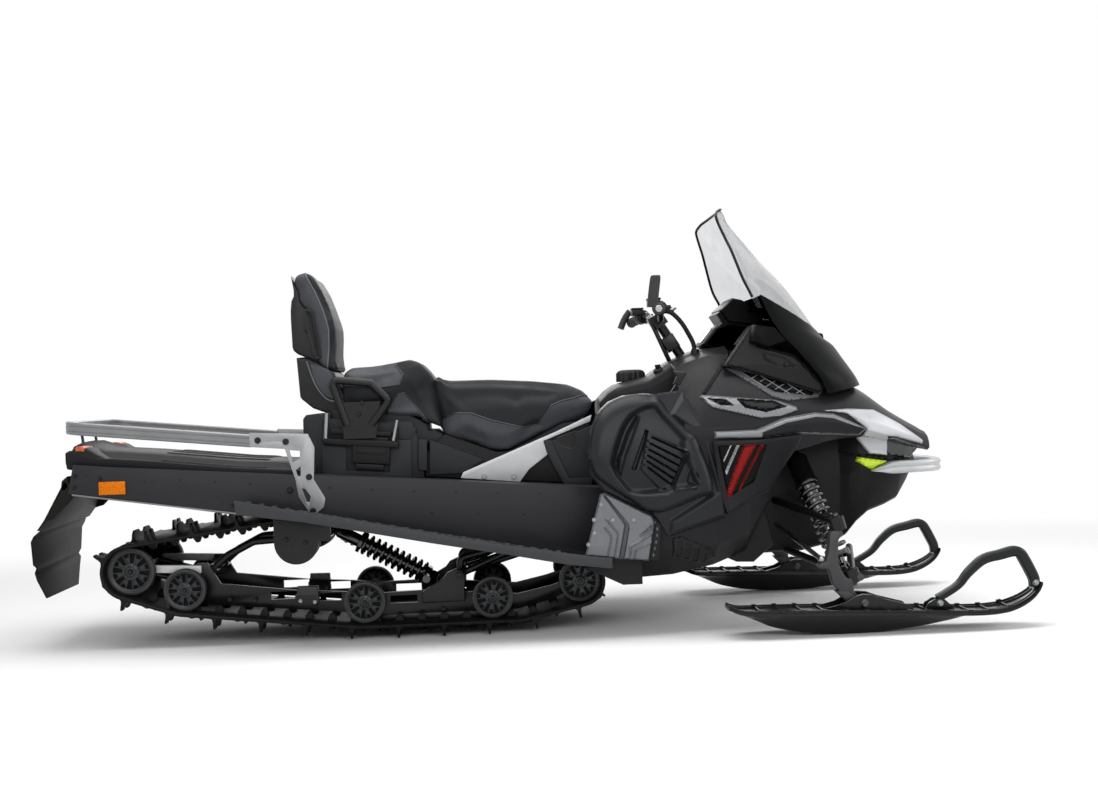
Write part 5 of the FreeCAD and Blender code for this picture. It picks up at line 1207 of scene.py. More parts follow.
backing_sheet = both_sides(sheet_shape(at_guard(guard_strip_outline), panel_cell, guard_depth,
                                       lambda spots: np.full(len(spots), -strip_height), strip_height))
piece("foot_guard_backings", backing_sheet, guard_metal)
black_paint = moulded("black_paint", (17, 17, 19), 0.28, grain=(0.0006, 0.00003), dust=0.01,
                      Specular_IOR_Level=0.3)


def bolts_at(pixels, y, radius, sink=0.0):
    """Bolt heads on both sides where the photograph shows them at a given depth."""
    heads = [bolt((x, y + sink, z), (0, -1, 0), radius) for x, z in seen_on(pixels, None, y)]
    return both_sides(gather(heads))


def guard_bolt_shapes():
    heads = []
    for (x, z), y in zip(at_guard(guard_bolts), guard_depth(at_guard(guard_bolts))):
        heads.append(bolt((x, y - guard_bolt_lift, z), (0, -1, 0), guard_bolt_radius))
    return both_sides(gather(heads))


piece("foot_guard_bolts", guard_bolt_shapes(), bolt_steel)

# The tunnel's fittings: rivets and flanged bolts along its sides, a pale strip painted on as the highlight of
# its lower fold, and two amber reflectors.
# The rivets sit in one row under the deck's edge, and the reflectors near the rear end.
rivet_radius = 0.0042
rivet_rise = 0.0022
rivet_places = [(85, 474), (144.7, 481.4), (180, 479.4), (215, 481.4), (250, 483.2), (144, 494),
                (186.9, 499.9), (221, 503.6), (330, 487), (372, 489), (414, 490.6), (432, 512),
                (456, 491.4), (478, 513), (498, 492.2), (524, 513.4), (540, 492.8), (568, 513.6),
                (580, 493.4)]
tunnel_bolts = [(74.6, 476.2), (74, 487.8), (99.9, 478.6), (232.2, 505.8)]
tunnel_bolt_radius = 0.0055
tunnel_face_y = -0.2806
fold_highlight_cell = 0.02
fold_highlight_thick = 0.002
rivet_shares = [(0, 0), (1.0, 0), (0.86, 0.55), (0.5, 0.92), (0, 1.0)]
fold_highlight_outline = [(72, 494.2), (236.8, 512.8), (236.8, 514.4), (72, 495.8)]
lens_amber = (230, 122, 0)


def dome(place, axis, radius, rise):
    """A rivet's round head."""
    return lathe([(radius * out, rise * along) for out, along in rivet_shares], place, axis, steps=14,
                 closed=False)


rivets = [dome((x, tunnel_face_y, z), (0, -1, 0), rivet_radius, rivet_rise)
          for x, z in seen_on(rivet_places, None, tunnel_face_y)]
piece("tunnel_rivets", both_sides(gather(rivets)), tunnel_paint)
piece("tunnel_bolts", bolts_at(tunnel_bolts, tunnel_face_y, tunnel_bolt_radius), black_paint)
# A thin pale strip along the tunnel's lower fold: a painted highlight where the fold catches the light.
fold_highlight_sheet = both_sides(sheet_shape(seen_on(fold_highlight_outline, None, tunnel_face_y), fold_highlight_cell,
                                   lambda spots: np.full(len(spots), tunnel_face_y),
                                   lambda spots: np.full(len(spots), fold_highlight_thick), fold_highlight_thick))
piece("tunnel_fold_highlights", fold_highlight_sheet, trim_plastic)


def lens_group():
    """A moulded reflector: rows of small prisms under a clear face, each with painted shading."""
    tree, given, spot = shader_group("prism_skin", {"Colour": (0.8, 0.3, 0.02, 1.0), "Roughness": 0.15,
                                                    "Prism Size": 0.004})
    per = math_node(tree, "DIVIDE", 1.0, given["Prism Size"])
    cells = shader_node(tree, "TexVoronoi", {"Vector": spot, "Scale": per},
                        distance="CHEBYCHEV").outputs["Distance"]
    # Painted shading: each prism's colour is made lighter in its middle and darker at its edges.
    colour = toned(tree, given["Colour"], ranged(tree, cells, (0.0, 0.6), (1.15, 0.75)))
    return closed_group(tree, colour, given["Roughness"], bumped(tree, cells, 0.0006))


prism_skin = lens_group()
amber_plastic = finish("amber_plastic", prism_skin, lens_amber, roughness=0.2, prism_size=0.0045,
                       Specular_IOR_Level=0.15)
rounded("side_reflectors", cut_edge, amber_plastic)

# The snow flap: a sheet of black rubber with notched edges, hung folded from the tunnel's rear end.
# Its side wings turn forward under the tunnel's walls, and a clamp strip holds its upper edge.
flap_levels = [
    # X, Z, half width
    (-1.492, 0.560, 0.275), (-1.500, 0.546, 0.275), (-1.560, 0.440, 0.275), (-1.588, 0.402, 0.272),
    (-1.589, 0.400, 0.236), (-1.602, 0.384, 0.264), (-1.612, 0.366, 0.262), (-1.613, 0.290, 0.246),
    (-1.613, 0.276, 0.216), (-1.612, 0.262, 0.236), (-1.611, 0.236, 0.220), (-1.602, 0.170, 0.165)]
flap_half = 0.275
flap_sheet = 0.006
flap_wing = [(-1.496, 0.556), (-1.455, 0.545), (-1.470, 0.500), (-1.530, 0.440), (-1.566, 0.430)]
flap_clamp = [(-1.484, 0.575), (-1.502, 0.560), (-1.506, 0.532), (-1.494, 0.528), (-1.482, 0.540)]
flap_colour = (23, 22, 20)


def flap_shape():
    """The bent sheet with its notched edges, and the wings that turn forward under the tunnel's walls."""
    rings = []
    for x, z, wide in flap_levels:
        rings.append([Vector((x, -wide, z)), Vector((x, wide, z)), Vector((x + flap_sheet, wide, z)),
                      Vector((x + flap_sheet, -wide, z))])
    shapes = [loft(rings)]
    for side in (-1, 1):
        rings = [[Vector((x, side * (flap_half - inset), z)) for x, z in flap_wing]
                 for inset in (0.0, flap_sheet)]
        shapes.append(loft(rings))
        shapes.append(loft([[Vector((x, side * inset, z)) for x, z in flap_clamp]
                            for inset in (flap_half, 0.0)]))
    return gather(shapes)


flap_rubber = finish("flap_rubber", rubber_skin, flap_colour, bloom=0.04, roughness=0.5,
                     Specular_IOR_Level=0.12)
piece("snow_flap_sheets", flap_shape(), flap_rubber, width=folded_edge, corner=40,
      stands_for=["snow_flap"])

# The rear deck and tail lamps: a black moulded tray, crowned in the middle, with shallow ribs along it.
# A lamp hump with an orange lens stands at each rear corner, under the rack's loop.
deck_stations = [(-1.492, 0.650, 0.618), (-1.477, 0.657, 0.615), (-1.395, 0.630, 0.601),
                 (-1.255, 0.618, 0.590), (-0.955, 0.583, 0.556), (-0.798, 0.572, 0.548),
                 (-0.700, 0.565, 0.541)]
deck_half = 0.262
deck_rim = 0.012
deck_drop = 0.009
deck_keel = 0.022
deck_crown = 0.034
deck_crown_shares = [(0.80, 0.10), (0.66, 0.74), (0.45, 0.93), (0.0, 1.0)]
deck_rib_ys = (-0.20, -0.12, -0.04, 0.04, 0.12, 0.20)
deck_rib_half = 0.012
deck_rib_rise = 0.004
deck_rib_xs = (-1.20, -0.86)
deck_rib_steps = 18
deck_rib_end_share = 0.6
deck_rib_sink = 0.001
deck_rib_shares = [(-1, 1.0, 0.0), (-1, 0.6, 1.0), (1, 0.6, 1.0), (1, 1.0, 0.0)]
lamp_colour = (226, 92, 26)
hump_line = [(-1.483, 0.640), (-1.474, 0.660), (-1.452, 0.667), (-1.424, 0.661), (-1.392, 0.641),
             (-1.356, 0.624)]
hump_foot = 0.600
hump_ys = [(0.132, 0.86), (0.146, 1.0), (0.240, 1.0), (0.254, 0.92), (0.260, 0.62)]
lens_line = [(-1.462, 0.652), (-1.459, 0.6685), (-1.448, 0.6695), (-1.434, 0.6665), (-1.432, 0.652)]
lens_ys = [(0.160, 1.0), (0.246, 1.0), (0.256, 0.96)]
rear_lens_line = [(-1.4855, 0.630), (-1.4855, 0.642), (-1.481, 0.6555), (-1.470, 0.6555), (-1.470, 0.630)]
rear_lens_ys = [(0.158, 1.0), (0.232, 1.0)]
deck_plastic = moulded("deck_plastic", (32, 32, 34), 0.5, grain=(0.0011, 0.00014), dust=0.02,
                       Specular_IOR_Level=0.12)
deck_rings = []
for x, top, low in deck_stations:
    side = [(-deck_half, low), (-deck_half, top - deck_rim / 3), (-deck_half + deck_rim / 3, top),
            (-deck_half + deck_rim, top), (-deck_half + 2 * deck_rim, top - deck_drop)]
    crown = [(-deck_half * across, top - deck_drop + deck_crown * rise)
             for across, rise in deck_crown_shares]
    half_ring = side + crown
    underside = [(deck_half - deck_rim, low - deck_keel), (-deck_half + deck_rim, low - deck_keel)]
    ring = half_ring + [(-y, z) for y, z in reversed(half_ring[:-1])] + underside
    deck_rings.append([Vector((x, y, z)) for y, z in ring])
rear_deck = piece("rear_deck_tray", loft(deck_rings), deck_plastic, width=cut_edge,
                  corner=30, stands_for=["rear_deck"])
deck_surface = surface_of(rear_deck)
rib_rings = []
for y in deck_rib_ys:
    rings = []
    for step in range(deck_rib_steps + 1):
        x = deck_rib_xs[0] + (deck_rib_xs[1] - deck_rib_xs[0]) * step / deck_rib_steps
        top = deck_surface.ray_cast(Vector((x, y, 1.0)), Vector((0, 0, -1)))[0].z
        grow = 1.0 if 0 < step < deck_rib_steps else deck_rib_end_share
        rings.append([Vector((x, y + side * deck_rib_half * grow * wide, top + rise * deck_rib_rise * grow
                              - deck_rib_sink)) for side, wide, rise in deck_rib_shares])
    rib_rings.append(loft(rings))
piece("rear_deck_ribs", gather(rib_rings), deck_plastic)
tail_red = finish("tail_red", prism_skin, lamp_colour, roughness=0.16, prism_size=0.005,
                  Specular_IOR_Level=0.4, Coat_Weight=0.3, Coat_Roughness=0.05)


def corner_block(line, foot, stations):
    """A block at the rear right corner: its outline along X, drawn down towards the foot at its edges."""
    return loft([[Vector((x, -y, foot + (z - foot) * share)) for x, z in line] for y, share in stations])


hump_outline = hump_line + [(hump_line[-1][0], hump_foot), (hump_line[0][0], hump_foot)]
piece("tail_lamp_humps", both_sides(corner_block(hump_outline, hump_foot, hump_ys)), deck_plastic,
      width=moulded_edge, corner=25, stands_for=["tail_lamp"])
piece("tail_lamp_lenses", both_sides(gather([corner_block(lens_line, hump_foot, lens_ys),
                                             corner_block(rear_lens_line, hump_foot, rear_lens_ys)])),
      tail_red, width=crisp_edge, corner=25)

# The cargo rack: a loop of extruded aluminium rail with two grooves along its face, on two folded brackets.
# Two black straps hold its rear end to the deck, and the brackets are bolted to the tunnel and the board.
rack_metal = finish("rack_metal", metal_skin, (128, 129, 131), roughness=0.36, lines=0.00004, Metallic=0.35)
bracket_metal = finish("bracket_metal", metal_skin, (158, 159, 161), roughness=0.4, lines=0.00002,
                       Metallic=0.25)
rack_ends = [(-1.490, 0.7305), (-0.895, 0.6675)]
rack_y = 0.273
rack_turn = 0.072
rack_turn_steps = 8
rack_half = (0.012, 0.0205)
rack_edge = 0.0035
groove_levels = (0.0065, 0.0105)
groove_depth = 0.0016
rack_bolts = [(257.5, 440.5), (285.6, 441.8), (309, 477), (313, 511), (290, 490)]
rack_bolt_radius = 0.0085
rack_bolt_y = -0.2865
strap_xs = (-1.494, -1.486)
strap_levels = (0.716, 0.646)
strap_ys = (-0.075, 0.075)
strap_size = (0.014, 0.007)
wide, tall = rack_half
quarter = [(wide, 0.0), (wide, groove_levels[0]), (wide - groove_depth, groove_levels[0] + groove_depth
                                                   / 2), (wide - groove_depth,
                                                          groove_levels[1] - groove_depth / 2),
           (wide, groove_levels[1]), (wide, tall - rack_edge), (wide - rack_edge, tall)]
half_section = quarter + [(-across, up) for across, up in reversed(quarter)]
rack_section = half_section + [(-across, -up) for across, up in half_section[1:-1]]
rack_route = [(rack_ends[1][0], -rack_y, 0.0)]
for step in range(rack_turn_steps + 1):
    beta = math.radians(90) * step / rack_turn_steps
    rack_route.append((rack_ends[0][0] + rack_turn * (1 - math.sin(beta)),
                       -rack_y + rack_turn * (1 - math.cos(beta)), beta))
rack_route += [(x, -y, math.pi - beta) for x, y, beta in reversed(rack_route)]
rack_rings = []
for x, y, beta in rack_route:
    run, climb = rack_ends[1][0] - rack_ends[0][0], rack_ends[1][1] - rack_ends[0][1]
    level = rack_ends[0][1] + climb * (x - rack_ends[0][0]) / run
    outwards = Vector((-math.sin(beta), -math.cos(beta), 0))
    rack_rings.append([Vector((x, y, level + up)) + outwards * across for across, up in rack_section])
piece("cargo_rack_loop", loft(rack_rings), rack_metal, corner=30, stands_for=["cargo_rack"])
straps = [bar(Vector((strap_xs[0], y, strap_levels[0])), Vector((strap_xs[1], y, strap_levels[1])),
              *strap_size, (0, 1, 0)) for y in strap_ys]
piece("rack_straps", gather(straps), black_paint, width=crisp_edge, corner=40)
rounded("rack_brackets", folded_edge, bracket_metal)
piece("rack_bracket_bolts", bolts_at(rack_bolts, rack_bolt_y, rack_bolt_radius), black_paint)

# The running boards: folded aluminium with a punched, serrated edge and rows of raised grip rings.
# Each is riveted under the tunnel's side and ends at the foot guard.
board_metal = moulded("board_metal", (55, 56, 59), 0.5, grain=(0.001, 0.00008), dust=0.02,
                      Specular_IOR_Level=0.25)
boards = rounded("running_boards", sheet_edge, board_metal)
board_surface = surface_of(boards)
ring_radius = 0.013
ring_rise = 0.004
ring_pitch = 0.046
ring_rows = (0.315, 0.362, 0.409)
tooth_pitch = 0.040
tooth_rise = 0.006
tooth_base = 0.020
tooth_sheet = 0.0018
tooth_sink = 0.002
tooth_edge_y = -0.4398
tooth_line_y = -0.4385
ring_start_x = -0.86
tooth_start_x = -0.88
ring_count = 22
tooth_count = 25
ring_shares = [(1.0, -0.25), (0.82, 1.0), (0.62, 1.0), (0.5, -0.25)]
rings = []
for row, y in enumerate(ring_rows):
    for step in range(ring_count):
        x = ring_start_x + ring_pitch * (step + (row % 2) / 2)
        hit, normal = board_surface.ray_cast(Vector((x, -y, 1.0)), Vector((0, 0, -1)))[:2]
        if hit and normal.z > 0.5:
            rings.append(lathe([(ring_radius * out, ring_rise * up) for out, up in ring_shares], hit,
                               normal, steps=14))
piece("running_board_rings", both_sides(gather(rings)), board_metal)
teeth = []
for step in range(tooth_count):
    x = tooth_start_x + tooth_pitch * step
    hit = board_surface.ray_cast(Vector((x, tooth_line_y, 1.0)), Vector((0, 0, -1)))[0]
    if hit:
        foot, tip = hit.z - tooth_sink, hit.z + tooth_rise
        teeth.append(loft([[Vector((x - tooth_base / 2, y, foot)), Vector((x + tooth_base / 2, y, foot)),
                            Vector((x + tooth_base / 3, y, tip)), Vector((x - tooth_base / 3, y, tip))]
                           for y in (tooth_edge_y, tooth_edge_y + tooth_sheet)]))
piece("running_board_teeth", both_sides(gather(teeth)), board_metal)

# The seats: two-tone vinyl over foam, swelled by cloth, with welts and stitched seams laid on afterwards.
# The rider's saddle, the passenger's seat and the backrest share the hide's grain and its seams.
rider_outline = [(429.4, 374.5), (440, 382.5), (448.4, 384.2), (490.5, 383), (532.6, 384.6), (568.3, 388),
                 (583, 394), (597, 401), (591.5, 409.4), (551.5, 432), (507.3, 450.5), (490.5, 449.8),
                 (444.2, 434), (440, 415.7)]
rider_seam = [(438, 423), (444.2, 417.8), (454.7, 413.2), (471.5, 413.2), (490.5, 420), (522, 427.3),
              (536.8, 424.2), (545.2, 414.7), (551.5, 405.2), (560, 401.4), (583, 395.6), (600, 396)]
passenger_outline = [(341, 372), (370.5, 370), (394.7, 366), (415.7, 361.8), (421, 363), (429.4, 373.6),
                     (434, 392), (438, 411.5), (443, 428), (427.3, 422), (418.9, 416), (396, 416),
                     (350, 412), (341, 402)]
passenger_seams = [[(394.7, 362), (395.5, 366), (403, 374.7), (400, 384.2), (381, 387.5), (336, 385)],
                   [(385.2, 418), (392, 402), (398, 394.7), (404.2, 392.6), (414.7, 405.2), (430, 424)]]
back_outline = [(290.7, 275.3), (295.3, 271.4), (301, 270), (305.5, 271.4), (309.5, 278), (316.5, 290.5),
                (323.2, 306), (327.8, 318.5), (330.6, 329.6), (331, 344.9), (330.6, 357.1), (332, 367),
                (336.5, 374.5), (329, 371.5), (321, 365.5), (318.5, 357), (315.5, 338.8), (312, 322),
                (310.5, 313), (303, 305.5), (298, 297), (296.5, 288), (293, 281)]
back_seam = [(302, 266), (303.5, 271.4), (307.2, 279), (314, 291.3), (320.7, 306.6), (325.2, 318.9),
             (327.9, 329.6), (328.2, 344.9), (327.5, 357.1), (326.5, 374)]
seat_side_shares = [(-1.0, 0.86), (-0.975, 0.93), (-0.92, 0.975), (-0.82, 1.0), (0.82, 1.0), (0.92, 0.975),
                    (0.975, 0.93), (1.0, 0.86)]
voxel_size = 0.0068
swell_pressure = 4.0
swell_frames = 20
swell_cap = 0.013
welt_radius = 0.0026
stitch_length = 0.0034
stitch_pitch = 0.0062
stitch_gap = 0.0058
thread_radius = 0.0006
seam_lift = 0.0004
seam_step = 0.004
seam_reach = 0.012
seam_deep_share = 0.55
short_stitch = 0.0005
rest_fade = 0.05
soften_rounds = 6
upper_hide = (36, 37, 40)
lower_hide = (64, 66, 71)


def slab_between(outline, half, shares):
    """A rounded block between two sides: its outline is drawn in towards each side."""
    middle = Vector((sum(p[0] for p in outline) / len(outline), 0, sum(p[1] for p in outline)
                     / len(outline)))
    rings = []
    for across_share, grow in shares:
        rings.append([middle + (Vector((x, 0, z)) - middle) * grow + Vector((0, half * across_share, 0))
                      for x, z in outline])
    return loft(rings)


def hide_group():
    """Vinyl hide: pebbled grain, fine creases and a broken sheen where it is sat on."""
    tree, given, spot = shader_group("vinyl_hide", {"Colour": (0.05, 0.05, 0.05, 1.0), "Roughness": 0.5,
                                                    "Pebble Size": 0.0016})
    per = math_node(tree, "DIVIDE", 1.0, given["Pebble Size"])
    pebble = shader_node(tree, "TexVoronoi", {"Vector": spot, "Scale": per}, feature="DISTANCE_TO_EDGE")
    crease = noise(tree, spot, 26.0, 6.0, {"Roughness": 0.6, "Distortion": 0.8})
    height = math_node(tree, "MINIMUM", pebble.outputs["Distance"], 0.25)
    colour, rough = patched(tree, given, noise(tree, spot, 5.0, 4.0), (0.88, 1.12), (0.05, -0.07))
    fine = bumped(tree, height, 0.0005, {"Strength": 0.5})
    return closed_group(tree, colour, rough, bumped(tree, crease, 0.0012, {"Normal": fine}))


def swelled(thing, cap, rest_z):
    """Foam pressing its cover outwards: a short cloth run, with each point's movement held within the cap."""
    remesh = thing.modifiers.new("skin", "REMESH")
    remesh.mode = "VOXEL"
    remesh.voxel_size = voxel_size
    baked(thing)
    before = np.array([tuple(v.co) for v in thing.data.vertices])
    cover = thing.modifiers.new("cover", "CLOTH")
    cover.settings.use_pressure = True
    cover.settings.uniform_pressure_force = swell_pressure
    cover.settings.effector_weights.gravity = 0.0
    cover.point_cache.frame_start = 1
    cover.point_cache.frame_end = swell_frames
    for tick in range(1, swell_frames + 1):
        bpy.context.scene.frame_set(tick)
    baked(thing)
    after = np.array([tuple(v.co) for v in thing.data.vertices])
    move = after - before
    far = np.linalg.norm(move, axis=1)
    move *= np.minimum(1.0, cap / np.maximum(far, 1e-9))[:, None]
    move *= np.clip((before[:, 2] - rest_z) / rest_fade, 0.0, 1.0)[:, None]
    thing.data.vertices.foreach_set("co", (before + move).ravel())
    bpy.context.scene.frame_set(1)
    soften = thing.modifiers.new("soften", "SMOOTH")
    soften.iterations = soften_rounds
    split = thing.modifiers.new("split", "SUBSURF")
    split.levels = 1
    baked(thing)
    return thing


def parted(thing, seam, second):
    """Cuts the cover along a seam given in X and Z, and gives the part below it the second finish."""
    shape = bmesh.new()
    shape.from_mesh(thing.data)
    for (x1, z1), (x2, z2) in zip(seam, seam[1:]):
        a, b = Vector((x1, 0, z1)), Vector((x2, 0, z2))
        middle, reach = (a + b) / 2, (b - a).length / 2 + seam_reach
        middles = [(face, face.calc_center_median()) for face in shape.faces]
        near = [face for face, spot in middles if (Vector((spot.x, 0, spot.z)) - middle).length < reach]
        corners = {v for face in near for v in face.verts}
        sides = {e for face in near for e in face.edges}
        parts = list(corners) + list(sides) + near
        bmesh.ops.bisect_plane(shape, geom=parts, dist=0.00001, plane_co=a,
                               plane_no=(b - a).cross(Vector((0, 1, 0))))
    shape.to_mesh(thing.data)
    shape.free()
    thing.data.materials.append(second)
    return thing


def tone_split(thing, polygon, index):
    """Faces whose middle lies in the polygon take another of the piece's finishes."""
    middles = [(face.center.x, face.center.z) for face in thing.data.polygons]
    for face, depth in zip(thing.data.polygons, inside_depth(middles, polygon)):
        if depth > 0:
            face.material_index = index


def seam_route(line, surface, half):
    """A seam's points on the right side of a cushion, found across it from outside."""
    route = []
    for (x1, z1), (x2, z2) in zip(line, line[1:]):
        steps = max(2, int(math.hypot(x2 - x1, z2 - z1) / seam_step))
        for step in range(steps):
            x, z = x1 + (x2 - x1) * step / steps, z1 + (z2 - z1) * step / steps
            hit, normal = surface.ray_cast(Vector((x, -half * 2, z)), Vector((0, 1, 0)))[:2]
            if hit and abs(hit.y) > half * seam_deep_share:
                route.append((hit, normal))
    return route


def sewn(name, line, cushion_thing, half, material):
    """A welt along a seam and a row of stitches beside it, on both sides of a cushion."""
    route = seam_route(line, surface_of(cushion_thing), half)
    if len(route) < 4:
        return
    welt = tube([point + normal * seam_lift for point, normal in route], welt_radius)
    stitches = []
    travelled = 0.0
    for (a, normal), (b, _) in zip(route, route[1:]):
        travelled += (b - a).length
        if travelled > stitch_pitch and (b - a).length > short_stitch:
            travelled = 0.0
            along = (b - a).normalized()
            middle = a + along.cross(normal).normalized() * stitch_gap + normal * seam_lift
            stitches.append(tube([middle - along * stitch_length / 2, middle + along * stitch_length / 2],
                                 thread_radius, sides=6))
    piece(name + "_welts", both_sides(welt), material)
    piece(name + "_stitches", both_sides(gather(stitches)), thread)


vinyl_hide = hide_group()
dark_hide = finish("dark_hide", vinyl_hide, upper_hide, roughness=0.5, pebble_size=0.0016,
                   Specular_IOR_Level=0.12)
grey_hide = finish("grey_hide", vinyl_hide, lower_hide, roughness=0.5, pebble_size=0.0022,
                   Specular_IOR_Level=0.25)
welt_hide = finish("welt_hide", vinyl_hide, (34, 35, 37), roughness=0.4, pebble_size=0.0016)
thread = finish("seat_thread", vinyl_hide, (96, 98, 102), roughness=0.6, pebble_size=0.0006)
cushions = {
    # outline, half width, height that it rests on, seams, points that close the area below the seam
    "rider_seat": (rider_outline, 0.172, 0.60, [rider_seam], [(600, 470), (430, 470)]),
    "passenger_seat": (passenger_outline, 0.178, 0.71, passenger_seams, None),
    "backrest_pad": (back_outline, 0.168, 0.0, [back_seam], [(280, 374), (280, 266)]),
}
for node, (pixels, half, rest_z, seams, closing) in cushions.items():
    face_y = -half
    outline = seen_on(pixels, None, face_y)
    cover = made(node + "_cover", slab_between(outline, half, seat_side_shares))
    swelled(cover, swell_cap, rest_z)
    fitted(cover, dark_hide, stands_for=[node])
    for number, seam in enumerate(seams):
        line = seen_on(seam, None, face_y)
        parted(cover, line, grey_hide)
        if closing:
            tone_split(cover, line + seen_on(closing, None, face_y), number + 1)
        sewn("%s_%d" % (node, number), line, cover, half, thread if node == "backrest_pad" else welt_hide)
    if node == "passenger_seat":
        tone_split(cover, seen_on(passenger_seams[0] + [(336, 355)], None, face_y), 1)
        tone_split(cover, seen_on(passenger_seams[1], None, face_y), 2)
    eased(cover, 0.0, corner=80)

# The seat base, seat box and side trims: black moulded boxes on the tunnel, and a pale brace on each side.
# The box has a latch tray with two bright rods, and the brace is held by two flanged bolts.
rounded("seat_base", broad_edge, deck_plastic)
box_plastic = moulded("box_plastic", (47, 48, 51), 0.5, grain=(0.0011, 0.00014), dust=0.02,
                      Specular_IOR_Level=0.12)
rounded("seat_box", round_edge, box_plastic)
brace_bolts = [(484.1, 476.8), (514, 476.8)]
brace_face_y = -0.1765
brace_bolt_radius = 0.0075
trim_metal = finish("trim_metal", metal_skin, (208, 209, 210), roughness=0.42, lines=0.00001, Metallic=0.2)
rounded("seat_trims", crisp_edge, trim_metal)
piece("seat_trim_bolts", bolts_at(brace_bolts, brace_face_y, brace_bolt_radius), bolt_steel)
base_plates = [([(418.5, 439.5), (427, 439.5), (427, 471), (418.5, 470)], -0.180),
               ([(429.5, 440), (484, 459.5), (462, 473.5), (429.5, 475)], -0.1735),
               ([(551.2, 441), (595.7, 424.2), (592.7, 477.2), (569.3, 478.5)], -0.1765),
               ([(543.8, 440.3), (551.2, 440.3), (569.3, 478.5), (592.7, 477.2), (592.7, 486.5),
                 (564, 484.5), (549.2, 457.8), (545.2, 445.7)], -0.181)]
rear_wall = [(302.9, 419), (306, 415), (318, 413.4), (331, 412.5), (331, 478), (319, 476), (304, 473)]
rear_wall_y = -0.166
under_seat = [(331, 410), (384.6, 410.5), (405.3, 413.5), (419, 419.5), (427.6, 424.5), (428.4, 430.4),
              (436.3, 430.4), (442.2, 433.7), (446, 443), (400.7, 444), (331, 440)]
under_seat_y = -0.153
knee_vent = [(557.2, 437.7), (575.3, 431), (577.3, 445), (572, 449), (559.9, 445.7)]
knee_vent_y = -0.178
knee_highlight_rim = 0.0011
box_plates = [([(321.6, 444.4), (345.8, 446.7), (345.8, 470.8), (390.2, 472.5), (390.2, 447.5),
                (398.6, 439.8), (411.6, 439.8), (412.4, 478), (321.6, 475.3)], -0.177),
              ([(322, 418), (398, 424), (398.6, 441), (322, 438)], -0.172),
              ([(398, 426), (417, 428.3), (411, 439.8), (398.6, 439)], -0.174)]
latch_plates = [([(352, 443.6), (390.5, 445.2), (389.4, 464.3), (352, 462.8)], -0.190),
                ([(355.8, 463.5), (384, 465), (384, 470.4), (355.8, 468.9)], -0.186),
                ([(352, 436), (388.7, 437.5), (388.7, 443.6), (352, 442.9)], -0.187),
                ([(322, 438.3), (398.6, 441.3), (398.6, 447.5), (322, 443.6)], -0.200),
                ([(329.7, 428.3), (391.7, 432.2), (391.7, 436), (329.7, 433)], -0.196),
                ([(356, 448.4), (386.5, 449.8), (386.5, 454.8), (356, 453.4)], -0.193)]
box_inner_y = -0.150
plate_rim = 0.975
plate_rim_depth = 0.004
rods = [([(327, 413), (325.5, 438.5)], 0.007), ([(397.1, 420), (393.3, 440.6)], 0.006)]
rod_y = -0.194


def plated(pixels, outer_y):
    """A moulded plate with the photograph's outline, from the box's wall out to the given depth."""
    return slab_between(seen_on(pixels, None, outer_y), 1.0,
                        [(outer_y, plate_rim), (outer_y + plate_rim_depth, 1.0), (box_inner_y, 1.0)])


def cut_through(pixels, outer_y):
    """A block with the photograph's outline that runs right across, its two ends slightly drawn in."""
    return slab_between(seen_on(pixels, None, outer_y), 1.0, [(outer_y, plate_rim),
                                                              (outer_y + plate_rim_depth, 1.0),
                                                              (-outer_y - plate_rim_depth, 1.0),
                                                              (-outer_y, plate_rim)])


for name, plates, look in (("seat_base_plates", base_plates, box_plastic),
                           ("seat_box_plates", box_plates, box_plastic),
                           ("seat_box_latches", latch_plates, dark_plastic)):
    piece(name, both_sides(gather([plated(*plate) for plate in plates])), look,
          width=sheet_edge, corner=35)
fillers = [cut_through(rear_wall, rear_wall_y), cut_through(under_seat, under_seat_y)]
piece("seat_box_walls", gather(fillers), box_plastic, width=moulded_edge, corner=35)
piece("knee_vents", both_sides(slab_between(seen_on(knee_vent, None, knee_vent_y), 1.0,
                                            [(knee_vent_y, 1.0), (box_inner_y, 1.0)])), black_paint)
# A thin pale ring round each knee vent, in the seat's grey hide: a painted highlight along the vent's edge.
vent_highlight_ring = [Vector((x, knee_vent_y, z)) for x, z in seen_on(knee_vent, None, knee_vent_y)]
piece("knee_vent_highlight_rims", both_sides(tube(vent_highlight_ring, knee_highlight_rim, sides=6, closed=True)), grey_hide)
rod_shapes = []
for pixels, radius in rods:
    rod_shapes.append(tube([Vector((x, rod_y, z)) for x, z in seen_on(pixels, None, rod_y)], radius,
                           sides=12))
piece("seat_box_rods", both_sides(gather(rod_shapes)), bolt_steel)

# The backrest's shell and the passenger's grab handles: black moulded shell with a strap slot and clamp knob.
# Each handle is a bent tube with a web plate bolted through to the seat box.
shell_plastic = moulded("shell_plastic", (30, 30, 32), 0.4, grain=(0.0010, 0.0001), dust=0.01,
                        Specular_IOR_Level=0.24)
shell_outline = [(290.4, 275.3), (293.2, 289), (293.4, 296), (291, 301), (290.2, 311), (290.4, 319),
                 (292.2, 348), (293.5, 351), (298, 354.5), (308, 358.5), (318, 363), (320.1, 354),
                 (316.7, 338.8), (312.9, 321.9), (312.4, 314.3), (309.1, 309.7), (303, 306.6),
                 (299.1, 300.5), (297.6, 289.8), (293, 282)]
lower_outline = [(296.1, 357.9), (299.9, 396.9), (301.4, 399.2), (312.9, 408.4), (326, 413), (346, 420),
                 (352, 410), (343, 392), (334, 372), (318, 362), (305, 357)]
insert_outline = [(308.5, 363), (319, 364.5), (329.7, 369.8), (333, 377), (337, 390.8), (343, 401.5),
                  (330.5, 400.8), (322.9, 395.4), (316, 386.2), (311.4, 375.5)]
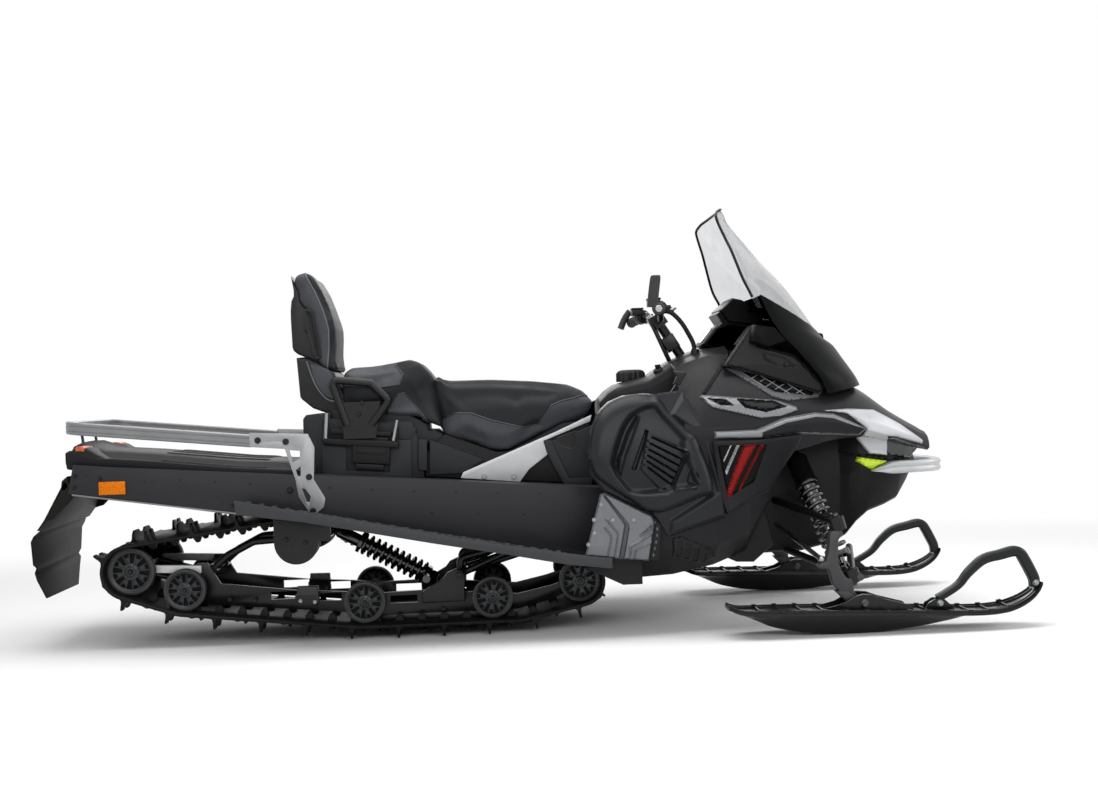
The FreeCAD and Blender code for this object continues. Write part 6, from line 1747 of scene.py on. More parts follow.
handle_bolts = [(362, 403), (359, 414.3)]
handle_face_y = -0.2095
handle_bolt_radius = 0.0065
shell_half = 0.150
lower_half = 0.146
insert_half = 0.158
shell_shares = [(-1.0, 0.93), (-0.95, 1.0), (0.95, 1.0), (1.0, 0.93)]
insert_edge = [(306.5, 361), (311.4, 375.5), (316, 386.2), (322.9, 395.4), (330.5, 400.8), (343, 401.5)]
shell_parts = gather([slab_between(seen_on(shell_outline, None, -shell_half), shell_half, shell_shares),
                      slab_between(seen_on(lower_outline, None, -lower_half), lower_half, shell_shares)])
piece("backrest_shell", shell_parts, shell_plastic, width=soft_edge, corner=30,
      stands_for=["backrest_frame"])
insert = slab_between(seen_on(insert_outline, None, -insert_half), insert_half, seat_side_shares)
piece("backrest_insert", insert, grey_hide, width=round_edge, corner=30)
insert_welt = [Vector((x, -insert_half + welt_radius, z))
               for x, z in seen_on(insert_edge, None, -insert_half)]
piece("backrest_insert_welts", both_sides(tube(curve_through(insert_welt, 5), welt_radius)), thread)
rounded("grab_handles", 0.0, moulded("handle_paint", (17, 17, 19), 0.3, grain=(0.0006, 0.00002),
                                     Specular_IOR_Level=0.3))
piece("grab_handle_bolts", bolts_at(handle_bolts, handle_face_y, handle_bolt_radius), black_paint)
strap_ring = [(306, 310.5), (311, 312.5), (313.5, 323), (320, 353), (319, 357.5), (316, 357), (312, 345),
              (308.5, 331), (305.5, 316)]
strap_y = -0.171
strap_radius = 0.005
knob_pixel = (306.3, 328.5)
knob_profile = [(0, 0), (0.0095, 0), (0.008, 0.022), (0, 0.024)]
strap_points = [Vector((x, strap_y, z)) for x, z in seen_on(smooth_loop(strap_ring, 4), None, strap_y)]
knob_x, knob_z = seen_on([knob_pixel], None, strap_y)[0]
piece("backrest_straps", both_sides(gather([tube(strap_points, strap_radius, sides=8, closed=True),
                                            lathe(knob_profile, Vector((knob_x, -shell_half, knob_z)),
                                                  (0, -1, 0), steps=18, closed=False)])), black_paint)

# The windshield: a tall arched sheet of grey-tinted polycarbonate with a black rubber edge.
# It is screwed to the fairing, whose smoked black visor wraps over its foot on both sides.
screen_levels = [
    # middle X and Z, side X and Z, half width
    ((1.027, 0.966), (0.770, 1.047), 0.288),
    ((0.935, 1.100), (0.745, 1.100), 0.288),
    ((0.880, 1.165), (0.722, 1.149), 0.288),
    ((0.833, 1.212), (0.697, 1.232), 0.262),
    ((0.775, 1.285), (0.682, 1.278), 0.237),
    ((0.727, 1.345), (0.662, 1.335), 0.216),
    ((0.711, 1.384), (0.657, 1.362), 0.206),
    ((0.700, 1.401), (0.668, 1.380), 0.166),
]
visor_levels = [
    ((1.040, 0.948), (0.784, 1.088), 0.287),
    ((1.058, 0.930), (0.806, 1.030), 0.295),
    ((1.082, 0.915), (0.842, 0.965), 0.306),
    ((1.110, 0.872), (0.898, 0.898), 0.318),
    ((1.148, 0.815), (0.965, 0.815), 0.320),
    ((1.164, 0.785), (0.992, 0.756), 0.312),
]
screen_thick = 0.004
visor_thick = 0.006
screen_steps = 6
screen_columns = 28
screen_arch = 1.25
screen_foot_rows = 4
screen_trim_radius = 0.0048
facet_share = 0.25
tab_pixels = [(814.5, 336), (818, 333), (821.5, 334), (823, 342), (819, 344)]


def arched_rows(levels, steps):
    """Rows of points across a sheet that bows forward in the middle, from its foot to its top."""
    middles = curve_through([Vector((mid[0], 0, mid[1])) for mid, _, _ in levels], steps)
    edges = curve_through([Vector((edge[0], wide, edge[1])) for _, edge, wide in levels], steps)
    rows = []
    for mid, edge in zip(middles, edges):
        row = []
        for column in range(screen_columns + 1):
            share = 2 * column / screen_columns - 1
            bow = 1 - share * share
            spot = edge + (mid - edge) * bow
            row.append(Vector((spot.x, edge.y * math.sin(share * screen_arch) / math.sin(screen_arch),
                               spot.z)))
        rows.append(row)
    return rows


def arched_shape(rows, thickness):
    rings = []
    for row in rows:
        back = (row[0] - row[len(row) // 2])
        back = Vector((back.x, 0, back.z)).normalized() * thickness
        rings.append(row + [point + back for point in reversed(row)])
    return loft(rings)


screen_rows = arched_rows(screen_levels, screen_steps)
screen_clear = finish("screen_clear", moulded_skin, (0.74, 0.745, 0.755, 1.0), roughness=0.02,
                      grain_size=0.02, grain_depth=0.0, dust=0.0, Transmission_Weight=1.0, IOR=1.35)
screen = eased(made("windshield_sheet", arched_shape(screen_rows, screen_thick)), thin_edge, segments=2,
               corner=50)
fitted(screen, screen_clear, stands_for=["windshield"])
edge_rows = screen_rows[screen_foot_rows:]
trim_line = [row[0] for row in edge_rows] + screen_rows[-1][1:-1] + [row[-1] for row in reversed(edge_rows)]
piece("windshield_trim", tube(trim_line, screen_trim_radius, sides=10), dark_plastic)
gloss_black = moulded("gloss_black", (13, 14, 14), 0.34, grain=(0.002, 0.00001), Specular_IOR_Level=0.05)
visor = eased(made("fairing_visor", arched_shape(arched_rows(visor_levels, screen_steps), visor_thick)),
              folded_edge, corner=50)
fitted(visor, gloss_black, stands_for=["fairing"])


def cut_block(pixels, face_y, near_y, far_y, waist):
    """A faceted block between two depths: outline from the photograph, drawn in at its outer face."""
    shoulder_y = near_y + (far_y - near_y) * facet_share
    return slab_between(seen_on(pixels, None, face_y), 1.0, [(near_y, waist), (shoulder_y, 1.0),
                                                             (far_y, 1.0)])


# The dashboard: gloss black pods beside a hooded gauge pod, and plates that close the fairing's sides.
# They are moulded plastic, clipped to the console and the hood.
side_pod = [(719.2, 310), (732.6, 297.6), (742.2, 299.5), (764.2, 318.6), (756, 326), (727.8, 322.4)]
lamp_pod = [(754, 324), (775, 326.5), (789, 341.5), (768, 348.5), (750, 342)]
gauge_pod = [(701, 345), (714.4, 327.2), (727.8, 322.4), (752, 326), (760, 345), (742, 356), (716, 352)]
core_outline = [(716, 314), (733, 300), (744, 301.5), (764, 321), (786, 341), (768, 350), (742, 354),
                (706, 346), (714, 330), (722, 323)]
side_pod_form = (-0.09, -0.10, 0.0, 0.92)
lamp_pod_form = (-0.30, -0.312, -0.20, 0.84)
gauge_pod_form = (-0.08, -0.095, 0.0, 0.90)
gauge_pair_form = (-0.08, -0.095, 0.001, 0.90)
core_form = (-0.085, -0.085, 0.0, 0.97)
plate_y = -0.285
plate_lean = (-0.292, 0.25, 0.86)
plate_rise = 0.004
plate_hollow_dent = (0.005, 0.006)
plate_cell = 0.004
plate_skirt = 0.05
plate_bolt = (786, 364.5)
plate_bolt_y = -0.296
plate_bolt_radius = 0.006
tab_shares = [(-0.022, 0.8), (-0.018, 1.0), (0.018, 1.0), (0.022, 0.8)]
glass_pixels = [(703.2, 342.8), (713.6, 328.8)]
glass_y = -0.08
glass_sink = 0.001
glass_halves = (0.062, 0.058)
glass_thick = Vector((-0.004, 0, 0.003))
glass_bevel = 0.002
side_plate = [(752, 327), (758.4, 345), (794.8, 355.5), (824, 386.5), (819, 393), (738, 368.5), (724, 366)]
plate_dent = [(762, 351), (784, 357), (798, 368), (776, 366), (764, 360)]
pods = [cut_block(side_pod, *side_pod_form), cut_block(lamp_pod, *lamp_pod_form)]
piece("dash_side_pods", both_sides(gather(pods)), gloss_black, width=moulded_edge,
      segments=2, corner=20, stands_for=["dash_pod"])
piece("dash_gauge_pod", cut_block(gauge_pod, *gauge_pod_form), gloss_black,
      width=soft_edge, corner=20)
piece("dash_gauge_pod_left", both_sides(cut_block(gauge_pod, *gauge_pair_form)), gloss_black,
      width=soft_edge, corner=20)
plate_outline = seen_on(side_plate, None, plate_y)
plate_hollow = seen_on(plate_dent, None, plate_y)


def plate_depth(spots):
    """The plate leans in towards its top."""
    foot_y, slope, level = plate_lean
    return foot_y + slope * np.clip(np.asarray(spots)[:, 1] - level, 0, 1)


plate_sheet = both_sides(sheet_shape(plate_outline, plate_cell, plate_depth, lambda spots: plate_rise
                                     - raised(spots, plate_hollow, *plate_hollow_dent), plate_skirt))
piece("fairing_side_plates", plate_sheet, dark_plastic)
piece("fairing_bolts", bolts_at([plate_bolt], plate_bolt_y, plate_bolt_radius), black_paint)
piece("windshield_tab", slab_between(seen_on(tab_pixels, None, 0.0), 1.0, tab_shares), gloss_black,
      width=thin_edge, corner=25)
piece("dash_core", both_sides(cut_block(core_outline, *core_form)), gloss_black,
      width=moulded_edge, corner=20)
glass_low, glass_high = [Vector((x - glass_sink, 0, z)) for x, z in seen_on(glass_pixels, None, glass_y)]
glass_rings = []
for sink, shift in ((0.0, Vector((0, 0, 0))), (glass_bevel, glass_thick)):
    low_half, high_half = glass_halves[0] - sink, glass_halves[1] - sink
    glass_rings.append([glass_low + Vector((0, -low_half, 0)) + shift, glass_low + Vector((0, low_half, 0))
                        + shift, glass_high + Vector((0, high_half, 0)) + shift,
                        glass_high + Vector((0, -high_half, 0)) + shift])
screen_face = loft(glass_rings)
piece("gauge_screen", screen_face, lens_plastic, width=moulded_edge, corner=30)

# The console: the moulded tank cover between the knees, with a ribbed cap, a switch and the starter's
# T-handle in its guide on the right shoulder.
cap_centre = Vector((0.3755, 0.0, 0.832))
cap_profile = [(0, 0.029), (0.033, 0.029), (0.042, 0.025), (0.0485, 0.016), (0.0485, -0.012), (0, -0.012)]
console_line = [(597, 399), (604, 391), (612.9, 384.7), (630, 380), (644.3, 376.5), (655, 369),
                (665.7, 362), (676, 357), (687.5, 352), (699, 349), (720, 345)]
console_wide = [(0.20, 0.090), (0.33, 0.135), (0.42, 0.150), (0.72, 0.150)]
console_foot = 0.60
cap_knurl_share = 0.05
cap_knurl_from = 0.036
switch_profile = [(0, 0), (0.017, 0), (0.017, 0.012), (0.012, 0.016), (0, 0.016)]
switch_place = (0.462, -0.10, 0.846)
switch_axis = (-0.35, -0.3, 1)
switch_toggle = [(0.449, -0.104, 0.866), (0.467, -0.112, 0.868)]
switch_toggle_size = (0.005, 0.014)
pull_pixels = [(673.5, 370.6), (686.8, 372.2), (685.6, 375.2), (679.8, 385), (673, 384), (676.6, 376.5),
               (674, 373.6)]
pull_form = (-0.322, -0.330, -0.316, 0.92)
rope_pixels = [(676.4, 383), (672, 390), (667, 397.5)]
rope_ys = (-0.323, -0.324, -0.318)
rope_radius = 0.0022
console_shares = [(1.0, 0.30), (1.0, 0.84), (0.93, 0.93), (0.62, 0.985), (0.28, 1.0)]
cap_lobes = 18
console_rings = []
for x, top in seen_on(console_line, None, 0.0):
    half = float(np.interp(x, *zip(*console_wide)))
    side = [(-half * across, console_foot + (top - console_foot) * up)
            for across, up in [(1.0, 0.0)] + console_shares]
    console_rings.append([Vector((x, y, z)) for y, z in side + [(-y, z) for y, z in reversed(side)]])
piece("console_shell", loft(console_rings), hood_plastic, width=broad_edge, corner=12,
      stands_for=["console"])
cap = lathe(cap_profile, cap_centre, (0, 0, 1), steps=cap_lobes * 4, closed=False)
knurled = []
for point in cap[0]:
    beta = math.atan2(point.y - cap_centre.y, point.x - cap_centre.x)
    reach = math.hypot(point.y - cap_centre.y, point.x - cap_centre.x)
    swell = 1.0 + (cap_knurl_share * math.cos(cap_lobes * beta) if reach > cap_knurl_from else 0.0)
    knurled.append(Vector((cap_centre.x + (point.x - cap_centre.x) * swell, (point.y - cap_centre.y)
                           * swell, point.z)))
piece("fuel_cap_knob", (knurled, cap[1]), dark_plastic, corner=50, stands_for=["fuel_cap"])
piece("console_switch", gather([lathe(switch_profile, switch_place, switch_axis, steps=24, closed=False),
                                bar(Vector(switch_toggle[0]), Vector(switch_toggle[1]), *switch_toggle_size,
                                    (0, 1, 0.2))]), dark_plastic, width=thin_edge)
pull_shape = cut_block(pull_pixels, *pull_form)
piece("starter_handle", pull_shape, black_paint, width=sheet_edge, corner=30,
      stands_for=["pull_handle"])
rope_line = [Vector((x, y, z)) for (x, z), y in zip(seen_on(rope_pixels, None, pull_form[0]), rope_ys)]
piece("starter_rope", tube(rope_line, rope_radius, sides=8), thread)

# The handlebar: a bent black tube in a clamp on the raked post, with ribbed grips, a tall hook and levers.
# A curved horn ends the left grip, a lever and its case sit by each grip, and one cable drops to the dash.
post_top = Vector((0.535, 0, 0.934))
post_rake = math.radians(32.5)
stem_length = 0.112
tip_offset = Vector((-0.046, 0.395, 0.017))
elbow_offset = Vector((-0.0115, 0.1817, 0.034))
bar_centre = post_top + Vector((-math.sin(post_rake), 0, math.cos(post_rake))) * stem_length
bar_tip = bar_centre + tip_offset
bar_elbow = bar_centre + elbow_offset
grip_along = (bar_tip - bar_elbow).normalized()
hook_points = [(0.413, -0.388, 1.056), (0.4145, -0.389, 1.085), (0.4185, -0.390, 1.115),
               (0.422, -0.390, 1.138), (0.424, -0.390, 1.153)]
hook_half = (0.0175, 0.0125)
hook_taper = 0.30
hook_taper_power = 9
horn_points = [(0.423, 0.378, 1.088), (0.412, 0.382, 1.075), (0.398, 0.384, 1.052), (0.386, 0.382, 1.024)]
horn_radius = 0.0125
end_profile = [(0, 0.0), (0.017, 0.0), (0.0185, 0.003), (0.0185, 0.012), (0.016, 0.014), (0, 0.014)]
cap_disc = [(0, 0.0), (0.011, 0.0), (0.011, 0.0045), (0.009, 0.006), (0, 0.006)]
second_points = [(0.445, -0.030, 1.036), (0.511, -0.030, 0.882)]
second_radius = 0.008
clamp_points = [(0.500, 0.0, 0.972), (0.528, 0.0, 0.926)]
clamp_size = (0.095, 0.046)
cable_points = [(0.489, -0.10, 1.056), (0.515, -0.10, 1.047), (0.545, -0.10, 1.015), (0.570, -0.10, 0.972),
                (0.584, -0.10, 0.940), (0.588, -0.10, 0.905)]
cable_radius = 0.0078
grip_rings = 9
grip_rubber = finish("grip_rubber", rubber_skin, (24, 24, 25), bloom=0.2, roughness=0.6)
cast_metal = finish("cast_metal", metal_skin, (58, 58, 60), roughness=0.5, lines=0.00003, Metallic=0.3)
for node, look in (("steering_post", black_paint), ("handlebar", black_paint), ("engine", cast_metal)):
    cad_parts[node].data.materials.clear()
    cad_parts[node].data.materials.append(look)
grip_collar = [(0.0, 0.0), (0.0185, 0.0), (0.0215, 0.003), (0.0215, 0.006), (0.017, 0.008)]
grip_ring = [(0.0166, 0.0), (0.0166, 0.003), (0.0182, 0.0045), (0.0182, 0.0095)]
grip_end = [(0.0175, 0.116), (0.0190, 0.119), (0.0160, 0.1215), (0.0, 0.1215)]
grip_ring_start = 0.010
grip_ring_pitch = 0.0115
grip_length = 0.120
end_overrun = 0.006
case_back = 0.052
lever_pivot = (0.016, Vector((0.037, 0, -0.002)))
lever_bends = [(0.035, Vector((0.012, 0, 0))), (0.085, Vector((0.004, 0, -0.004))),
               (0.118, Vector((0.008, 0, -0.006)))]
lever_half = (0.0095, 0.0045)
lever_taper = 0.004
lever_clamp_back = 0.014
lever_clamp_size = (0.020, 0.022)
reservoir_spot = (0.018, Vector((-0.030, 0, 0.022)))
reservoir_bars = [(-0.026, 0.024, -0.006, 0.040, 0.022), (-0.028, 0.026, 0.008, 0.044, 0.006)]
reservoir_shift = 0.010
clamp_bolt_spot = Vector((-0.0135, 0, 0.0215))
clamp_bolt_ys = (-0.04, -0.015, 0.015, 0.04)
clamp_bolt_step = Vector((0.014, 0, 0.0084))
clamp_bolt_radius = 0.005
grip_profile = list(grip_collar)
for ring_number in range(grip_rings):
    ring_foot = grip_ring_start + ring_number * grip_ring_pitch
    grip_profile += [(radius, ring_foot + along) for radius, along in grip_ring]
grip_profile += grip_end
grip_start = bar_tip - grip_along * grip_length
hook_line = curve_through([Vector(spot) for spot in hook_points], 6)
hook_rings = []
for index, spot in enumerate(hook_line):
    grow = 1.0 - hook_taper * (index / len(hook_line)) ** hook_taper_power
    hook_rings.append([spot + Vector((math.cos(b) * hook_half[0], math.sin(b) * hook_half[1], 0)) * grow
                       for b in np.linspace(0, 2 * math.pi, 17)[:-1]])
end_ring = lathe(end_profile, (bar_tip.x, -bar_tip.y + end_overrun, bar_tip.z), (0, -1, 0), steps=24,
                 closed=False)
horn = tube(curve_through([Vector(spot) for spot in horn_points], 6), horn_radius, sides=14)
piece("grip_covers", gather([both_sides(lathe(grip_profile, grip_start, grip_along, steps=28,
                                              closed=False)), loft(hook_rings), end_ring, horn]),
      grip_rubber, corner=50, body="handlebar_set", stands_for=["grips"])
piece("bar_end_cap", lathe(cap_disc, (bar_tip.x, -bar_tip.y - end_overrun, bar_tip.z), (0, -1, 0), steps=24,
                           closed=False), bolt_steel, body="handlebar_set")
second_tube = tube([Vector(spot) for spot in second_points], second_radius, sides=12)
clamp_block = bar(Vector(clamp_points[0]), Vector(clamp_points[1]), *clamp_size, (0, 1, 0))
piece("bar_stem", gather([second_tube, clamp_block]), black_paint, width=crisp_edge,
      corner=40, body="handlebar_set")
case_start = grip_start - grip_along * case_back
case_profile = [(0, 0), (0.022, 0), (0.025, 0.004), (0.025, 0.020), (0.021, 0.024), (0.025, 0.028),
                (0.025, 0.044), (0.022, 0.048), (0, 0.048)]
cases = lathe(case_profile, case_start, grip_along, steps=24, closed=False)
pivot = case_start + grip_along * lever_pivot[0] + lever_pivot[1]
lever_line = curve_through([pivot] + [pivot + grip_along * reach + shift for reach, shift in lever_bends],
                           6)
lever_rings = []
for index, spot in enumerate(lever_line):
    wide = lever_half[0] - lever_taper * index / len(lever_line)
    lever_rings.append([spot + Vector((math.cos(b) * wide, 0, math.sin(b) * lever_half[1]))
                        for b in np.linspace(0, 2 * math.pi, 11)[:-1]])
levers = loft(lever_rings)
lever_clamp = bar(case_start + grip_along * lever_clamp_back, pivot, *lever_clamp_size, grip_along)
reservoir_at = case_start + grip_along * reservoir_spot[0] + reservoir_spot[1]
reservoir = gather([bar(reservoir_at + Vector((reservoir_shift, low, rise)),
                        reservoir_at + Vector((reservoir_shift, high, rise)), wide, tall, (1, 0, 0))
                    for low, high, rise, wide, tall in reservoir_bars])
piece("lever_sets", both_sides(gather([levers, lever_clamp])), black_paint, width=thin_edge,
      corner=50, body="handlebar_set", stands_for=["bar_controls"])
piece("switch_cases", both_sides(gather([cases, reservoir])), dark_plastic,
      width=folded_edge, corner=40, body="handlebar_set")
clamp_bolts = [bolt(bar_centre + clamp_bolt_spot + Vector((0, y, 0)) + clamp_bolt_step * side,
                    (-math.sin(post_rake), 0, math.cos(post_rake)), clamp_bolt_radius)
               for y in clamp_bolt_ys for side in (-1, 1)]
piece("bar_clamp_bolts", gather(clamp_bolts), bolt_steel, body="handlebar_set")
cable_line = curve_through([Vector(spot) for spot in cable_points], 10)
cable = eased(made("bar_cable", tube(cable_line, cable_radius, sides=12)), 0.0)
cable.data.materials.clear()
cable.data.materials.append(dark_plastic)
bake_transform(cable)
grommet_profile = [(0, 0), (0.016, 0), (0.013, 0.018), (0, 0.020)]
grommet_axis = (0.1, 0, 1)
piece("cable_grommet", lathe(grommet_profile, cable_points[-1], grommet_axis, steps=20, closed=False),
      dark_plastic)

# The front suspension: two tube arms a side on the frame, a coil-over damper, and a raked cast spindle.
# The damper's spring is wound of painted steel wire between two seats, round a bright piston rod.
damper_head = Vector((0.884, -0.226, 0.566))
damper_foot = Vector((1.002, -0.388, 0.196))
damper_sizes = {"spring": 0.0400, "wire": 0.0065, "turns": 10, "body": 0.0360, "rod": 0.0085, "eye": 0.017}
skid_damper_head = Vector((-0.672, -0.02, 0.352))
skid_damper_foot = Vector((-0.335, -0.02, 0.170))
body_shares = [(0, 0, 0.03), (0.7, 0, 0.04), (1.0, 0, 0.07), (1.0, 0, 0.26), (0, 1.0, 0.27), (0, 1.0, 0.30),
               (0.8, 0, 0.31), (0.8, 0, 0.60), (0, 0, 0.60)]
seat_shares = [(0, 0, 0.895), (1.0, 0, 0.895), (0.95, 0, 0.915), (0, 1.6, 0.925), (0, 1.6, 0.97),
               (0, 0, 0.97)]
spring_span_shares = (0.30, 0.90)
rod_span_shares = (0.58, 0.92)
eye_bore_share = 0.45
eye_half = 0.014
skid_damper_sizes = {"spring": 0.0385, "wire": 0.0060, "turns": 10, "body": 0.0220, "rod": 0.0160,
                     "eye": 0.020}


def damper_shapes(head, foot, sizes):
    """The painted body and spring of a coil-over damper, and its bright rod, from upper eye to lower eye."""
    along = (foot - head).normalized()
    length = (foot - head).length
    side = along.orthogonal().normalized()
    up = along.cross(side)
    seat_high, seat_low = [length * share for share in spring_span_shares]
    spring = []
    steps = sizes["turns"] * 20
    for step in range(steps + 1):
        share = step / steps
        beta = 2 * math.pi * sizes["turns"] * share
        out = side * math.cos(beta) + up * math.sin(beta)
        spring.append(head + along * (seat_high + (seat_low - seat_high) * share) + out
                      * (sizes["spring"] - sizes["wire"]))
    coil = tube(spring, sizes["wire"], sides=8)
    body = lathe([(sizes["body"] * can + sizes["spring"] * wide, length * share)
                  for can, wide, share in body_shares], head, along, steps=28, closed=False)
    seat = lathe([(sizes["spring"] * wide + sizes["rod"] * thin, length * share)
                  for wide, thin, share in seat_shares], head, along, steps=28, closed=False)
    bore, rim = sizes["eye"] * eye_bore_share, sizes["eye"]
    eyes = [lathe([(bore, -eye_half), (rim, -eye_half), (rim, eye_half), (bore, eye_half)], place,
                  side if abs(side.x) < 0.5 else up, steps=24) for place in (head, foot)]
    top, end = [length * share for share in rod_span_shares]
    piston = lathe([(0, top), (sizes["rod"], top), (sizes["rod"], end), (0, end)], head, along, steps=20,
                   closed=False)
    return gather([coil, body, seat] + eyes), piston


gloss_paint = moulded("gloss_paint", (12, 12, 14), 0.12, grain=(0.0012, 0.00001), Specular_IOR_Level=0.9)
painted, bright = damper_shapes(damper_head, damper_foot, damper_sizes)
piece("front_dampers", both_sides(painted), gloss_paint, corner=45,
      stands_for=["front_shocks"])
piece("front_damper_rods", both_sides(bright), bolt_steel, corner=45)
painted, bright = damper_shapes(skid_damper_head, skid_damper_foot, skid_damper_sizes)
piece("skid_damper", painted, gloss_paint, corner=45)
piece("skid_damper_rod", bright, gloss_paint, corner=45)
rounded("front_arms", 0.0, black_paint)
spindle_outline = [(829.6, 533), (833, 530.6), (841.5, 530.6), (843.5, 534.5), (839.8, 537), (838.3, 541),
                   (838, 553.6), (838.2, 562.5), (841.6, 570.5), (846, 576.8), (849, 578.6), (854.1, 576.8),
                   (860.4, 573.2), (863.9, 575.9), (864, 579.5), (858.6, 582.1), (853.2, 585), (854.1, 591),
                   (860.5, 600.4), (851.0, 603.0), (846, 597.6), (833.6, 585), (831.3, 577.7),
                   (828.7, 568.8), (819.3, 568.8), (818.4, 564.3), (826.4, 561.6), (828.2, 552.7),
                   (829.1, 544.6)]
spindle_faces = (-0.474, -0.434)
king_top = Vector((0.968, -0.452, 0.345))
king_foot = Vector((1.010, -0.452, 0.178))
king_line = (king_top - king_foot).normalized()
joint_profile = [(0, -0.024), (0.012, -0.024), (0.014, -0.019), (0.021, -0.017), (0.022, 0.014),
                 (0.013, 0.017), (0.013, 0.023), (0, 0.025)]
spindle_foot = [(834, 590), (846, 590), (861, 601), (850, 605)]
spindle_foot_faces = (-0.478, -0.426)
spindle_seen_y = -0.470
king_bolt_out = 0.026
king_bolt_radius = 0.008
spindle_whole = gather([slab_between(seen_on(spindle_outline, None, spindle_seen_y), 1.0,
                                     [(y, 1.0) for y in spindle_faces]),
                        slab_between(seen_on(spindle_foot, None, king_top.y), 1.0,
                                     [(y, 1.0) for y in spindle_foot_faces])])
knuckles = gather([lathe(joint_profile, king_top, king_line, steps=24, closed=False),
                   lathe(joint_profile, king_foot, king_line, steps=24, closed=False),
                   bolt(king_top + king_line * king_bolt_out, king_line, king_bolt_radius),
                   bolt(king_foot - king_line * king_bolt_out, -king_line, king_bolt_radius)])
for side_name, sign in (("right", 1), ("left", -1)):
    for label, (points, faces), material, slot, width in (
            ("spindle_casting_", spindle_whole, cast_metal, "cast_metal", soft_edge),
            ("spindle_joints_", knuckles, gloss_paint, "black_metal", 0.0)):
        turned = [Vector((p[0], p[1] * sign, p[2])) for p in points]
        piece(label + side_name, (turned, faces), material, width=width, corner=30,
              body="ski_leg_" + side_name, stands_for=["spindle_" + side_name]
              if label == "spindle_casting_" else [])
for side_name in ("left", "right"):
    rounded("tie_rod_" + side_name, 0.0, bolt_steel, "tie_rod_" + side_name)

# The skis: black moulded blades with a smooth keel, raised edges and ribbed decks, and the spindle's saddles.
# A flat-section loop handle is bolted to each tip, and a steel bolt carries the ski.
ski_stations = [
    # x, height of the deck's edge, half width, height of the keel
    (0.604, 0.092, 0.040, 0.090), (0.640, 0.078, 0.062, 0.076), (0.690, 0.074, 0.073, 0.054),
    (0.745, 0.073, 0.077, 0.031), (0.830, 0.071, 0.078, 0.012), (0.930, 0.068, 0.078, 0.002),
    (0.990, 0.066, 0.078, 0.0003), (1.080, 0.062, 0.078, 0.003), (1.200, 0.057, 0.077, 0.014),
    (1.300, 0.052, 0.076, 0.030), (1.380, 0.049, 0.073, 0.0455), (1.440, 0.050, 0.069, 0.0475),
    (1.490, 0.056, 0.062, 0.054), (1.535, 0.071, 0.054, 0.069), (1.570, 0.091, 0.046, 0.089),
    (1.592, 0.112, 0.040, 0.110), (1.604, 0.130, 0.034, 0.128)]
ski_centre_y = -0.470
deck_thick = 0.009
rail_inset = 0.010
keel_half = 0.020
rib_pitch = 0.066
rib_span = (0.70, 1.52)
knob_size = (0.014, 0.009, 0.012)
keel_shares = [(0.012, 0.30), (0.016, 0.86)]
keel_narrow_share = 0.6
deck_flat_share = 0.3
lip_half = 0.002
lip_lift = 0.003
side_lean = 0.001
rail_end_x = 1.585
rail_rows = [(0.010, 0.0025, 0.007), (0.030, 0.0020, 0.0049)]
rail_sink = 0.002
rail_least = 0.004
rail_top_share = 0.7
slope_reach = 0.01
rib_lift = 0.001
rib_size = (0.005, 0.009)
knob_lift = 0.004
knob_slope_share = 0.7
handle_line_pixels = [(937.6, 598.0), (957.1, 585.6), (968.6, 571.8), (983.0, 559.4), (1000, 554.4),
                      (1013, 551.0), (1019.5, 552.8), (1023.4, 558.4), (1029.2, 569.0), (1033.6, 578.6),
                      (1033.8, 586.5)]
handle_shares = [0.85, 0.85, 1.0, 1.1, 1.15, 1.2, 1.2, 1.25, 1.25, 1.2, 1.0]
handle_flat = (0.0135, 0.015)


def table_at(table, x, column):
    """A station table's value at X, read along a smooth curve."""
    return float(np.interp(x, [row[0] for row in table], [row[column] for row in table]))


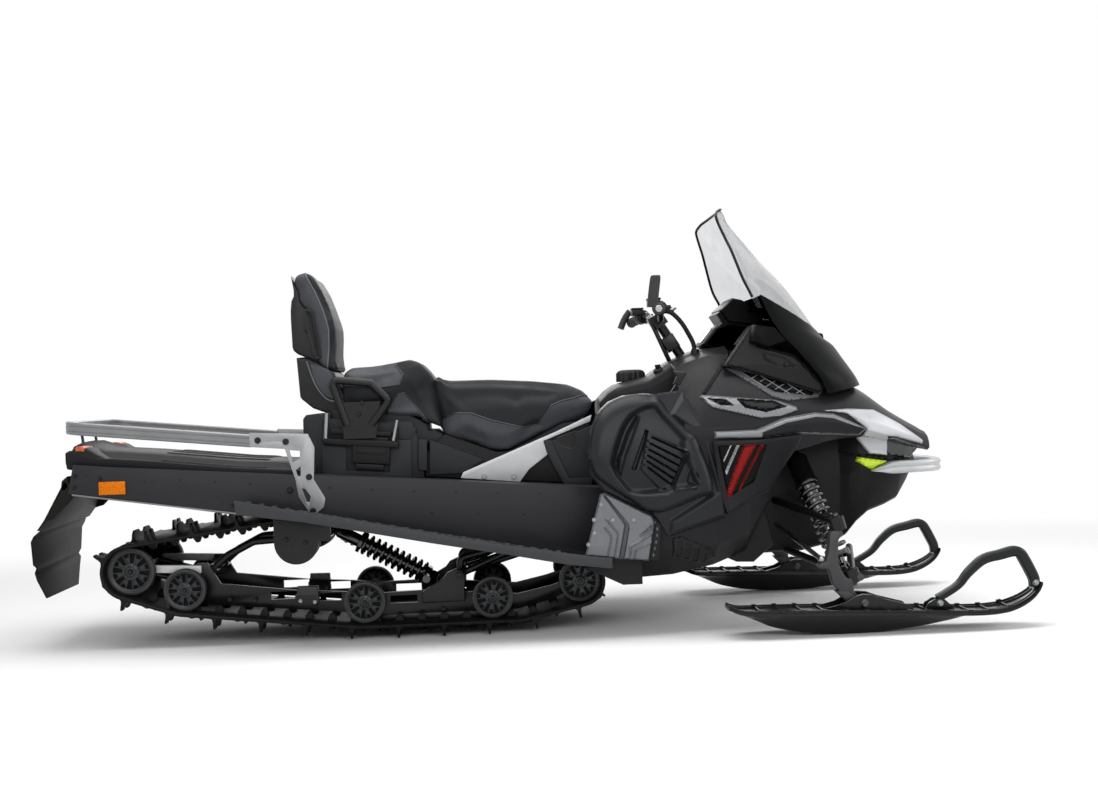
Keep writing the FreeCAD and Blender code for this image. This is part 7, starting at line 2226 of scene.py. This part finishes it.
def ski_shapes():
    """The blade with its deep boat-shaped keel, and the rails, ribs and knobs on its deck."""
    smooth = curve_through([Vector(row[:3]) for row in ski_stations], 10)
    keels = curve_through([Vector((row[0], row[3], 0)) for row in ski_stations], 10)
    rings = []
    for (x, edge, half), (_, keel, _) in zip(smooth, keels):
        flat = min(keel_half, half * keel_narrow_share)
        (inner, low_share), (outer, high_share) = keel_shares
        right = [(flat, keel), (flat + inner, keel + (edge - keel) * low_share),
                 (half - outer, keel + (edge - keel) * high_share), (half - lip_half, edge),
                 (half, edge + lip_lift), (half - side_lean, edge + deck_thick),
                 (half * deck_flat_share, edge + deck_thick)]
        ring = [Vector((x, ski_centre_y - y, z)) for y, z in right]
        rings.append(ring + [Vector((x, ski_centre_y + y, z)) for y, z in reversed(right)])
    shapes = [loft(rings)]
    rail_stations = [station for station in smooth if station.x < rail_end_x]
    for side in (-1, 1):
        for inset, wide, rise in rail_rows:
            rail = []
            for x, edge, half in rail_stations:
                y, z = ski_centre_y + side * max(half - inset, rail_least), edge + deck_thick
                rail.append([Vector((x, y - wide, z - rail_sink)), Vector((x, y + wide, z - rail_sink)),
                             Vector((x, y + wide * rail_top_share, z + rise)),
                             Vector((x, y - wide * rail_top_share, z + rise))])
            shapes.append(loft(rail))
    for x in np.arange(rib_span[0], rib_span[1], rib_pitch):
        low = table_at(smooth, x, 1) + deck_thick
        half = table_at(smooth, x, 2)
        lift = table_at(smooth, x + slope_reach, 1) - table_at(smooth, x - slope_reach, 1)
        inner = half - rail_inset
        shapes.append(bar(Vector((x, ski_centre_y - inner, low + rib_lift)),
                          Vector((x, ski_centre_y + inner, low + rib_lift)), *rib_size,
                          (1, 0, lift / (2 * slope_reach))))
        for side in (-1, 1):
            y = ski_centre_y + side * inner
            shapes.append(bar(Vector((x - knob_size[0] / 2, y, low + knob_lift)),
                              Vector((x + knob_size[0] / 2, y, low + knob_lift + lift * knob_slope_share)),
                              knob_size[1], knob_size[2], (0, 1, 0)))
    return shapes


saddle_outline = [(0.890, 0.072), (0.900, 0.080), (0.960, 0.094), (1.004, 0.117), (1.030, 0.124),
                  (1.060, 0.121), (1.100, 0.106), (1.180, 0.084), (1.200, 0.060), (0.900, 0.066)]
saddle_offset = 0.038
saddle_shares = [(-0.006, 0.95), (-0.004, 1.0), (0.004, 1.0), (0.006, 0.95)]
ear_outline = [(1.226, 0.060), (1.240, 0.086), (1.262, 0.098), (1.290, 0.098), (1.312, 0.078),
               (1.326, 0.056)]
ear_ys = (-0.486, -0.454)
ear_half = 0.004
strap_corners = ((1, 0.6), (0.6, 1), (-0.6, 1), (-1, 0.6), (-1, -0.6), (-0.6, -1), (0.6, -1), (1, -0.6))
pivot_place = (1.034, 0.096)
pivot_ys = (-0.4965, -0.408, -0.4075)
pivot_radius = 0.012
pin_radius = 0.009
pin_length = 0.088
tip_bolt = (1.588, -0.4855, 0.136)
tip_bolt_radius = 0.0085
ear_bolt = (1.277, -0.4905, 0.084)
ear_bolt_radius = 0.009


def saddle_shapes():
    """Two cheeks that carry the ski's bolt, with a raised rim."""
    shapes = []
    for y in ear_ys:
        shapes.append(slab_between(ear_outline, 1.0, [(y - ear_half, 1.0), (y + ear_half, 1.0)]))
    for offset in (-saddle_offset, saddle_offset):
        y = king_foot.y + offset
        shapes.append(slab_between(saddle_outline, 1.0, [(y + across, grow)
                                                         for across, grow in saddle_shares]))
    return shapes


def band(points, in_plane, across, y, shares):
    """A flat strap along points of X and Z, with eased edges, as wide at each point as its share says."""
    rings = []
    for index, point in enumerate(points):
        after = points[min(index + 1, len(points) - 1)]
        before = points[max(index - 1, 0)]
        along = (after - before).normalized()
        out = Vector((-along.z, 0, along.x))
        ring = []
        for a, b in strap_corners:
            ring.append(point + out * (a * in_plane * shares[index]) + Vector((0, y + b * across, 0)))
        rings.append(ring)
    return loft(rings)


ski_plastic = moulded("ski_plastic", (16, 17, 18), 0.2, grain=(0.0012, 0.00003), Specular_IOR_Level=0.32)
handle_plastic = moulded("handle_plastic", (28, 32, 31), 0.36, grain=(0.0012, 0.00006),
                         Specular_IOR_Level=0.22)
ski_whole = gather(ski_shapes() + saddle_shapes())
handle_line = curve_through([Vector((x, 0, z)) for x, z in seen_on(handle_line_pixels, None, ski_centre_y)],
                            8)
strap_shares = [row.x for row in curve_through([Vector((share, 0, 0)) for share in handle_shares], 8)]
handle_whole = band(handle_line, handle_flat[0], handle_flat[1], ski_centre_y, strap_shares)
pivot_x, pivot_z = pivot_place
pivot_shapes = gather([bolt((pivot_x, pivot_ys[0], pivot_z), (0, -1, 0), pivot_radius),
                       bolt((pivot_x, pivot_ys[2], pivot_z), (0, 1, 0), pivot_radius),
                       lathe([(0, 0), (pin_radius, 0), (pin_radius, pin_length), (0, pin_length)],
                             (pivot_x, pivot_ys[1], pivot_z), (0, -1, 0), steps=20, closed=False)])
bolt_shapes = gather([bolt(tip_bolt, (0, -1, 0), tip_bolt_radius),
                      bolt(ear_bolt, (0, -1, 0), ear_bolt_radius)])
for side_name, sign in (("right", 1), ("left", -1)):
    for label, (points, faces), material, slot, node in (
            ("ski_blade_", ski_whole, ski_plastic, "ski_plastic", "ski_"),
            ("ski_loop_", handle_whole, handle_plastic, "handle_plastic", "ski_handle_"),
            ("ski_pivots_", pivot_shapes, gloss_paint, "black_metal", None),
            ("ski_bolts_", bolt_shapes, bolt_steel, "bare_steel", None)):
        turned = [Vector((p[0], p[1] * sign, p[2])) for p in points]
        thing = eased(made(label + side_name, (turned, faces)), 0.0, corner=32)
        fitted(thing, material, "ski_leg_" + side_name, [node + side_name] if node else [])

# The bumper and the skid's steel: a pale tube round the nose; black arms, rails and brackets in the track.
# The rails carry plastic runners, bump blocks on bolts, and bright adjuster bars at the rear axle.
bumper_paint = finish("bumper_paint", metal_skin, (190, 192, 194), roughness=0.4, lines=0.00002,
                      Metallic=0.35)
bumper_route = [(1.150, -0.222, 0.492, 0.05), (1.185, -0.222, 0.497, 0.55), (1.225, -0.216, 0.501, 1.0),
                (1.310, -0.200, 0.502, 1.0), (1.372, -0.172, 0.502, 1.0), (1.410, -0.110, 0.502, 1.0),
                (1.422, 0.0, 0.502, 1.0)]
bumper_section = [(0.7, 0.0), (1.0, 0.35), (1.0, 0.75), (0.6, 1.0), (-0.6, 1.0), (-1.0, 0.7), (-1.0, -0.7),
                  (-0.6, -1.0), (0.6, -1.0), (1.0, -0.75), (1.0, -0.35)]
bumper_half_sizes = (0.014, 0.0205)
bumper_line = curve_through([Vector(row[:3]) for row in bumper_route], 6)
bumper_shares = curve_through([Vector((row[3], 0, 0)) for row in bumper_route], 6)
bumper_rings = []
for index, (point, share) in enumerate(zip(bumper_line, bumper_shares)):
    along = (bumper_line[min(index + 1, len(bumper_line) - 1)]
             - bumper_line[max(index - 1, 0)]).normalized()
    out = Vector((along.y, -along.x, 0)).normalized()
    bumper_rings.append([point + out * (a * bumper_half_sizes[0])
                         + Vector((0, 0, b * bumper_half_sizes[1] * share.x)) for a, b in bumper_section])
bumper_half = loft(bumper_rings)
piece("bumper_bar", both_sides(bumper_half), bumper_paint, corner=50,
      stands_for=["front_bumper"])
rounded("slide_rails", folded_edge, black_paint)
rounded("drop_brackets", moulded_edge, black_paint)
runner_plastic = moulded("runner_plastic", (20, 20, 21), 0.4, grain=(0.002, 0.00004))
rounded("rail_runners", crisp_edge, runner_plastic)
rounded("skid_arms", 0.0, black_paint)
rounded("skid_shock", 0.0, gloss_paint)
rounded("drive_shaft", thin_edge, bolt_steel)
piece("wheel_axle_ends", gather(caps), black_paint, corner=40)
rail_bolts = [(300.6, 601.6), (315, 602.5), (230, 599.5), (255.5, 600), (443.7, 609), (443.7, 598),
              (462.5, 598)]
pivot_plate = [(422.4, 592), (432, 585.5), (442.9, 578.8), (447, 573), (455, 569.2), (462.2, 570.2),
               (464.3, 574.7), (465.3, 601), (422.4, 603)]
pivot_faces = [(-0.174, 0.97), (-0.171, 1.0), (-0.152, 1.0)]
pivot_bolt = (459.2, 574.6)
front_arms_seen = [([(459.2, 574.6), (546, 533)], -0.125), ([(467, 570.5), (532, 549)], -0.060)]
front_arm_radius = 0.0115
pivot_plate_y = -0.170
pivot_end_y = -0.176
pivot_bolt_y = -0.1755
pivot_bolt_radius = 0.009
closing_shares = [(-1.0, 0.97), (-0.98, 1.0), (0.98, 1.0), (1.0, 0.97)]
rail_bolt_y = -0.1545
rail_bolt_radius = 0.006
bracket_bolts = [(285.8, 539.6), (305.6, 542.8)]
bracket_face_y = -0.276
bracket_bolt_radius = 0.0065
adjuster_ends = [(-1.300, 0.256), (-1.090, 0.246)]
adjuster_half = (0.008, 0.013)
adjuster_y = 0.170
block_pixels = [(297.5, 586), (318.5, 585.5), (320, 603), (296, 603)]
block_faces = [(-0.172, 0.94), (-0.168, 1.0), (-0.154, 1.0)]
block_seen_y = -0.16
block_bolts = [(300.6, 601), (315, 602)]
block_bolt_y = -0.1725
block_bolt_radius = 0.0055
nose_closing = [(726, 512), (758, 497), (767, 518), (774, 544), (754, 562), (737, 562), (723, 556)]
closing_half = 0.262
pivot_shapes = [slab_between(seen_on(pivot_plate, None, pivot_plate_y), 1.0, pivot_faces)]
for pixels, arm_y in front_arms_seen:
    pivot_shapes.append(tube([Vector((x, arm_y, z)) for x, z in seen_on(pixels, None, arm_y)],
                             front_arm_radius, sides=14))
pivot_x, pivot_z = seen_on([pivot_bolt], None, pivot_plate_y)[0]
pivot_shapes.append(tube([Vector((pivot_x, pivot_end_y, pivot_z)), Vector((pivot_x, 0.0, pivot_z))],
                         front_arm_radius, sides=14))
piece("skid_pivots", both_sides(gather(pivot_shapes)), black_paint, width=thin_edge,
      corner=40)
piece("skid_pivot_bolts", bolts_at([pivot_bolt], pivot_bolt_y, pivot_bolt_radius), black_paint)
piece("nose_closings", slab_between(seen_on(nose_closing, None, -closing_half), closing_half,
                                    closing_shares), hood_plastic)
piece("rail_bolts", bolts_at(rail_bolts, rail_bolt_y, rail_bolt_radius), black_paint)
piece("drop_bracket_bolts", bolts_at(bracket_bolts, bracket_face_y, bracket_bolt_radius), black_paint)
wide, tall = adjuster_half
adjuster = [loft([[Vector((x, side * adjuster_y + a * wide, z + b * tall))
                   for a, b in ((-1, -1), (1, -1), (1, 1), (-1, 1))] for x, z in adjuster_ends])
            for side in (-1, 1)]
piece("axle_adjusters", gather(adjuster), trim_metal, width=moulded_edge, corner=40)
block_shape = slab_between(seen_on(block_pixels, None, block_seen_y), 1.0, block_faces)
piece("bump_blocks", both_sides(block_shape), runner_plastic, width=crisp_edge, corner=30)
piece("bump_block_bolts", bolts_at(block_bolts, block_bolt_y, block_bolt_radius), bolt_steel)
